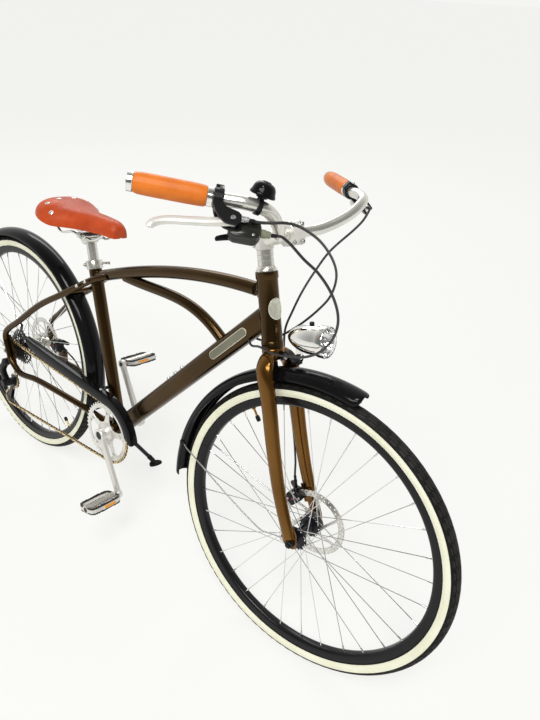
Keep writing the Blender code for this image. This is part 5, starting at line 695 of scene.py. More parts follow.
# Stem.  Headset cover, three spacers and a satin cast aluminium stem: a steerer clamp with two pinch screws
# at its back, a short reach tube and a face plate whose four screws hold the bar.
STEM_RADIUS = 0.0185
BAR_CLAMP_RADIUS = 0.0215
BAR_CLAMP_WIDTH = 0.044
BAR_MIDDLE = HEAD_LOW + (STEM_LOW + 0.018 + 0.01) * HEAD_AXIS + 0.066 * HEAD_FORWARD
satin_silver = finish("satin cast aluminium", (0.7, 0.69, 0.64), (0.78, 0.77, 0.72), 0.34, 0.5, patch=12,
    grain=1500, bump=0.04)
bm = bmesh.new()
low = HEAD_TUBE_LENGTH + GAP
cover = mm((15, 0), (21.6, 0), (22, 0.6), (21.8, 3), (18, 10), (16.6, 11.2), (15, 11.2))
turn(bm, cover, HEAD_LOW + low * HEAD_AXIS, HEAD_AXIS, 64, ring=True)
spacer_low = low + 0.0114
spacer = (STEM_LOW - spacer_low) / 3
for i in range(3):
    start = spacer_low + i * spacer
    bush(bm, HEAD_LOW, HEAD_AXIS, 0.015, 0.0168, start, start + spacer - 0.0002, 0.0004, 0.0005, 56)
piece("headset_cover_and_spacers", bm, FORK, "fork_and_bars", [polished])

bm = bmesh.new()
bush(bm, HEAD_LOW, HEAD_AXIS, 0.015, STEM_RADIUS, STEM_LOW, STEM_HIGH - 0.0032, 0.0007, 0.0008, 64)
cap = mm((0, -3), (17.8, -3), (18.5, -2.2), (18, -0.6), (16, 0), (5, 0), (4.4, -1.4), (2.6, -1.4),
    (2.6, -2.8), (0, -2.8))
turn(bm, cap, HEAD_LOW + STEM_HIGH * HEAD_AXIS, HEAD_AXIS, 64)
stem_middle = HEAD_LOW + (STEM_LOW + 0.018) * HEAD_AXIS
reach = (BAR_MIDDLE - stem_middle).normalized()
line = [stem_middle + along * reach for along in (0.01, 0.018, 0.028, 0.04, 0.052)]
rod(bm, line, 0.015, 32, scale=[1.12, 1.04, 1.0, 1.0, 1.08])
half = BAR_CLAMP_WIDTH / 2
bush(bm, BAR_MIDDLE, LEFT, 0.013, BAR_CLAMP_RADIUS, -half, half, 0.001, 0.001, 64)
for side in (-1, 1):
    for level in (-1, 1):
        seat = BAR_MIDDLE + side * 0.015 * LEFT + level * 0.0165 * HEAD_AXIS + 0.005 * HEAD_FORWARD
        disc(bm, seat, HEAD_FORWARD, 0.007, -0.014, 0.008)
for side in (-1, 1):
    block(bm, stem_middle - 0.02 * HEAD_FORWARD + side * 0.0025 * LEFT, (0.014, 0.004, 0.032), HEAD_FORWARD,
        HEAD_AXIS, corner=0.004)
piece("stem_body", bm, FORK, "fork_and_bars", [satin_silver], ["stem"])

bm = bmesh.new()
for side in (-1, 1):
    for level in (-1, 1):
        seat = BAR_MIDDLE + side * 0.015 * LEFT + level * 0.0165 * HEAD_AXIS + 0.013 * HEAD_FORWARD
        bolt(bm, seat, HEAD_FORWARD, 0.005, 0.0056)
for level in (-0.01, 0.01):
    seat = stem_middle - 0.0235 * HEAD_FORWARD + level * HEAD_AXIS
    bolt(bm, seat - 0.0045 * LEFT, -LEFT, 0.0038, 0.0042)
    rod(bm, [seat - 0.0045 * LEFT, seat + 0.0055 * LEFT], 0.0024, 12, across=UP)
piece("stem_screws", bm, FORK, "fork_and_bars", [bolt_steel])


# Handlebar.  One polished aluminium tube, swaged up to the stem's clamp in the middle, that rises forward and
# then sweeps out and back to the grips.
GRIP_INNER = xyz(-21, 232, 73)
GRIP_OUTER = xyz(-117, 310, 77)
GRIP_LENGTH = (GRIP_OUTER - GRIP_INNER).length
GRIP_RADIUS = 0.0175
BAR_TUBE_RADIUS = 0.0111
bar_outward = (GRIP_OUTER - GRIP_INNER).normalized()


def bar_half(side, steps=2):
    knots = [Vector((0, BAR_CLAMP_WIDTH / 2 + 0.01, 0)), xyz(22, 75, 10), xyz(47, 125, 38),
        xyz(51, 168, 65), xyz(30, 194.5, 72.5), GRIP_INNER - 0.026 * bar_outward, GRIP_OUTER
        - 0.002 * bar_outward]
    knots = [BAR_MIDDLE + Vector((knot.x, side * knot.y, knot.z)) for knot in knots]
    return smooth(knots[:-1], steps) + [knots[-1]]


bm = bmesh.new()
rod(bm, list(reversed(bar_half(-1, 10))) + bar_half(1, 10), BAR_TUBE_RADIUS, 28, across=UP)
half = BAR_CLAMP_WIDTH / 2 + 0.012
bush(bm, BAR_MIDDLE, LEFT, 0.01, 0.0127, -half, half, 0.0016, 0.006)
piece("handlebar_tube", bm, FORK, "fork_and_bars", [polished], ["handlebar"])


# Grips.  Tan leather sewn over a tube, drawn between two chromed end rings and closed by a cap, with the
# stitches of its seam along the underside.
def leather(name, dark, light, roughness, cell, relief):
    """Full-grain leather: creased cells in the bump, slow colour changes and darker pores."""
    material = finish(name, dark, light, roughness, patch=22, grain=420, bump=0.1, spread=0.25,
        specular=0.24)
    tree = material.node_tree
    nodes, link = tree.nodes, tree.links.new
    shader = nodes["Principled BSDF"]
    cells = node(tree, "TexVoronoi", {"Scale": cell}, feature="DISTANCE_TO_EDGE")
    link(nodes["Mapping"].outputs["Vector"], cells.inputs["Vector"])
    crease = node(tree, "MapRange", {"From Max": 0.12})
    link(cells.outputs["Distance"], crease.inputs["Value"])
    grain_bump = node(tree, "Bump", {"Strength": relief, "Distance": 0.0005})
    link(crease.outputs["Result"], grain_bump.inputs["Height"])
    link(nodes["Bump"].outputs["Normal"], grain_bump.inputs["Normal"])
    link(grain_bump.outputs["Normal"], shader.inputs["Normal"])
    shade = node(tree, "Mix", {"Factor": 0.35}, data_type="RGBA", blend_type="MULTIPLY")
    pores = node(tree, "ValToRGB")
    pores.color_ramp.elements[0].color = (0.55, 0.42, 0.36, 1)
    pores.color_ramp.elements[1].color = (1, 1, 1, 1)
    link(crease.outputs["Result"], pores.inputs["Fac"])
    link(nodes["Color Ramp"].outputs["Color"], shade.inputs[6])
    link(pores.outputs["Color"], shade.inputs[7])
    link(shade.outputs[2], shader.inputs["Base Color"])
    return material


grip_leather = leather("tan grip leather", (0.62, 0.15, 0.014), (0.76, 0.205, 0.024), 0.36, 620, 0.05)
chrome = finish("chrome plating", (0.8, 0.79, 0.76), (0.86, 0.85, 0.82), 0.085, 1.0, patch=10, grain=500,
    bump=0.004)
thread = finish("waxed thread", (0.5, 0.16, 0.04), (0.66, 0.24, 0.07), 0.7, grain=3000, bump=0.2)


def grip_frame(side):
    start = BAR_MIDDLE + Vector((GRIP_INNER.x, side * GRIP_INNER.y, GRIP_INNER.z))
    end = BAR_MIDDLE + Vector((GRIP_OUTER.x, side * GRIP_OUTER.y, GRIP_OUTER.z))
    out = (end - start).normalized()
    level = out.cross(UP).normalized() * side
    drop = cos(radians(40)) * level - sin(radians(40)) * UP
    drop = (drop - drop.dot(out) * out).normalized()
    return start, out, drop, out.cross(drop) * -side


RING = 0.009
STITCHES = 26
for side, name in SIDES:
    start, out, drop, across = grip_frame(side)
    high = GRIP_LENGTH - RING
    bm = bmesh.new()
    profile = [(0.012, 0.0004)]
    for i in range(29):
        share = i / 28
        swell = 1 - 0.05 * cos(2 * pi * share) * (0.5 if 0.1 < share < 0.9 else 1)
        end_pull = 0.0014 * max(0, 1 - min(share, 1 - share) * 22)
        profile.append((GRIP_RADIUS * min(swell, 1.0) - end_pull, 0.0006 + share * (high - 0.0012)))
    profile.append((0.012, high - 0.0004))
    turn(bm, profile, start, out, 48, ring=True)
    piece("grip_leather_" + name, bm, FORK, "fork_and_bars", [grip_leather],
        ["grip_" + name], 60)
    bm = bmesh.new()
    for low, top in ((-RING, 0.0), (high, GRIP_LENGTH + 0.0008)):
        bush(bm, start, out, 0.0112, 0.0155, low, top, 0.0007, 0.0009, 48)
    disc(bm, start + (GRIP_LENGTH - 0.001) * out, out, 0.0125, 0.0, 0.002, 0.001)
    piece("grip_rings_" + name, bm, FORK, "fork_and_bars", [chrome])
    bm = bmesh.new()
    for i in range(STITCHES):
        along = 0.006 + (high - 0.012) * i / (STITCHES - 1)
        for slant in (-1, 1):
            seam = start + along * out - 0.0172 * cos(0.3) * UP
            rod(bm, [seam - 0.0018 * slant * across - 0.0012 * out, seam + 0.0002 * UP + 0.0012 * out],
                0.0004, 6)
    piece("grip_stitches_" + name, bm, FORK, "fork_and_bars", [thread])


# Kickstand mount.  A welded block under the left chain stay carries the stand's pin; it is part of the frame.
KICK_PIVOT = xyz(384, 28, 252)
bm = bmesh.new()
block(bm, KICK_PIVOT + xyz(0, -24, 3), (0.024, 0.018, 0.018), corner=0.004)
piece("kickstand_mount_block", bm, BIKE, "frame", [bronze])
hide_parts("seat_tube")


# Tyres.  Black rubber treads with rows of moulded blocks and narrow grooves between them, cream side walls
# between two thin ribs, and a bead that sits in the rim.  The blocks are a lighter copy of the black rubber,
# so the darker grooves between them are painted shade.
WHEELS = ((FRONT_HUB, FORK, "front_wheel", "front"), (REAR_HUB, BIKE, "rear_wheel", "rear"))
TYRE_HALF = 0.019
TYRE_MIDDLE = 0.33
TREAD_RELIEF = 0.0013
WALL_START = radians(72.9)
WALL_END = radians(129.9)
WHEEL_STEPS = 192
TREAD_ROWS = 84
rubber = finish("black tyre rubber", (0.006, 0.006, 0.006), (0.011, 0.011, 0.01), 0.6, patch=18, grain=1400,
    bump=0.25, specular=0.14)
# The tread blocks: a lighter copy of the black rubber, which leaves painted shade in the grooves between
# them.
tread_rubber_lighter_than_groove_shade = finish("tread rubber lighter than the painted groove shade", (0.014, 0.0135, 0.0125), (0.026, 0.0245, 0.022), 0.6, patch=24,
    grain=1100, bump=0.3, specular=0.16)
cream_wall = finish("cream side wall rubber", (0.78, 0.78, 0.6), (0.85, 0.85, 0.69), 0.55, patch=12,
    grain=1200, bump=0.12, specular=0.3)


def on_tyre(hub, around, over, half):
    radius = TYRE_MIDDLE + half * cos(over)
    return hub + radius * ray(around) + half * sin(over) * LEFT


def tyre_arc(start, end, count, half):
    angles = [start + (end - start) * i / (count - 1) for i in range(count)]
    return [(TYRE_MIDDLE + half * cos(angle), half * sin(angle)) for angle in angles]


for hub, place, body, name in WHEELS:
    carcass = TYRE_HALF - TREAD_RELIEF
    bm = bmesh.new()
    turn(bm, tyre_arc(-WALL_START, WALL_START, 23, carcass), hub, LEFT, WHEEL_STEPS)
    for side in (-1, 1):
        wall = [tyre_arc(WALL_START, WALL_START, 2, carcass)[0]]
        wall += tyre_arc(WALL_START + 0.01, WALL_START + 0.05, 3, carcass + 0.0004)
        wall += tyre_arc(WALL_START + 0.07, WALL_END - 0.16, 9, carcass + 0.0001)
        wall += tyre_arc(WALL_END - 0.13, WALL_END - 0.09, 3, carcass + 0.0005)
        wall += tyre_arc(WALL_END - 0.06, WALL_END, 3, carcass)
        turn(bm, [(radius, side * along) for radius, along in wall], hub, LEFT, WHEEL_STEPS, finish=1)
        edge = wall[-1]
        turn(bm, [(edge[0], side * edge[1]), (0.3178, side * 0.0095), (0.3143, side * 0.0095), (0.3143, 0)],
            hub, LEFT, WHEEL_STEPS)
    step = 2 * pi / TREAD_ROWS
    for i in range(TREAD_ROWS):
        around = i * step
        for side in (-1, 1):
            shift = 0.5 * step if side > 0 else 0
            for low, high, start, end, slant in ((0.025, 0.33, 0.04, 0.96, 0.3),
                    (0.37, 0.68, 0.02, 0.94, 0.26), (0.73, 1.02, 0.12, 0.7, 0.1)):
                corners = ((start, low), (end, low), (end + slant, high), (start + slant, high))
                rings = []
                for half, inset in ((carcass - 0.0003, 0.0), (TYRE_HALF, 0.07)):
                    ring = []
                    for share, over in corners:
                        middle_share, middle_over = (start + end + slant) / 2, (low + high) / 2
                        share += inset * (middle_share - share)
                        over += inset * (middle_over - over)
                        ring.append(on_tyre(hub, around + shift + share * step, side * over, half))
                    rings.append(ring)
                layer(bm, rings, finish=2)
    piece(name + "_tyre_and_walls", bm, place, body, [rubber, cream_wall, tread_rubber_lighter_than_groove_shade],
        [name + "_tyre"], 40)


# Rims.  Black anodised double-wall aluminium rims, with a rounded inner wall and a hooked lip on either side.
rim_black = finish("black anodised rim", (0.005, 0.005, 0.006), (0.009, 0.009, 0.01), 0.22, 0.1, patch=5,
    grain=1600, bump=0.02, specular=0.25)
for hub, place, body, name in WHEELS:
    side = mm((314, 9.8), (316.8, 9.8), (317.5, 10.4), (317.5, 11.3), (316.9, 11.8), (312, 11.8),
        (305.2, 11.2), (301.5, 10.4), (298.5, 8.6), (297.2, 6.2), (296.8, 3))
    profile = side + [(radius, -along) for radius, along in reversed(side)]
    bm = bmesh.new()
    turn(bm, profile, hub, LEFT, WHEEL_STEPS, ring=True)
    piece(name + "_rim_hoop", bm, place, body, [rim_black], [name + "_rim"])


# Spokes and nipples.  Thirty-two bright steel spokes a wheel, laced three across, each screwed into a plated
# brass nipple at the rim and hooked through the hub's flange at the other end.
spoke_steel = finish("bright spoke steel", (0.66, 0.66, 0.66), (0.76, 0.76, 0.75), 0.16, 1.0, grain=3000,
    bump=0.01)
SPOKE_END = 0.2955
SPOKE_RADIUS = 0.001
SPOKES_A_FLANGE = 16
SPOKE_LEAN = radians(67)
FRONT_FLANGES = mm((-34, 24.7), (24, 24.7))
REAR_FLANGES = mm((-20, 26.7), (32, 26.7))


def spoke_ends(hub, flange, hole_radius, index):
    lean = 1 if index % 2 else -1
    way = 1 if flange > 0 else -1
    rim_angle = 2 * pi * (index + 0.5 * (flange > 0)) / SPOKES_A_FLANGE
    hub_angle = rim_angle + lean * SPOKE_LEAN
    start = hub + hole_radius * ray(hub_angle) + (flange + lean * 0.0024 * way) * LEFT
    end = hub + SPOKE_END * ray(rim_angle) + 0.0025 * way * LEFT
    return start, end, lean * way


for (hub, place, body, name), flanges in zip(WHEELS, (FRONT_FLANGES, REAR_FLANGES)):
    bm = bmesh.new()
    for flange, hole_radius in flanges:
        for index in range(SPOKES_A_FLANGE):
            start, end, way = spoke_ends(hub, flange, hole_radius, index)
            inward = -way * 0.0045 * LEFT
            rod(bm, [start + inward, start, start + 0.0022 * (end - start).normalized(), end], SPOKE_RADIUS,
                8, across=UP.cross(end - start).normalized()
                if abs((end - start).normalized().dot(LEFT)) < 0.98 else UP)
            disc(bm, start + inward, LEFT, 0.0019, -0.0006, 0.0006, 0.0003, 12)
            back = (end - start).normalized()
            turn(bm, mm((1.1, -12), (1.9, -11.6), (2.1, -5), (2.3, -1), (2.3, 1.2)), end, back, 10)
    piece(name + "_spokes_and_nipples", bm, place, body, [spoke_steel], [name + "_hub"], 40)


# Hubs.  Turned shells with two flanges, a boss for the brake disc on the left and a freehub body behind the
# sprockets; black at the front, silver at the back.
hub_black = finish("black hub paint", (0.006, 0.006, 0.01), (0.012, 0.012, 0.018), 0.22, 0.1, grain=1800,
    bump=0.03, specular=0.26)


def flange_shape(side, radius):
    return [(0.015, side - 0.004), (radius - 0.006, side - 0.0023), (radius - 0.0008, side - 0.0023),
        (radius, side - 0.0015), (radius, side + 0.0015), (radius - 0.0008, side + 0.0023),
        (radius - 0.006, side + 0.0023), (0.015, side + 0.004)]


bm = bmesh.new()
turn(bm, mm((4.8, -49.7), (8.4, -49.7), (9, -49), (9, -40.5), (11.8, -39.6)) + flange_shape(-0.034, 0.027)
    + mm((13.5, -24), (12.8, -6), (13.5, 12)) + flange_shape(0.024, 0.027) + mm((17, 29), (17, 42),
    (15, 43.6), (9, 44), (9, 49), (8.4, 49.7), (4.8, 49.7)), FRONT_HUB, LEFT, 64, ring=True)
piece("front_hub_shell", bm, FORK, "front_wheel", [hub_black])
bm = bmesh.new()
turn(bm, mm((5.3, -67.2), (8.4, -67.2), (9, -66.4), (9, -62), (15.5, -61.5), (15.5, -24))
    + flange_shape(-0.02, 0.029) + mm((15, -6), (14.2, 8), (15, 22)) + flange_shape(0.032, 0.029)
    + mm((17, 36.5), (17, 56), (15, 57.6), (9, 58), (9, 66.4), (8.4, 67.2), (5.3, 67.2)), REAR_HUB, LEFT,
    64, ring=True)
piece("rear_hub_shell", bm, BIKE, "rear_wheel", [polished])


# Brake discs.  Stamped steel rings, drilled right round, on six slanted arms that are screwed to the hub.
disc_steel = finish("ground disc steel", (0.66, 0.65, 0.61), (0.76, 0.75, 0.7), 0.3, 0.9, grain=2600,
    bump=0.03)


def drilled_ring(bm, centre, inner, outer, half, sectors, hole):
    """A flat ring with one round hole in the middle of each of its sectors."""
    width = 2 * pi / sectors
    for i in range(sectors):
        edge, rim_of_hole = [], []
        for k in range(16):
            a = 2 * pi * k / 16 + pi / 16
            reach = 1 / max(abs(cos(a)), abs(sin(a)))
            radius = (inner + outer) / 2 + (outer - inner) / 2 * reach * cos(a)
            angle = width * (i + 0.5 + 0.5 * reach * sin(a))
            edge.append((radius * cos(angle), radius * sin(angle)))
            middle = (inner + outer) / 2 + (0.2 if i % 2 else -0.2) * (outer - inner)
            u, v = hole * cos(a), hole * sin(a)
            turn_by = width * (i + 0.5)
            rim_of_hole.append(((middle + u) * cos(turn_by) - v * sin(turn_by), (middle + u) * sin(turn_by)
                + v * cos(turn_by)))
        rings = []
        for outline, level in ((edge, -half), (rim_of_hole, -half), (rim_of_hole, half), (edge, half)):
            rings.append([centre + Vector((u, level, v)) for u, v in outline])
        layer(bm, rings, ends=False)
    for radius in (inner, outer):
        turn(bm, [(radius, -half), (radius, half)], centre, LEFT, sectors * 2)


ROTOR_SIDES = (0.04, 0.054)
ROTOR_INNER = 0.065
ROTOR_OUTER = 0.0798
ROTOR_HALF = 0.0009
ROTOR_HOLE = 0.0021
for (hub, place, body, name), level in zip(WHEELS, ROTOR_SIDES):
    centre = hub + level * LEFT
    bm = bmesh.new()
    drilled_ring(bm, centre, ROTOR_INNER, ROTOR_OUTER, ROTOR_HALF, 48, ROTOR_HOLE)
    turn(bm, [(0.0175, -ROTOR_HALF), (0.027, -ROTOR_HALF), (0.027, ROTOR_HALF), (0.0175, ROTOR_HALF)],
        centre, LEFT, 48, ring=True)
    for i in range(6):
        a = 2 * pi * i / 6
        root, tip = ray(a), ray(a + 0.62)
        along = 0.066 * tip - 0.025 * root
        block(bm, centre + (0.066 * tip + 0.025 * root) / 2, (along.length, 0.0017, 0.0068),
            along.normalized(), along.normalized().cross(LEFT), corner=0.001)
        bolt(bm, centre + 0.0225 * root + 0.0009 * LEFT, LEFT, 0.0034, 0.0022)
    piece(name + "_brake_disc", bm, place, body, [disc_steel], [name + "_rotor"])


# Axles.  Threaded steel axles with a washer and a hexagon nut outside each dropout; the front ones are black.
def hexagon_nut(bm, centre, axis, radius, start, end, finish=0):
    turn(bm, [(0, start), (radius, start), (radius, end - 0.001), (0.86 * radius, end), (0, end)], centre,
        axis, 6, finish=finish)


for hub, place, body, name, half, radius, metal, slot in ((FRONT_HUB, FORK, "fork_and_bars", "front",
        0.0563, 0.0045, satin_black, "satin_black"), (REAR_HUB, BIKE, "frame", "rear", 0.0738, 0.005,
        bolt_steel, "steel")):
    bm = bmesh.new()
    disc(bm, hub, LEFT, radius, -half - 0.0136, half + 0.0136, 0.001, 24)
    for way in (-1, 1):
        disc(bm, hub, way * LEFT, 0.0098, half, half + 0.0016, 0.0004, 32)
        hexagon_nut(bm, hub, way * LEFT, 0.0094, half + 0.0016, half + 0.0098)
        for i in range(4):
            along = half + 0.0102 + 0.0008 * i
            turn(bm, [(radius - 0.0003, along), (radius + 0.0002, along + 0.0003),
                (radius - 0.0003, along + 0.0006)], hub, way * LEFT, 20)
    piece(name + "_axle_and_nuts", bm, place, body, [metal], [name + "_axle"])


# Valves and the spoke reflector.  A brass valve with a lock nut and a knurled black cap stands in each rim,
# and an amber prism reflector is clipped across two spokes of the rear wheel.
brass = finish("valve brass", (0.62, 0.42, 0.14), (0.72, 0.5, 0.2), 0.24, 1.0, grain=2000, bump=0.02)
black_plastic = finish("black plastic", (0.008, 0.008, 0.009), (0.015, 0.015, 0.016), 0.36, grain=1500,
    bump=0.06, specular=0.22)
amber = finish("amber reflector plastic", (0.85, 0.3, 0.008), (0.98, 0.46, 0.015), 0.16, patch=60,
    grain=900, bump=0.04, coat=0.6)
for (hub, place, body, name), angle in zip(WHEELS, (129.4, -41.9)):
    inward = -ray(radians(angle))
    foot = hub - 0.297 * inward
    bm = bmesh.new()
    disc(bm, foot, inward, 0.0029, -0.0008, 0.024, 0.0004, 20)
    disc(bm, foot, inward, 0.0052, 0.0006, 0.0034, 0.0006, 16)
    disc(bm, foot, inward, 0.0044, 0.019, 0.033, 0.001, 20, finish=1)
    for i in range(12):
        a = 2 * pi * i / 12
        across = inward.orthogonal().normalized()
        off = 0.0044 * (cos(a) * across + sin(a) * inward.cross(across))
        rod(bm, [foot + off + 0.0205 * inward, foot + off + 0.0315 * inward], 0.0005, 6, across=across,
            finish=1)
    piece(name + "_valve", bm, place, body, [brass, black_plastic])

bm = bmesh.new()
outline = []
for radius, angles in ((0.268, (150, 154, 158, 162, 166)), (0.238, (166, 162, 158, 154, 150))):
    outline += [(radius * cos(radians(a)), radius * sin(radians(a))) for a in angles]
plate(bm, outline, REAR_HUB, FORWARD, UP, 0.012, finish=1)
shrink = [(0.94 * u - 0.06 * 0.2355, 0.8 * v + 0.2 * 0.0945) for u, v in outline]
plate(bm, shrink, REAR_HUB, FORWARD, UP, 0.015)
for i in range(9):
    for k in range(4):
        a = radians(152 + 1.5 * i)
        seat = REAR_HUB + (0.2445 + 0.006 * k) * ray(a)
        for way in (-1, 1):
            turn(bm, mm((2.7, 7.4), (0, 8.8)), seat, way * LEFT, 4)
piece("rear_spoke_reflector", bm, BIKE, "rear_wheel", [amber, black_plastic])


# Mudguards.  Gloss black sheet mudguards with rolled edges; the front one hangs from a bracket under the fork
# crown, and wire stays with a plastic clip and a screwed eye hold both to the dropouts.
gloss_black = finish("gloss black paint", (0.004, 0.004, 0.0045), (0.007, 0.007, 0.008), 0.09, 0.0, patch=3,
    grain=1800, bump=0.008, specular=0.14)
FRONT_GUARD_RADIUS = 0.38
GUARD_HALF = 0.029
GUARD_DEPTH = 0.022
GUARD_WALL = 0.0014


def guard_shell(bm, hub, radius, start, end, steps):
    turns = [radians(-90 + 180 * i / 16) for i in range(17)]
    section = [(GUARD_HALF * sin(a), GUARD_DEPTH * (1 - cos(a))) for a in turns]
    section += [(GUARD_HALF - 0.0006, GUARD_DEPTH + 0.0011), (GUARD_HALF - 0.0022, GUARD_DEPTH + 0.001),
        (GUARD_HALF - 0.0026, GUARD_DEPTH - 0.0004)]
    inner_half, inner_depth = GUARD_HALF - GUARD_WALL, GUARD_DEPTH - GUARD_WALL
    section += [(inner_half * sin(a), GUARD_WALL + inner_depth * (1 - cos(a)))
        for a in reversed(turns[1:-1])]
    section += [(0.0026 - GUARD_HALF, GUARD_DEPTH - 0.0004), (0.0022 - GUARD_HALF, GUARD_DEPTH + 0.001),
        (0.0006 - GUARD_HALF, GUARD_DEPTH + 0.0011)]
    shares = [0, 0.15, 0.4, 0.7, 1]
    corner = 0.016 / radius
    angles = [start + corner * share for share in shares]
    angles += [start + corner + (end - start - 2 * corner) * i / steps for i in range(1, steps)]
    angles += [end - corner * share for share in reversed(shares)]
    scale = [0.55 + 0.45 * sqrt(1 - (1 - share) ** 2) for share in shares]
    scale = scale + [1.0] * (steps - 1) + list(reversed(scale))
    path = [hub + radius * ray(a) for a in angles]
    sweep(bm, path, section, scale=scale)


def guard_wire(bm, hub, radius, angle, eye, bend, side):
    """One wire stay from the mudguard's edge to its eye, with its clip on the edge and a screw in the eye."""
    edge = radius - GUARD_DEPTH + 0.0012
    root = hub + Vector((edge * cos(angle), side * (GUARD_HALF - 0.0008), edge * sin(angle)))
    target = hub + Vector((eye.x, side * eye.y, eye.z))
    knee = hub + Vector((bend.x, side * bend.y, bend.z))
    near = root.lerp(knee, 0.1) + 0.004 * side * LEFT
    far = target.lerp(knee, 0.25)
    rod(bm, smooth([root, near, knee, far, target], 5), 0.0017, 10, across=UP, finish=1)
    turn(bm, mm((2.4, -1.6), (4.5, -1.6), (4.5, 1.6), (2.4, 1.6)), target, LEFT, 24, ring=True, finish=1)
    bolt(bm, target + side * 0.0016 * LEFT, side * LEFT, 0.004, 0.0028, finish=1)
    block(bm, root + 0.0012 * side * LEFT, (0.016, 0.0046, 0.01))


front_eye = xyz(-19.5, 58, 2)
rear_eye = xyz(-20.5, 75.5, 11.5)
bm = bmesh.new()
guard_shell(bm, FRONT_HUB, FRONT_GUARD_RADIUS, radians(81), radians(187), 72)
for side in (-1, 1):
    guard_wire(bm, FRONT_HUB, FRONT_GUARD_RADIUS, radians(170), front_eye, xyz(-85, 59, -10), side)
turn(bm, mm((0, 376.5), (8, 376.5), (8, 385), (7.2, 388.7), (0, 388.7)), FORK_FOOT, HEAD_AXIS, 32)
piece("front_mudguard", bm, FORK, "fork_and_bars", [gloss_black, bolt_steel], ["front_fender"], 40)

bm = bmesh.new()
guard_shell(bm, REAR_HUB, REAR_GUARD_RADIUS, radians(-1), radians(196), 128)
tongue = [REAR_HUB + REAR_GUARD_RADIUS * ray(radians(a)) for a in (-9, -6, -3, 0.5)]
sweep(bm, tongue, [(-0.01, 0), (0.01, 0), (0.01, 0.0016), (-0.01, 0.0016)])
for side in (-1, 1):
    guard_wire(bm, REAR_HUB, REAR_GUARD_RADIUS, radians(158), rear_eye, xyz(-50, 75.5, 22), side)
bridge_way = ray(GUARD_BRIDGE_ANGLE)
bolt(bm, REAR_HUB + (REAR_GUARD_RADIUS - 0.0016) * bridge_way, -bridge_way, 0.0055, 0.003, finish=1)
piece("rear_mudguard", bm, BIKE, "frame", [gloss_black, bolt_steel], ["rear_fender"], 40)


# Brake lever mounts.  A cast black clamp round the bar with its pinch screw, a forked bracket for the lever
# and a knurled barrel where the cable goes in.
BRACKET_THICKNESS = 0.02
LEVER_THICKNESS = 0.009
CLAMP_RADIUS = BAR_TUBE_RADIUS + 0.0055


class Mount:
    """Directions at one mount: u outward along the bar, v down to the lever, w across both."""

    def __init__(self, side):
        start, self.u, self.v, self.w = grip_frame(side)
        self.origin = start - 0.0175 * self.u

    def at(self, u, v, w=0.0):
        return self.origin + u * self.u + v * self.v + w * self.w

    def pivot(self):
        return self.at(-0.027, 0.039)


cast_black = finish("cast black paint", (0.006, 0.006, 0.007), (0.011, 0.011, 0.012), 0.28, 0.1, grain=1300,
    bump=0.08, specular=0.26)
for side, name in SIDES:
    mount = Mount(side)
    bm = bmesh.new()
    bush(bm, mount.origin, mount.u, 0.0122, CLAMP_RADIUS, -0.008, 0.008, 0.0012, 0.0012, 48)
    cheek = mm((7, 13.6), (5, 22), (2, 30), (-5, 41), (-14, 48), (-22, 50.5), (-34, 50), (-39, 46),
        (-40, 40), (-39, 30), (-34, 25.5), (-16, 20), (-9, 17), (-7, 13.6))
    depth = (BRACKET_THICKNESS - LEVER_THICKNESS) / 2 - GAP
    for way in (-1, 1):
        middle = mount.origin + way * (LEVER_THICKNESS / 2 + GAP + depth / 2) * mount.w
        plate(bm, cheek, middle, mount.u, mount.v, depth)
    web = mm((7, 13.6), (3, 26.2), (-18, 30), (-38.5, 32.5), (-38, 26), (-16, 20), (-7, 13.6))
    plate(bm, web, mount.origin, mount.u, mount.v, LEVER_THICKNESS + 0.003)
    turn(bm, mm((0, -1), (4.6, -1), (4.6, 17), (3.4, 18.2), (2.6, 18.2), (2.6, 12), (0, 12)),
        mount.at(-0.034, 0.031), -mount.u, 28, finish=1)
    for i in range(14):
        a = 2 * pi * i / 14
        off = 0.0046 * (cos(a) * mount.v + sin(a) * mount.w)
        rod(bm, [mount.at(-0.0375, 0.031) + off, mount.at(-0.0475, 0.031) + off], 0.0006, 6, across=mount.w,
            finish=1)
    bolt(bm, mount.at(-0.0035, -0.0105, 0.0125), mount.w, 0.0036, 0.0036, finish=1)
    block(bm, mount.at(0, -0.015, 0.001), (0.013, 0.02, 0.009), mount.u, mount.v)
    head = BRACKET_THICKNESS / 2
    for way in (-1, 1):
        bolt(bm, mount.pivot() + way * head * mount.w, way * mount.w, 0.0042, 0.0016, finish=1)
    disc(bm, mount.pivot(), mount.w, 0.0029, -head, head)
    piece("brake_mount_body_" + name, bm, FORK, "fork_and_bars", [cast_black, bolt_steel],
        ["brake_mount_" + name])


# Brake levers.  Satin cast aluminium levers of oval section that swell at the hub, follow the grip's line and
# turn out at a rounded tip.
for side, name in SIDES:
    mount = Mount(side)
    knots = mm((-27, 39), (4, 46.5), (38, 52.5), (68, 57.8), (86, 64.8), (98, 76.5))
    line = smooth([mount.at(u, v) for u, v in knots], 8)
    last = len(line) - 1
    scale = [1.0 - 0.12 * i / last for i in range(len(line))]
    for back, size in ((0, 0.45), (1, 0.7), (2, 0.8)):
        scale[last - back] = size
    bm = bmesh.new()
    sweep(bm, line, oval(0.005, 0.0082, 24), mount.w, scale=scale)
    disc(bm, mount.pivot(), mount.w, 0.0075, -LEVER_THICKNESS / 2, LEVER_THICKNESS / 2, 0.0005)
    piece("brake_lever_blade_" + name, bm, FORK, name + "_brake_lever", [satin_silver],
        ["brake_lever_" + name])


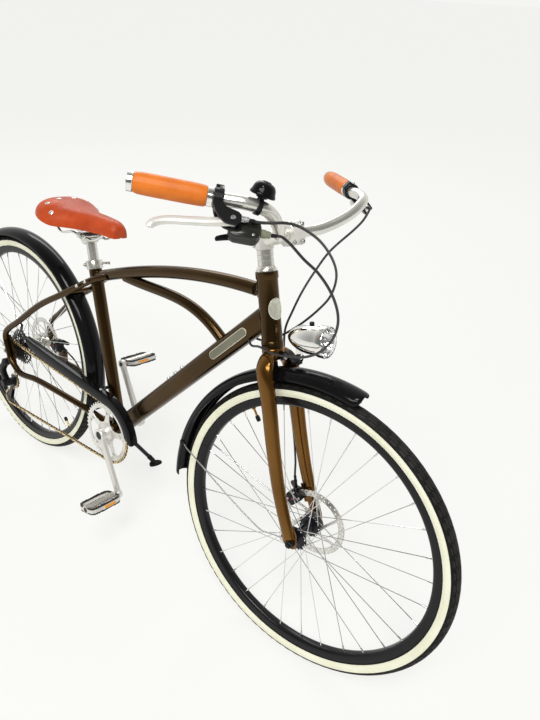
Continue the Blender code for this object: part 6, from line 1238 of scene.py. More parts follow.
# Gear shifter.  A smooth dark pod under the right mount with a joint line, a cable outlet and two screws, and
# the thumb trigger with a ribbed pad.
pod_plastic = finish("dark olive-grey plastic", (0.014, 0.015, 0.011), (0.026, 0.028, 0.019), 0.2, 0.1,
    grain=1500, bump=0.03, specular=0.45)
adjuster_plastic = finish("olive-grey adjuster plastic", (0.17, 0.18, 0.12), (0.24, 0.25, 0.17), 0.32, 0.0,
    grain=1500, bump=0.03, specular=0.3)
mount = Mount(-1)
POD = (-0.048, 0.042, -0.0165)
pod_outline = mm((-26, -8.75), (-24.18, -14), (-18.2, -17.5), (23.4, -17.5), (26, -14.875), (26, 8.75),
    (22.88, 14.35), (15.6, 17.5), (-13, 17.5), (-21.84, 14), (-26, 7))
bm = bmesh.new()
for low, high in mm((-11, 1.6), (2.2, 11)):
    rings = []
    for level, inset in ((low, 0.9), (low + 0.0016, 0.985), (low + 0.003, 1.0), (high - 0.003, 1.0),
            (high - 0.0014, 0.98), (high, 0.9)):
        rings.append([mount.at(POD[0] + inset * u, POD[1] + inset * v, POD[2] + level)
            for u, v in pod_outline])
    layer(bm, rings)
plate(bm, [(0.97 * u, 0.97 * v) for u, v in pod_outline], mount.at(*POD), mount.u, mount.v, 0.018)
outlet = (POD[0] - 0.022, POD[1] - 0.003, POD[2])
turn(bm, mm((0, 0), (7, 0), (7, 12), (5.8, 12.6), (5.8, 18.8), (4.8, 20), (3, 20), (3, 15), (0, 15)),
    mount.at(*outlet), -mount.u, 28, finish=2)
for u, v in mm((-14, 10), (16, -10)):
    bolt(bm, mount.at(POD[0] + u, POD[1] + v, POD[2] + 0.0108), mount.w, 0.0026, 0.0012, finish=1)
disc(bm, mount.at(-0.034, 0.044, POD[2] - 0.011), mount.w, 0.0025, -0.007, 0.002)
piece("shifter_pod", bm, FORK, "fork_and_bars", [pod_plastic, bolt_steel, adjuster_plastic],
    (), 50)

bm = bmesh.new()
centre = mount.at(-0.034, 0.044, POD[2] - 0.011) - (GAP + 0.003) * mount.w
disc(bm, centre, mount.w, 0.006, -0.003, 0.003)
arm = mm((-4, -4), (4, -5.2), (14, -1.5), (22, 2), (28.5, 6), (30, 9.5), (29, 13), (25.5, 13), (16, 10),
    (-2, 5.2))
plate(bm, arm, centre, mount.u, mount.v, 0.004)
for i in range(5):
    seat = centre + (0.019 + 0.002 * i) * mount.u + (0.005 + 0.0013 * i) * mount.v
    rod(bm, [seat - 0.0025 * mount.v - 0.002 * mount.w, seat + 0.003 * mount.v - 0.002 * mount.w], 0.0005,
        6, across=mount.u)
piece("shift_trigger_arm", bm, FORK, "trigger", [black_plastic], ["shift_trigger"])


# Bell.  A black two-tier dome with a rolled lip, on a post with a ring round the bar, and a thumb lever that
# turns on the post under the dome.
bell_path = bar_half(-1, 2)
bell_base = bell_path[7]
bell_along = (bell_path[8] - bell_path[6]).normalized()
bell_up = (UP - UP.dot(bell_along) * bell_along).normalized()
BELL_LIFT = 0.0178
bm = bmesh.new()
bush(bm, bell_base, bell_along, 0.0122, 0.0139, -0.004, 0.004, 0.0003, 0.0004, finish=1)
turn(bm, [(0, 0.0126), (0.006, 0.0126), (0.006, BELL_LIFT + 0.004), (0, BELL_LIFT + 0.004)], bell_base,
    bell_up, 28, finish=1)
bell_rim = bell_base + BELL_LIFT * bell_up
turn(bm, mm((20, 0.6), (20.6, 0), (21.3, 0.6), (21.3, 3), (20.6, 4.8), (19.7, 6.2), (19.1, 9), (18, 13.2),
    (15.8, 17.2), (12.5, 19.8), (8.5, 21), (7.8, 21.3), (7, 22.4), (4, 23), (0, 23.1)), bell_rim, bell_up,
    72)
turn(bm, mm((20, 0.6), (18.8, 8), (16.5, 14), (0, 18)), bell_rim, bell_up, 72)
piece("bell_dome_and_base", bm, FORK, "fork_and_bars", [gloss_black, black_plastic], ["bell"])

bm = bmesh.new()
level = BELL_LIFT - GAP - 0.003
turn(bm, [(0.0063, level), (0.0092, level), (0.0092, level + 0.003), (0.0063, level + 0.003)], bell_base,
    bell_up, 40, ring=True)
bell_side = bell_along.cross(bell_up).normalized()
rest = bell_base + (level + 0.0015) * bell_up
sweep(bm, smooth([rest + 0.0082 * bell_side, rest + 0.016 * bell_side, rest + 0.026 * bell_side], 4),
    oval(0.004, 0.0013, 16), bell_along, scale=[0.8, 0.82, 0.85, 0.9, 0.95, 1.0, 1.0, 0.9, 0.6])
piece("bell_thumb_arm", bm, FORK, "bell_thumb_lever", [black_plastic], ["bell_lever"])


# Headlight.  A chromed bullet shell with a raised crown line and a screwed bezel, a bowl and bulb behind a
# clear ribbed glass, and a black button on top; it tilts in a black yoke on a strap from the fork crown.
LAMP_RADIUS = 0.033
LAMP_TILT = radians(12)
LAMP_AXIS = ray(LAMP_TILT)
LAMP_UPRIGHT = Vector((-sin(LAMP_TILT), 0, cos(LAMP_TILT)))
LAMP_HINGE = HEAD_LOW + xyz(66, 0, 3)
LAMP_MIDDLE = LAMP_HINGE + 0.0425 * LAMP_UPRIGHT + 0.031 * LAMP_AXIS
SWITCH_BASE = LAMP_MIDDLE - 0.002 * LAMP_AXIS + 0.91 * LAMP_RADIUS * LAMP_UPRIGHT
mirror = finish("silvered reflector", (0.88, 0.88, 0.88), (0.93, 0.93, 0.92), 0.05, 1.0, grain=400,
    bump=0.003)
bullet = mm((0, -55), (4.5, -54.8), (9.9, -52.5), (15, -46.8), (19.8, -39), (24.5, -28.5), (28, -17.5),
    (30.2, -4), (31.3, 11), (31.6, 21), (31.8, 22.2), (32.9, 23), (33, 25), (33, 34.5), (32.6, 36.2),
    (31.8, 37), (31, 36.6), (31, 27), (29.6, 20), (27.6, -6), (19.1, -31), (0, -43))
bm = bmesh.new()
turn(bm, bullet, LAMP_MIDDLE, LAMP_AXIS, 96)
line = [LAMP_MIDDLE + along * LAMP_AXIS + radius * LAMP_UPRIGHT for radius, along in bullet[2:10]]
sweep(bm, line, oval(0.0026, 0.0009, 12), LEFT)
block(bm, LAMP_HINGE + 0.012 * LAMP_UPRIGHT, (0.013, 0.008, 0.024), LAMP_AXIS, LAMP_UPRIGHT, corner=0.003)
turn(bm, mm((2.8, -4), (6.5, -4), (6.5, 4), (2.8, 4)), LAMP_HINGE, LEFT, 40, ring=True)
bolt(bm, LAMP_MIDDLE + 0.0305 * LAMP_AXIS - 0.0326 * LAMP_UPRIGHT, -LAMP_UPRIGHT, 0.0022, 0.0012)
piece("headlight_bullet_shell", bm, FORK, "headlight", [chrome], ["headlight_shell"], 35)

bm = bmesh.new()
turn(bm, mm((30, 29), (28, 23), (23, 13), (15, 4), (7, 0), (0, -0.4)), LAMP_MIDDLE, LAMP_AXIS, 72)
piece("headlight_reflector_bowl", bm, FORK, "headlight", [mirror])

clear_glass = finish("clear lamp glass", (0.93, 0.95, 0.95), (0.98, 0.98, 0.98), 0.03, patch=3, grain=300,
    bump=0.01)
fill(clear_glass.node_tree.nodes["Principled BSDF"], {"Transmission Weight": 1, "IOR": 1.45})
glass_radius = 0.0307
rings = []
for share, along in ((0.02, 0.0414), (0.3, 0.0413), (0.6, 0.0406), (0.8, 0.0392), (0.92, 0.0374),
        (1.0, 0.0354), (1.0, 0.0332), (0.92, 0.0344), (0.8, 0.0362), (0.6, 0.0376), (0.3, 0.0383),
        (0.02, 0.0384)):
    ring = []
    for i in range(96):
        a = 2 * pi * i / 96
        across, tall = share * glass_radius * cos(a), share * glass_radius * sin(a)
        rib = 0.0005 * cos(2 * pi * across / 0.005) if along > 0.0385 and share < 0.95 else 0
        ring.append(LAMP_MIDDLE + (along + rib) * LAMP_AXIS + across * LEFT + tall * LAMP_UPRIGHT)
    rings.append(ring)
bm = bmesh.new()
layer(bm, rings)
piece("headlight_ribbed_glass", bm, FORK, "headlight", [clear_glass], ["headlight_lens"], 60)
bm = bmesh.new()
turn(bm, mm((0, 0), (3, 0.4), (3.2, 12), (2.2, 16.5), (0, 17.6)), LAMP_MIDDLE, LAMP_AXIS, 28)
piece("headlight_bulb", bm, FORK, "headlight", [clear_glass])

bm = bmesh.new()
turn(bm, mm((0, -6), (5, -6), (5, 4), (4.6, 5.2), (3.6, 6.2), (0, 6.5)), SWITCH_BASE, LAMP_UPRIGHT, 36)
piece("headlight_button_cap", bm, FORK, "switch", [black_plastic], ["headlight_switch"])

root = on_fork(HEAD_TUBE_LOW - CROWN_HEIGHT / 2 - 0.004, 0.0238)
bm = bmesh.new()
strap = [root + 0.002 * HEAD_FORWARD - 0.008 * HEAD_AXIS, root + 0.003 * HEAD_FORWARD + 0.002 * HEAD_AXIS,
    root + 0.014 * HEAD_FORWARD + 0.01 * HEAD_AXIS, LAMP_HINGE - 0.012 * UP - 0.01 * FORWARD, LAMP_HINGE
    - 0.01 * UP]
sweep(bm, smooth(strap, 6), mm((-9, -1.6), (9, -1.6), (9, 1.6), (-9, 1.6)))
bolt(bm, root + 0.0038 * HEAD_FORWARD - 0.004 * HEAD_AXIS, HEAD_FORWARD, 0.005, 0.004, finish=1)
for way in (-1, 1):
    block(bm, LAMP_HINGE + way * 0.0059 * LEFT - 0.002 * UP, (0.014, 0.0032, 0.018), corner=0.005)
block(bm, LAMP_HINGE - 0.0118 * UP, (0.014, 0.015, 0.004))
disc(bm, LAMP_HINGE, LEFT, 0.0026, -0.0075, 0.0075)
turn(bm, mm((0, 7.5), (6.2, 7.5), (6.6, 8.5), (6.6, 12.5), (5.8, 14), (0, 14.2)), LAMP_HINGE, -LEFT, 12)
bolt(bm, LAMP_HINGE + 0.0075 * LEFT, LEFT, 0.0045, 0.0035, finish=1)
piece("headlight_yoke_bracket", bm, FORK, "fork_and_bars", [cast_black, bolt_steel],
    ["headlight_bracket"])


# Chainring.  A satin aluminium ring of forty-four teeth on five waisted arms, thicker inside its teeth, with
# a bolt on every arm.
CHAIN_PITCH = 0.0127
LINK_RADIUS = 0.0042
WAIST = 0.0024
PLATE_HALF = 0.0009
CHAINLINE_FRONT = 0.0475
CHAINLINE_REAR = 0.0575
COG_SPACING = 0.005
CRANK_ANGLE = radians(-55)


def pitch_radius(teeth):
    return CHAIN_PITCH / (2 * sin(pi / teeth))


def toothed(teeth, start=0.0):
    """Outline of a sprocket with rounded hollows for the chain's rollers."""
    pitch = pitch_radius(teeth)
    outline = []
    for i in range(teeth):
        for share, drop in ((-0.3, 0.0022), (-0.18, 0.004), (0.0, 0.0047), (0.18, 0.004), (0.3, 0.0022),
                (0.42, -0.0006), (0.5, -0.0014), (0.58, -0.0006)):
            a = start + 2 * pi * (i + share) / teeth
            outline.append(((pitch - drop) * cos(a), (pitch - drop) * sin(a)))
    return outline


def holed_plate(bm, centre, outer, inner, half, finish=0):
    """A flat plate between two outlines with the same number of points."""
    rings = []
    for outline, level in ((inner, -half), (outer, -half), (outer, half), (inner, half)):
        rings.append([centre + Vector((u, level, v)) for u, v in outline])
    layer(bm, rings, closed=True, finish=finish)


def circle(radius, count, start=0.0):
    return [(radius * cos(start + 2 * pi * i / count), radius * sin(start + 2 * pi * i / count))
        for i in range(count)]


ring_centre = BB - CHAINLINE_FRONT * LEFT
bm = bmesh.new()
teeth = toothed(44)
turned = [(0.076 * cos(atan2(v, u)), 0.076 * sin(atan2(v, u))) for u, v in teeth]
holed_plate(bm, ring_centre, teeth, turned, PLATE_HALF)
holed_plate(bm, ring_centre, turned, [(0.0735 / 0.076 * u, 0.0735 / 0.076 * v) for u, v in turned], 0.0012)
holed_plate(bm, ring_centre, circle(0.033, 60), circle(0.0193, 60), 0.0012)
for i in range(5):
    middle = CRANK_ANGLE + 2 * pi * i / 5
    way = ray(middle)
    cross = Vector((-sin(middle), 0, cos(middle)))
    arm = mm((30, -12.5), (40, -9), (55, -7.8), (68, -10.5), (74.5, -16), (74.5, 16), (68, 10.5), (55, 7.8),
        (40, 9), (30, 12.5))
    plate(bm, arm, ring_centre, way, cross, 0.0024)
    bolt(bm, ring_centre + 0.064 * way - 0.0011 * LEFT, -LEFT, 0.0045, 0.0016, finish=1)
piece("chainring_plate", bm, BIKE, "crankset", [satin_silver, bolt_steel], ["chainring"])


# Cranks.  Satin cast aluminium arms with rounded edges that taper to the pedal's eye, each with a boss and a
# dark cap over its bolt, its darkness painted as the shade of the hollow there; the left one carries the
# spindle.
CRANK_LENGTH = 0.17
CRANK_ROOT_SIDE = 0.066
CRANK_END_SIDE = 0.0745
CRANK_DIRECTION = ray(CRANK_ANGLE)
PEDAL_LENGTH = 0.094


def crank_arm(bm, side, direction):
    root = BB + side * CRANK_ROOT_SIDE * LEFT
    tip = BB + CRANK_LENGTH * direction + side * CRANK_END_SIDE * LEFT
    arm = [root.lerp(tip, share) for share in (0.0, 0.08, 0.25, 0.5, 0.75, 0.92, 1.0)]
    sweep(bm, arm, box_section(0.012, 0.023, 0.28, 5), LEFT, scale=[1.02, 1.05, 0.94, 0.88, 0.86, 0.88,
        0.85])
    axis = side * LEFT
    turn(bm, mm((11.8, 60), (19.5, 60), (19.5, 73), (18.4, 74.3), (12.8, 74.5), (11.8, 73.6)), BB, axis, 56,
        ring=True)
    turn(bm, mm((0, 60), (11.7, 60), (11.7, 73), (10.7, 73.8), (5, 73.8), (4.2, 72.7), (0, 72.7)), BB, axis,
        40, finish=1)
    disc(bm, tip, axis, 0.0125, -0.0055, 0.0056, 0.0008)
    disc(bm, tip, axis, 0.006, -0.0062, -0.005, 0.0004, finish=1)
    turn(bm, mm((0, 0), (7.5, 5.6), (7.5, 10), (4.5, 11.2), (4.5, 94), (0, 94)), tip, axis, 24, finish=2)


# Dark caps: the pedals' end caps, and on the cranks a dark disc over each bolt that also stands as painted
# shade of the hollow.
dark_cap_and_painted_shade = finish("dark cap and painted hollow shade", (0.016, 0.016, 0.018), (0.026, 0.026, 0.028), 0.35, 0.3, grain=1800,
    bump=0.03, specular=0.3)
bm = bmesh.new()
crank_arm(bm, -1, CRANK_DIRECTION)
turn(bm, mm((8.8, 36), (15, 36), (15, 44.5), (19, 44.5), (19, 48.7), (26.2, 48.7), (27, 49.5), (26.8, 52),
    (22.5, 56), (19, 60), (8.8, 60)), BB, -LEFT, 64, ring=True)
piece("crank_arm_right", bm, BIKE, "crankset", [satin_silver, dark_cap_and_painted_shade, bolt_steel],
    ["crank_right"])
bm = bmesh.new()
crank_arm(bm, 1, -CRANK_DIRECTION)
turn(bm, mm((0, -65.5), (8.5, -65.5), (8.5, 36), (15, 36), (15, 58), (19, 60), (0, 60)), BB, LEFT, 56)
piece("crank_arm_left", bm, BIKE, "crankset", [satin_silver, dark_cap_and_painted_shade, bolt_steel],
    ["crank_left"])


# Pedals.  An open cage of satin cast aluminium round a polished barrel that runs on the crank's axle, with
# dark toothed rims top and bottom, webs to both ends, a dark cap and an amber reflector on each long side.
# Dark steel for the pedals' toothed rims, and also as painted shade: the chain's rollers and pins and the
# saddle rivets' slots.
dark_steel_and_painted_shade = finish("dark cage steel and painted shade", (0.03, 0.029, 0.028), (0.055, 0.053, 0.051), 0.32, 0.6, grain=1600,
    bump=0.05)
CAGE_HALF = 0.033
CAGE_CORNER = 0.36
CAGE_STEPS = 144
PEDAL_TILT = radians(18)


def cage_ring(half_out, half_ahead, tooth=0.0):
    """Points of a rounded rectangle, each with the height of the tooth that stands there."""
    loop = []
    for i in range(CAGE_STEPS):
        a = 2 * pi * (i + 0.5) / CAGE_STEPS
        across = abs(sin(a)) ** CAGE_CORNER * (1 if sin(a) > 0 else -1)
        ahead_share = abs(cos(a)) ** CAGE_CORNER * (1 if cos(a) > 0 else -1)
        loop.append((half_ahead * ahead_share, half_out * across, tooth if i % 4 < 2 and abs(across) < 0.9
            else 0.0))
    return loop


for side, name, direction in ((-1, "right", CRANK_DIRECTION), (1, "left", -CRANK_DIRECTION)):
    ahead = ray(PEDAL_TILT)
    square = Vector((-sin(PEDAL_TILT), 0, cos(PEDAL_TILT)))
    out = side * LEFT
    centre = BB + CRANK_LENGTH * direction + (CRANK_END_SIDE + 0.012 + PEDAL_LENGTH / 2) * out
    half = PEDAL_LENGTH / 2
    bm = bmesh.new()
    turn(bm, [(0.005, -half + 0.001), (0.0112, -half + 0.001), (0.0116, -half + 0.004),
        (0.0106, -half + 0.014), (0.0106, half - 0.034), (0.0116, half - 0.018), (0.0124, half - 0.01),
        (0.0124, half - 0.001), (0.0114, half), (0.0078, half), (0.0074, half - 0.002), (0, half - 0.002),
        (0, half - 0.008), (0.005, half - 0.008)], centre, out, 44, ring=True, finish=4)
    turn(bm, [(0, half - 0.003), (0.0074, half - 0.003), (0.0074, half - 0.0004), (0.006, half + 0.0008),
        (0, half + 0.0008)], centre, out, 36, finish=1)
    for low, high, wall, tooth, paint in ((-0.0052, 0.0052, 0.002, 0.0, 0), (0.0046, 0.0088, 0.0036, 0.0014,
            2), (-0.0046, -0.0088, 0.0036, -0.0014, 2)):
        rings = []
        for inset, level, rise in ((0.0, low, 0), (0.0, high, tooth), (wall, high, tooth), (wall, low, 0)):
            rings.append([centre + u * ahead + v * out + (level + (t if rise else 0)) * square
                for u, v, t in cage_ring(half - inset, CAGE_HALF - inset, rise)])
        layer(bm, rings, closed=True, finish=paint)
    for end, reach, depth in ((1, 0.019, 0.0046), (-1, 0.0135, 0.004)):
        web = [(-0.0305, half - 0.003), (0.0305, half - 0.003), (0.029, half - 0.012),
            (0.012, half - reach), (-0.012, half - reach), (-0.029, half - 0.012)]
        plate(bm, [(u, end * v) for u, v in (web if end > 0 else web[::-1])], centre, ahead, out, depth)
    for end in (-1, 1):
        face = centre + end * (CAGE_HALF + 0.0006) * ahead - 0.007 * out
        block(bm, face, (0.003, 0.04, 0.0104), ahead, square, corner=0.001)
        block(bm, face + end * 0.0012 * ahead, (0.0024, 0.035, 0.008), ahead, square, finish=3,
            corner=0.0008)
    piece("pedal_cage_" + name, bm, BIKE, name + "_pedal", [satin_silver, dark_cap_and_painted_shade, dark_steel_and_painted_shade, amber,
        polished], ["pedal_" + name])


# Chain.  Bronze-coloured roller chain: waisted outer and inner plates by turns, with a roller and a riveted
# pin at every pitch, laid round the ring, the smallest sprocket and both jockey wheels.  The inner plates are
# a darker copy of the bronze, and the rollers and pins are dark steel; both are painted shade in the chain's
# gaps.
chain_bronze = finish("pale bronze chain plating", (0.66, 0.5, 0.26), (0.78, 0.61, 0.34), 0.26, 0.9,
    patch=30, grain=1500, bump=0.05)
# The inner plates: a darker copy of the chain's bronze, painted shade between the outer plates.
inner_plates_painted_shade = finish("inner link plating darkened as painted shade", (0.2, 0.125, 0.05), (0.28, 0.18, 0.075), 0.3, 0.9, patch=30,
    grain=1500, bump=0.05)
UPPER_JOCKEY = xyz(0, 0, 235)
LOWER_JOCKEY = Vector((-0.03, 0, 0.16))
chain_wheels = [(BB, pitch_radius(44), 1, -CHAINLINE_FRONT), (REAR_HUB, pitch_radius(14), 1,
    -CHAINLINE_REAR), (UPPER_JOCKEY, pitch_radius(11), -1, -CHAINLINE_REAR),
    (LOWER_JOCKEY, pitch_radius(11), 1, -CHAINLINE_REAR)]


def tangent(first, second):
    """Angles at which a belt leaves the first wheel and meets the second."""
    (c1, r1, s1, _), (c2, r2, s2, _) = first, second
    ahead = Vector((c2.x - c1.x, 0, c2.z - c1.z))
    length = ahead.length
    ahead.normalize()
    square = Vector((-ahead.z, 0, ahead.x))
    share = (s2 * r2 - s1 * r1) / length
    normal = share * ahead + sqrt(1 - share * share) * square
    leave, meet = -s1 * normal, -s2 * normal
    return atan2(leave.z, leave.x), atan2(meet.z, meet.x)


pitch_line = []
spans = [tangent(chain_wheels[i], chain_wheels[(i + 1) % 4]) for i in range(4)]
for i, (centre, radius, sense, line) in enumerate(chain_wheels):
    meet, leave = spans[i - 1][1], spans[i][0]
    turn_by = ((leave - meet) * sense) % (2 * pi)
    for k in range(49):
        a = meet + sense * turn_by * k / 48
        pitch_line.append(Vector((centre.x + radius * cos(a), line, centre.z + radius * sin(a))))
lengths = [0.0]
for start, end in zip(pitch_line, pitch_line[1:] + pitch_line[:1]):
    lengths.append(lengths[-1] + (end - start).length)
links = 2 * round(lengths[-1] / CHAIN_PITCH / 2)


def chain_point(along):
    along %= lengths[-1]
    low = max(i for i in range(len(pitch_line)) if lengths[i] <= along)
    share = (along - lengths[low]) / (lengths[low + 1] - lengths[low])
    return pitch_line[low].lerp(pitch_line[(low + 1) % len(pitch_line)], share)


pins = [chain_point(lengths[-1] * i / links) for i in range(links)]
bm = bmesh.new()
for i, pin in enumerate(pins):
    follow = pins[(i + 1) % links]
    way = (follow - pin).normalized()
    square = way.cross(LEFT).normalized()
    middle = (pin + follow) / 2
    half = (follow - pin).length / 2
    outline = []
    for sign, turns in ((1, (-60, -30, 0, 30, 60)), (-1, (120, 150, 180, 210, 240))):
        outline += [(sign * half + LINK_RADIUS * cos(radians(a)), 0.0041 * sin(radians(a))) for a in turns]
        outline.append((0, WAIST * sign))
    level = 0.0028 if i % 2 else 0.0017
    for face in (-1, 1):
        plate(bm, outline, middle + face * level * LEFT, way, square, 0.001, finish=0 if i % 2 else 2)
    # Dark rollers and pins at every pitch, as painted shade in the chain's gaps.
    disc(bm, pin, LEFT, 0.0018, -0.0035, 0.0035, 0.0003, 10, finish=1)
    disc(bm, pin, LEFT, 0.0034, -0.0012, 0.0012, 0.0002, 14, finish=1)
piece("chain_links", bm, BIKE, "frame", [chain_bronze, dark_steel_and_painted_shade, inner_plates_painted_shade], ["chain"])


# Sprockets and jockey wheels.  Seven blackened steel sprockets on one carrier with a lock ring outside, and
# two black moulded guide wheels with pressed hubs.
cog_steel = finish("blackened sprocket steel", (0.045, 0.042, 0.04), (0.08, 0.076, 0.07), 0.3, 0.8,
    grain=2200, bump=0.04, specular=0.3)
bm = bmesh.new()
turn(bm, mm((15.8, -58.7), (19, -58.7), (20, -57.5), (20, -26.3), (15.8, -26.3)), REAR_HUB, LEFT, 48,
    ring=True)
for i, tooth_count in enumerate((14, 16, 18, 20, 22, 24, 28)):
    centre = REAR_HUB + (COG_SPACING * i - CHAINLINE_REAR) * LEFT
    outline = toothed(tooth_count)
    count = len(outline)
    bed = pitch_radius(tooth_count) - 0.0075
    if bed > 0.0215:
        holed_plate(bm, centre, outline, circle(bed, count), PLATE_HALF)
        for k in range(6):
            a = 2 * pi * k / 6 + 0.3 * i
            way = ray(a)
            block(bm, centre + (bed + 0.0195) / 2 * way, (bed - 0.018, 0.0014, 0.007), way, way.cross(LEFT),
                corner=0.001)
    else:
        holed_plate(bm, centre, outline, circle(0.0195, count), PLATE_HALF)
piece("sprocket_stack", bm, BIKE, "sprockets", [cog_steel], ["cassette"])

for centre, name in ((UPPER_JOCKEY, "upper"), (LOWER_JOCKEY, "lower")):
    middle = centre - CHAINLINE_REAR * LEFT
    bm = bmesh.new()
    outline = toothed(11)
    holed_plate(bm, middle, outline, circle(0.007, len(outline)), PLATE_HALF)
    bush(bm, middle, LEFT, 0.003, 0.0085, -0.0038, 0.0038, 0.0005, 0.0008, 36)
    for i in range(5):
        a = 2 * pi * i / 5
        disc(bm, middle + 0.012 * ray(a), LEFT, 0.0018, -0.0014, 0.0014, 0.0004, 14)
    piece("jockey_wheel_" + name, bm, BIKE, name + "_jockey", [black_plastic],
        ["jockey_" + name])


# Derailleur.  A black body on the hanger bolt whose two link arms carry the cage's knuckle, with the cable's
# adjuster behind them, and a cage of two dark steel plates round both guide wheels.
CAGE_OUTER = CHAINLINE_REAR + 0.0058
SHIFT_TRAVEL = 0.027
HANGER_BOLT = REAR_HUB + xyz(-3, 0, -41)
HANGER_FACE = 0.073
bm = bmesh.new()
turn(bm, [(0, GAP), (0.0112, GAP), (0.012, 0.0012), (0.012, 0.014), (0.0104, 0.0172), (0.007, 0.018),
    (0.004, 0.018), (0.0034, 0.014), (0, 0.014)], HANGER_BOLT - HANGER_FACE * LEFT, -LEFT, 40)
end = SHIFT_TRAVEL + 0.008
turn(bm, [(0.0083, 0.0015), (0.0116, 0.0015), (0.0122, 0.0023), (0.0122, end - 0.002),
    (0.0108, end - 0.0004), (0.006, end), (0, end), (0, end - 0.0024), (0.0083, end - 0.0025)], UPPER_JOCKEY
    - CAGE_OUTER * LEFT, -LEFT, 40)
arm_start = HANGER_BOLT - (HANGER_FACE + 0.0105) * LEFT
arm_end = UPPER_JOCKEY - (HANGER_FACE + 0.008) * LEFT
belly = (arm_start + arm_end) / 2 + xyz(-14, -4, 4)
for level, depth in mm((6.2, 6), (-5.2, 5.2)):
    line = smooth([arm_start + level * LEFT, belly + level * LEFT, arm_end + level * LEFT], 8)
    sweep(bm, line, oval(0.0034, 0.0095, 20))
sweep(bm, smooth([arm_start, belly, arm_end], 8), oval(0.004, 0.006, 16))
turn(bm, mm((0, 0), (4.5, 1), (4.5, 13), (3.6, 14.2), (3.6, 18), (2.2, 19), (0, 19)), belly + xyz(-6, 0, 4),
    xyz(-18, 0, 6), 24)
bolt(bm, HANGER_BOLT - (HANGER_FACE + 0.015) * LEFT, -LEFT, 0.007, 0.0028, finish=1)
for offset in (-0.004, 0.0045):
    bolt(bm, belly + Vector((-0.0035, -0.007 + offset / 2, 0.001 + offset)), -LEFT, 0.002, 0.0014, finish=1)
piece("derailleur_linkage", bm, BIKE, "frame", [satin_black, bolt_steel],
    ["derailleur_body"])

bm = bmesh.new()
reach = SHIFT_TRAVEL + 0.003
turn(bm, [(0.0042, GAP), (0.0076, GAP), (0.008, 0.0012), (0.008, reach), (0, reach), (0, 0.0125),
    (0.0042, 0.0125)], UPPER_JOCKEY - CAGE_OUTER * LEFT, -LEFT, 36, ring=True)
piece("derailleur_slider", bm, BIKE, "shift_knuckle", [satin_black], ["derailleur_knuckle"])

line_way = (LOWER_JOCKEY - UPPER_JOCKEY).normalized()
line_square = line_way.cross(LEFT)
span = (LOWER_JOCKEY - UPPER_JOCKEY).length
half_outline = [(-0.01, 0.002), (-0.0092, 0.005), (-0.006, 0.0088), (-0.001, 0.01), (0.005, 0.0098),
    (0.015, 0.0078), (span * 0.35, 0.0065), (span * 0.6, 0.0066), (span - 0.014, 0.0088),
    (span - 0.008, 0.01), (span + 0.003, 0.01), (span + 0.0072, 0.008), (span + 0.0098, 0.004)]
bm = bmesh.new()
for face in (-1, 1):
    middle = UPPER_JOCKEY + (face * 0.00505 - CHAINLINE_REAR) * LEFT
    plate(bm, half_outline + [(u, -v) for u, v in reversed(half_outline)], middle, line_way, line_square,
        0.0014)
    for centre in (UPPER_JOCKEY, LOWER_JOCKEY):
        disc(bm, centre + (face * 0.0058 - CHAINLINE_REAR) * LEFT, face * LEFT, 0.0042, -0.0006, 0.0014,
            0.0005, 24)
for centre in (UPPER_JOCKEY, LOWER_JOCKEY):
    disc(bm, centre - CHAINLINE_REAR * LEFT, LEFT, 0.0027, -0.0052, 0.0052)
disc(bm, UPPER_JOCKEY, -LEFT, 0.004, CAGE_OUTER - 0.0006, CAGE_OUTER + 0.0118)
piece("derailleur_cage_plates", bm, BIKE, "chain_tensioner", [cog_steel], ["derailleur_cage"])


# Chain guard.  A gloss black L-section guard over the upper run and round the front of the ring, with rolled
# edges, a rounded end and two screwed tabs.
GUARD_OUTER = 0.0565
GUARD_REACH = 0.12
SKIRT_DEPTH = 0.028
GUARD_TAIL = REAR_HUB + xyz(60, 0, 63)
line = []
for i in range(41):
    a = radians(10 + 78.6 * i / 40)
    line.append(BB + GUARD_REACH * ray(a))
last = line[-1]
line += [last.lerp(GUARD_TAIL, i / 24) for i in range(1, 25)]
bm = bmesh.new()
skirt = [0.45 + 0.55 * min(1, i / 5) for i in range(len(line))]
for back, size in enumerate((0.35, 0.62, 0.82, 0.94)):
    skirt[-1 - back] = size
rings = []
for i, point in enumerate(line):
    before, after = line[max(i - 1, 0)], line[min(i + 1, len(line) - 1)]
    way = (after - before).normalized()
    inward = way.cross(LEFT)
    depth = SKIRT_DEPTH * skirt[i]
    shape = [(0.0215, 0), (0.003, 0), (0.0009, 0.0009), (0, 0.003), (0, depth - 0.0012), (0.0004, depth),
        (0.0024, depth), (0.0026, depth - 0.0016), (0.0015, depth - 0.002), (0.0015, 0.0034),
        (0.0034, 0.0015), (0.0199, 0.0015), (0.0203, 0.0028), (0.0213, 0.0026)]
    rings.append([point + (u - GUARD_OUTER) * LEFT + v * inward for u, v in shape])
layer(bm, rings)
tube_x = BB.x - 0.119 * cos(HEAD_ANGLE) / sin(HEAD_ANGLE)
block(bm, Vector((tube_x, -0.0275, BB.z + 0.1205)), (0.014, 0.018, 0.0024))
sweep(bm, [GUARD_TAIL + Vector((0.014, 0.0008 - GUARD_OUTER, -0.006)), xyz(60, -61, 440),
    xyz(66, -61.5, 462)], mm((-1.1, -6), (1.1, -6), (1.1, 6), (-1.1, 6)))
bolt(bm, GUARD_TAIL + Vector((0.014, -GUARD_OUTER - 0.0002, -0.006)), -LEFT, 0.0045, 0.0026, finish=1)
bolt(bm, Vector((tube_x + 0.002, -0.045, BB.z + 0.1205)), UP, 0.0042, 0.0028, finish=1)
piece("chain_guard_shell", bm, BIKE, "frame", [gloss_black, bolt_steel], ["chain_guard"], 40)


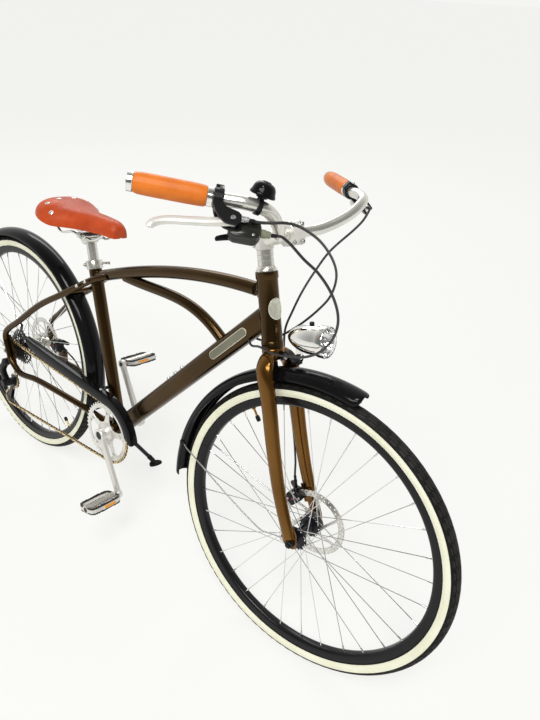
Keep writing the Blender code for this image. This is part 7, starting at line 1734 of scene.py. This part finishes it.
# Brake callipers.  Cast black housings over the discs with mounting screws, a red dot on the adjuster and the
# cable's barrel; a steel arm turns on each boss with its cable clamp at the end.
FRONT_CALIPER_ANGLE = radians(144)
red_paint = finish("red paint dot", (0.45, 0.01, 0.01), (0.55, 0.018, 0.014), 0.35, grain=1500)
cable_black = finish("black cable housing", (0.014, 0.014, 0.015), (0.024, 0.024, 0.025), 0.3, grain=1800,
    bump=0.05)
for hub, place, body, arm_body, name, angle, rotor_side, inner, outer, barrel_way in ((FRONT_HUB, FORK,
        "fork_and_bars", "front_brake_arm", "front", FRONT_CALIPER_ANGLE, ROTOR_SIDES[0], 0.0265, 0.05235,
        HEAD_AXIS), (REAR_HUB, BIKE, "frame", "rear_brake_arm", "rear", radians(10), ROTOR_SIDES[1], 0.0415,
        0.06775, Vector((0.97, 0, -0.24)).normalized())):
    out = ray(angle)
    around = Vector((-sin(angle), 0, cos(angle)))
    seat = hub + 0.07 * out
    outline = mm((-16, -13), (16, -13), (18.5, -10), (19.5, 2), (18, 9), (12.5, 16.5), (9, 18), (-9, 18),
        (-12.5, 16.5), (-18, 9), (-19.5, 2), (-18.5, -10))
    bm = bmesh.new()
    low, high = rotor_side - 0.0025, rotor_side + 0.0025
    for start, end in ((inner, low), (high, outer)):
        plate(bm, outline, seat + (start + end) / 2 * LEFT, around, out, end - start)
    bridge = [(u, max(v, 0.0125)) for u, v in outline if v > 0.001]
    plate(bm, bridge, seat + (low + high) / 2 * LEFT, around, out, 0.012)
    pivot = seat + 0.006 * around - 0.002 * out + outer * LEFT
    turn(bm, mm((0, -4), (8.5, -4), (8.5, 5.6), (7.8, 6.3), (0, 6.3)), pivot, LEFT, 40)
    disc(bm, pivot, LEFT, 0.0034, 0.005, 0.0115, finish=1)
    side_middle = (high + outer) / 2
    root = seat + 0.008 * out + side_middle * LEFT
    turn(bm, mm((0, 10), (4.4, 10), (4.4, 18), (3.8, 18.6), (3.8, 25), (4.2, 25.6), (4.2, 29.4), (3.4, 30),
        (0, 30)), root, barrel_way, 28)
    for u, v in mm((-14.5, -6), (13.5, 6.5), (-11, 11)):
        bolt(bm, seat + u * around + v * out + (inner - 0.0001) * LEFT, -LEFT, 0.0028, 0.0022, finish=1)
        if u < 0:
            bolt(bm, seat + u * around + v * out + (outer + 0.0001) * LEFT, LEFT, 0.0028, 0.002, finish=1)
    disc(bm, seat + 0.003 * around + (inner - 0.0001) * LEFT, -LEFT, 0.006, -0.001, 0.0012)
    disc(bm, seat + 0.003 * around + (inner - 0.0012) * LEFT, -LEFT, 0.0024, -0.0002, 0.0004, 0.0001, 20,
        finish=2)
    if name == "rear":
        end = root + 0.03 * barrel_way
        tail = smooth([end - 0.004 * barrel_way, end + 0.012 * barrel_way, xyz(150, 64, 340),
            xyz(180, 64.8, 318)], 8)
        rod(bm, tail, 0.0025, 14, finish=3)
    piece(name + "_caliper_housing", bm, place, body, [cast_black, bolt_steel, red_paint, cable_black],
        [name + "_caliper"])
    centre = pivot + 0.0086 * LEFT
    arm = mm((-7.8, -2), (-6, -6.2), (0, -8), (6, -6.2), (7.8, -2), (8, 6), (7, 20), (6, 32), (4, 35),
        (-0.5, 36), (-3.5, 34.5), (-5.5, 28), (-7, 10))
    bm = bmesh.new()
    plate(bm, arm, centre, around, out, 0.0036)
    bolt(bm, centre + 0.03 * out + 0.001 * around + 0.0018 * LEFT, LEFT, 0.0034, 0.0022)
    hexagon_nut(bm, centre, LEFT, 0.0055, 0.0018, 0.0038)
    piece(name + "_caliper_lever", bm, place, arm_body, [cog_steel], [name + "_caliper_arm"])


# Kickstand.  A round black alloy leg with an eye on the frame's pin, which has a shoulder and a hexagon nut,
# and a smooth oval rubber shoe that stands flat on the floor.
KICK_FOOT = xyz(428.5, 189.2, 39.5)
SHOE_TOE = 0.0205
SHOE_RISE = 0.0035
SHOE_LOW = -0.004
SHOE_HEIGHT = 0.0098
kick_way = (KICK_FOOT - KICK_PIVOT).normalized()
KICK_AXIS = (KICK_FOOT - KICK_PIVOT).cross(Vector((-0.98, 0.17, -0.1))).normalized()
bm = bmesh.new()
bush(bm, KICK_PIVOT, KICK_AXIS, 0.0048, 0.0105, -0.0068, 0.0068, 0.0007, 0.0008)
foot_along = (KICK_FOOT - KICK_PIVOT).length
rod(bm, [KICK_PIVOT + along * kick_way for along in (0.006, 0.02, 0.08, foot_along - 0.03)], 0.0065, 28,
    scale=[1.15, 1.05, 1.0, 0.95])
floor_up = (BIKE.to_3x3().inverted() @ UP).normalized()
run = (kick_way - kick_way.dot(floor_up) * floor_up).normalized()
sole = KICK_FOOT - SHOE_RISE * floor_up
foot_outline = mm((-21.5, 3.4), (-19.5, 6.6), (-14, 9.1), (-5, 10.6), (5, 10.6), (13.5, 9.2), (18.8, 6.6),
    (20.5, 3.4))
foot_outline += [(along, -wide) for along, wide in reversed(foot_outline)]
rings = []
for lift, shrink in ((SHOE_LOW, 0.9), (-0.003, 1.0), (0.003, 0.97), (0.0058, 0.8)):
    ring = []
    for along, wide in foot_outline:
        rise = SHOE_RISE * (1 - along / SHOE_TOE) * (lift - SHOE_LOW) / SHOE_HEIGHT
        ring.append(sole + (rise + lift) * floor_up + shrink * along * run
            + shrink * wide * floor_up.cross(run))
    rings.append(ring)
layer(bm, rings, finish=1)
rod(bm, [KICK_PIVOT + along * kick_way for along in (foot_along - 0.046, foot_along - 0.038, foot_along
    - 0.01)], 0.0078, 24, scale=[0.92, 1.05, 0.86], finish=1)
piece("kickstand_leg_and_shoe", bm, BIKE, "kickstand", [satin_black, rubber],
    ["kickstand_leg"])
bm = bmesh.new()
disc(bm, KICK_PIVOT, KICK_AXIS, 0.011, -0.017, -0.0072, 0.0008)
disc(bm, KICK_PIVOT, KICK_AXIS, 0.0044, -0.01, 0.006)
hexagon_nut(bm, KICK_PIVOT, -KICK_AXIS, 0.008, 0.017, 0.0215)
piece("kickstand_pivot_boss", bm, BIKE, "frame", [satin_black])


# Saddle.  A leather hide drawn over the frame: creased full-grain top, a dark cut edge along the skirts, and
# six bright slotted rivets along the cantle, each slot a dark rod across the head as painted shade.
RAIL_SIDE = 0.022
RAIL_RADIUS = 0.0035
HIDE_THICKNESS = 0.0046
RIVET_RADIUS = 0.006
POST_RISE = 0.05
POST_TOP = BB + (SEAT_TUBE_LENGTH + POST_RISE) * SEAT_AXIS
CLAMP_MIDDLE = POST_TOP + xyz(-6, 0, 13)
STATIONS = ((-0.1385, 0.05, 0.0585, 0.016), (-0.1368, 0.064, 0.0665, 0.027), (-0.124, 0.08, 0.072, 0.04),
    (-0.0933, 0.088, 0.072, 0.048), (-0.0593, 0.079, 0.066, 0.049), (-0.0223, 0.056, 0.065, 0.046),
    (0.0187, 0.038, 0.066, 0.044), (0.0607, 0.032, 0.067, 0.041), (0.1007, 0.0285, 0.066, 0.037),
    (0.118, 0.025, 0.0605, 0.032), (0.1268, 0.019, 0.0525, 0.025), (0.129, 0.007, 0.034, 0.0062))
saddle_leather = leather("red-brown saddle leather", (0.42, 0.05, 0.009), (0.55, 0.078, 0.015), 0.4, 430,
    0.07)
leather_edge = finish("dark cut leather edge", (0.045, 0.02, 0.012), (0.075, 0.034, 0.02), 0.6, grain=900,
    bump=0.2)
rivet_steel = finish("saddle rivet steel", (0.82, 0.79, 0.7), (0.88, 0.85, 0.77), 0.24, 0.8, grain=1500,
    bump=0.02)


def station_at(share):
    """Values between the stations: forward of the clamp, half width, height over the rails and depth."""
    knots = [Vector(station) for station in STATIONS]
    spot = share * (len(knots) - 1)
    low = min(int(spot), len(knots) - 2)
    t = spot - low
    before, start, end, after = (knots[max(low - 1, 0)], knots[low], knots[low + 1],
        knots[min(low + 2, len(knots) - 1)])
    m0, m1 = (end - before) / 2, (after - start) / 2
    t2, t3 = t * t, t * t * t
    return (2 * t3 - 3 * t2 + 1) * start + (t3 - 2 * t2 + t) * m0 + (3 * t2 - 2 * t3) * end + (t3 - t2) * m1


def hide_point(share, turn_to, inset=0.0):
    ahead, half, top, depth = station_at(share)
    a = radians(turn_to)
    fall = (depth - inset) * (1 - cos(a)) ** 1.25
    return CLAMP_MIDDLE + Vector((ahead, (half - inset) * sin(a), top - inset - fall))


turns = [-90 + 180 * i / 44 for i in range(45)]
bm = bmesh.new()
rings = []
for k in range(65):
    share = k / 64
    outer_row = [hide_point(share, t) for t in turns]
    inner_row = [hide_point(share, t, HIDE_THICKNESS) for t in reversed(turns)]
    rings.append(outer_row + inner_row)
faces = layer(bm, rings)
row = 2 * len(turns)
for i, face in enumerate(faces[:-2]):
    around = i % row
    face.material_index = 1 if around >= len(turns) - 1 else 0
piece("saddle_hide", bm, BIKE, "seat", [saddle_leather, leather_edge], ["saddle"], 55)

bm = bmesh.new()
rivets = [(share, side * t) for share, t in ((0.345, 58), (0.258, 43), (0.238, 15)) for side in (-1, 1)]
for share, t in rivets:
    spot = hide_point(share, t)
    along = hide_point(share + 0.01, t) - hide_point(share - 0.01, t)
    across = hide_point(share, t + 2) - hide_point(share, t - 2)
    normal = along.cross(across).normalized()
    if normal.z < 0:
        normal = -normal
    turn(bm, [(0, -0.001), (RIVET_RADIUS, -0.0006), (RIVET_RADIUS, 0.0005), (0.8 * RIVET_RADIUS, 0.0012),
        (0, 0.0017)], spot, normal, 28)
    # The slot: a dark rod laid across the head, as painted shade in place of a groove.
    slot = 0.7 * RIVET_RADIUS * across.normalized()
    rod(bm, [spot + 0.0015 * normal - slot, spot + 0.0015 * normal + slot], 0.0005, 6, across=normal,
        finish=1)
piece("saddle_rivets", bm, BIKE, "seat", [rivet_steel, dark_steel_and_painted_shade])


# Saddle rails and seatpost.  One bent chromed wire carries the hide; the silver post ends in a two-part clamp
# with serrated jaws and a bolt across it.
nose = hide_point(8 / 11, 0, 0.005 + 0.0041)
back = hide_point(2 / 11, 34, 0.005 + 0.0026)
half = [nose, Vector((nose.x - 0.004, 0.01, nose.z - 0.012)), CLAMP_MIDDLE + xyz(75.7, 18, 20)]
half += [CLAMP_MIDDLE + Vector((ahead, RAIL_SIDE, 0)) for ahead in (0.0407, 0.0227, -0.0253, -0.0473)]
half += [CLAMP_MIDDLE + xyz(-97.3, 27, -7), back]
mirrored = [Vector((p.x, -p.y, p.z)) for p in half[1:]]
bm = bmesh.new()
rod(bm, smooth(list(reversed(mirrored)) + half, 8), RAIL_RADIUS, 20, across=LEFT + 0.3 * UP)
piece("saddle_rail_wire", bm, BIKE, "seat", [chrome], ["saddle_rails"])

bm = bmesh.new()
top = SEAT_TUBE_LENGTH + POST_RISE
disc(bm, BB, SEAT_AXIS, 0.0136, top - 0.25, top, 0.001, 48)
disc(bm, CLAMP_MIDDLE - 0.006 * UP, LEFT, 0.015, -0.019, 0.019, 0.001, 48)
for level in (-1, 1):
    block(bm, CLAMP_MIDDLE + level * 0.0034 * UP, (0.036, 0.054, 0.0058), corner=0.002)
for side in (-1, 1):
    bush(bm, CLAMP_MIDDLE + side * RAIL_SIDE * LEFT, FORWARD, 0.0036, 0.0066, -0.019, 0.019, 0.0004, 0.0006,
        32)
    hexagon_nut(bm, CLAMP_MIDDLE, side * LEFT, 0.0065, 0.025, 0.03, finish=1)
for i in range(9):
    a = radians(200 + 17.5 * i)
    spot = CLAMP_MIDDLE - 0.006 * UP + 0.015 * ray(a)
    rod(bm, [spot - 0.017 * LEFT, spot + 0.017 * LEFT], 0.0005, 6, across=UP)
piece("seatpost_and_clamp", bm, BIKE, "seat", [polished, bolt_steel], ["seatpost"])


# Cables.  Black housings with plastic ferrules: the rear brake's over the lamp to the down tube, the gear's
# beside the lamp, and the front brake's down behind the left blade.  The first two bend where the bars turn,
# between a start near the lamp and an end at the down tube.
CABLE_RADIUS = 0.0025


def cable_run(name, knots, place, body, stands_for, end_ferrule=True):
    line = smooth([Vector(knot) for knot in knots], 8)
    bm = bmesh.new()
    rod(bm, line, CABLE_RADIUS, 16, across=LEFT + 0.4 * FORWARD)
    for tip, inner in ((line[0], line[1]), (line[-1], line[-2]))[:2 if end_ferrule else 1]:
        turn(bm, mm((2.4, 0), (3.3, 0.4), (3.3, 9), (2.9, 10), (2.4, 10)), tip, (inner - tip).normalized(),
            20, finish=1)
    return piece(name, bm, place, body, [cable_black, black_plastic], [stands_for])


def steered(point):
    return HEAD_LOW + Quaternion(HEAD_AXIS, BAR_TURN) @ (point - HEAD_LOW)


right, left = Mount(-1), Mount(1)
knots = [steered(right.at(-0.0517, 0.031)), steered(right.at(-0.0717, 0.031))]
knots += mm((1048, -150, 1032), (1057, -100, 1014), (1058, -50, 986), (1055, 0, 946), (1047, 30, 910),
    (1031, 48, 867), (1008, 52, 830), (979, 48, 791), (952, 42, 761), (930, 33, 742), (908, 18, 730),
    (889, 8, 731.5))
housing = cable_run("rear_brake_housing", knots, BIKE, None, "rear_brake_cable", False)
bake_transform(housing)
start = outlet[0] - 0.0207
knots = [steered(right.at(start, outlet[1], outlet[2])),
    steered(right.at(start - 0.02, outlet[1], outlet[2]))]
knots += mm((1078, -137, 980), (1099, -123, 963), (1120, -107, 935), (1131, -92, 904), (1133, -82, 875),
    (1122, -70, 839), (1097, -60, 802), (1062, -50, 774), (1024, -45, 757), (983, -41, 745),
    (942, -36, 742), (912, -24, 730), (891, -11.5, 734.5))
housing = cable_run("gear_housing", knots, BIKE, None, "shift_cable", False)
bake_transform(housing)
front_seat = FRONT_HUB + 0.078 * ray(FRONT_CALIPER_ANGLE) + 0.047425 * LEFT
end = front_seat + 0.0307 * HEAD_AXIS
knots = [left.at(-0.0517, 0.031), left.at(-0.0637, 0.031), (0.998, 0.176, 0.995), (0.9625, 0.136, 0.93),
    (0.95, 0.112, 0.885), (0.9435, 0.088, 0.843), (0.94, 0.069, 0.8), (0.938, 0.056, 0.757),
    on_fork(0.377, -0.012, 0.056), on_fork(0.319, -0.006, 0.051), on_fork(0.21, 0.001, 0.051),
    on_fork(0.14, 0.001, 0.05), end + 0.012 * HEAD_AXIS, end]
cable_run("front_brake_housing", knots, FORK, "fork_and_bars", "front_brake_cable")
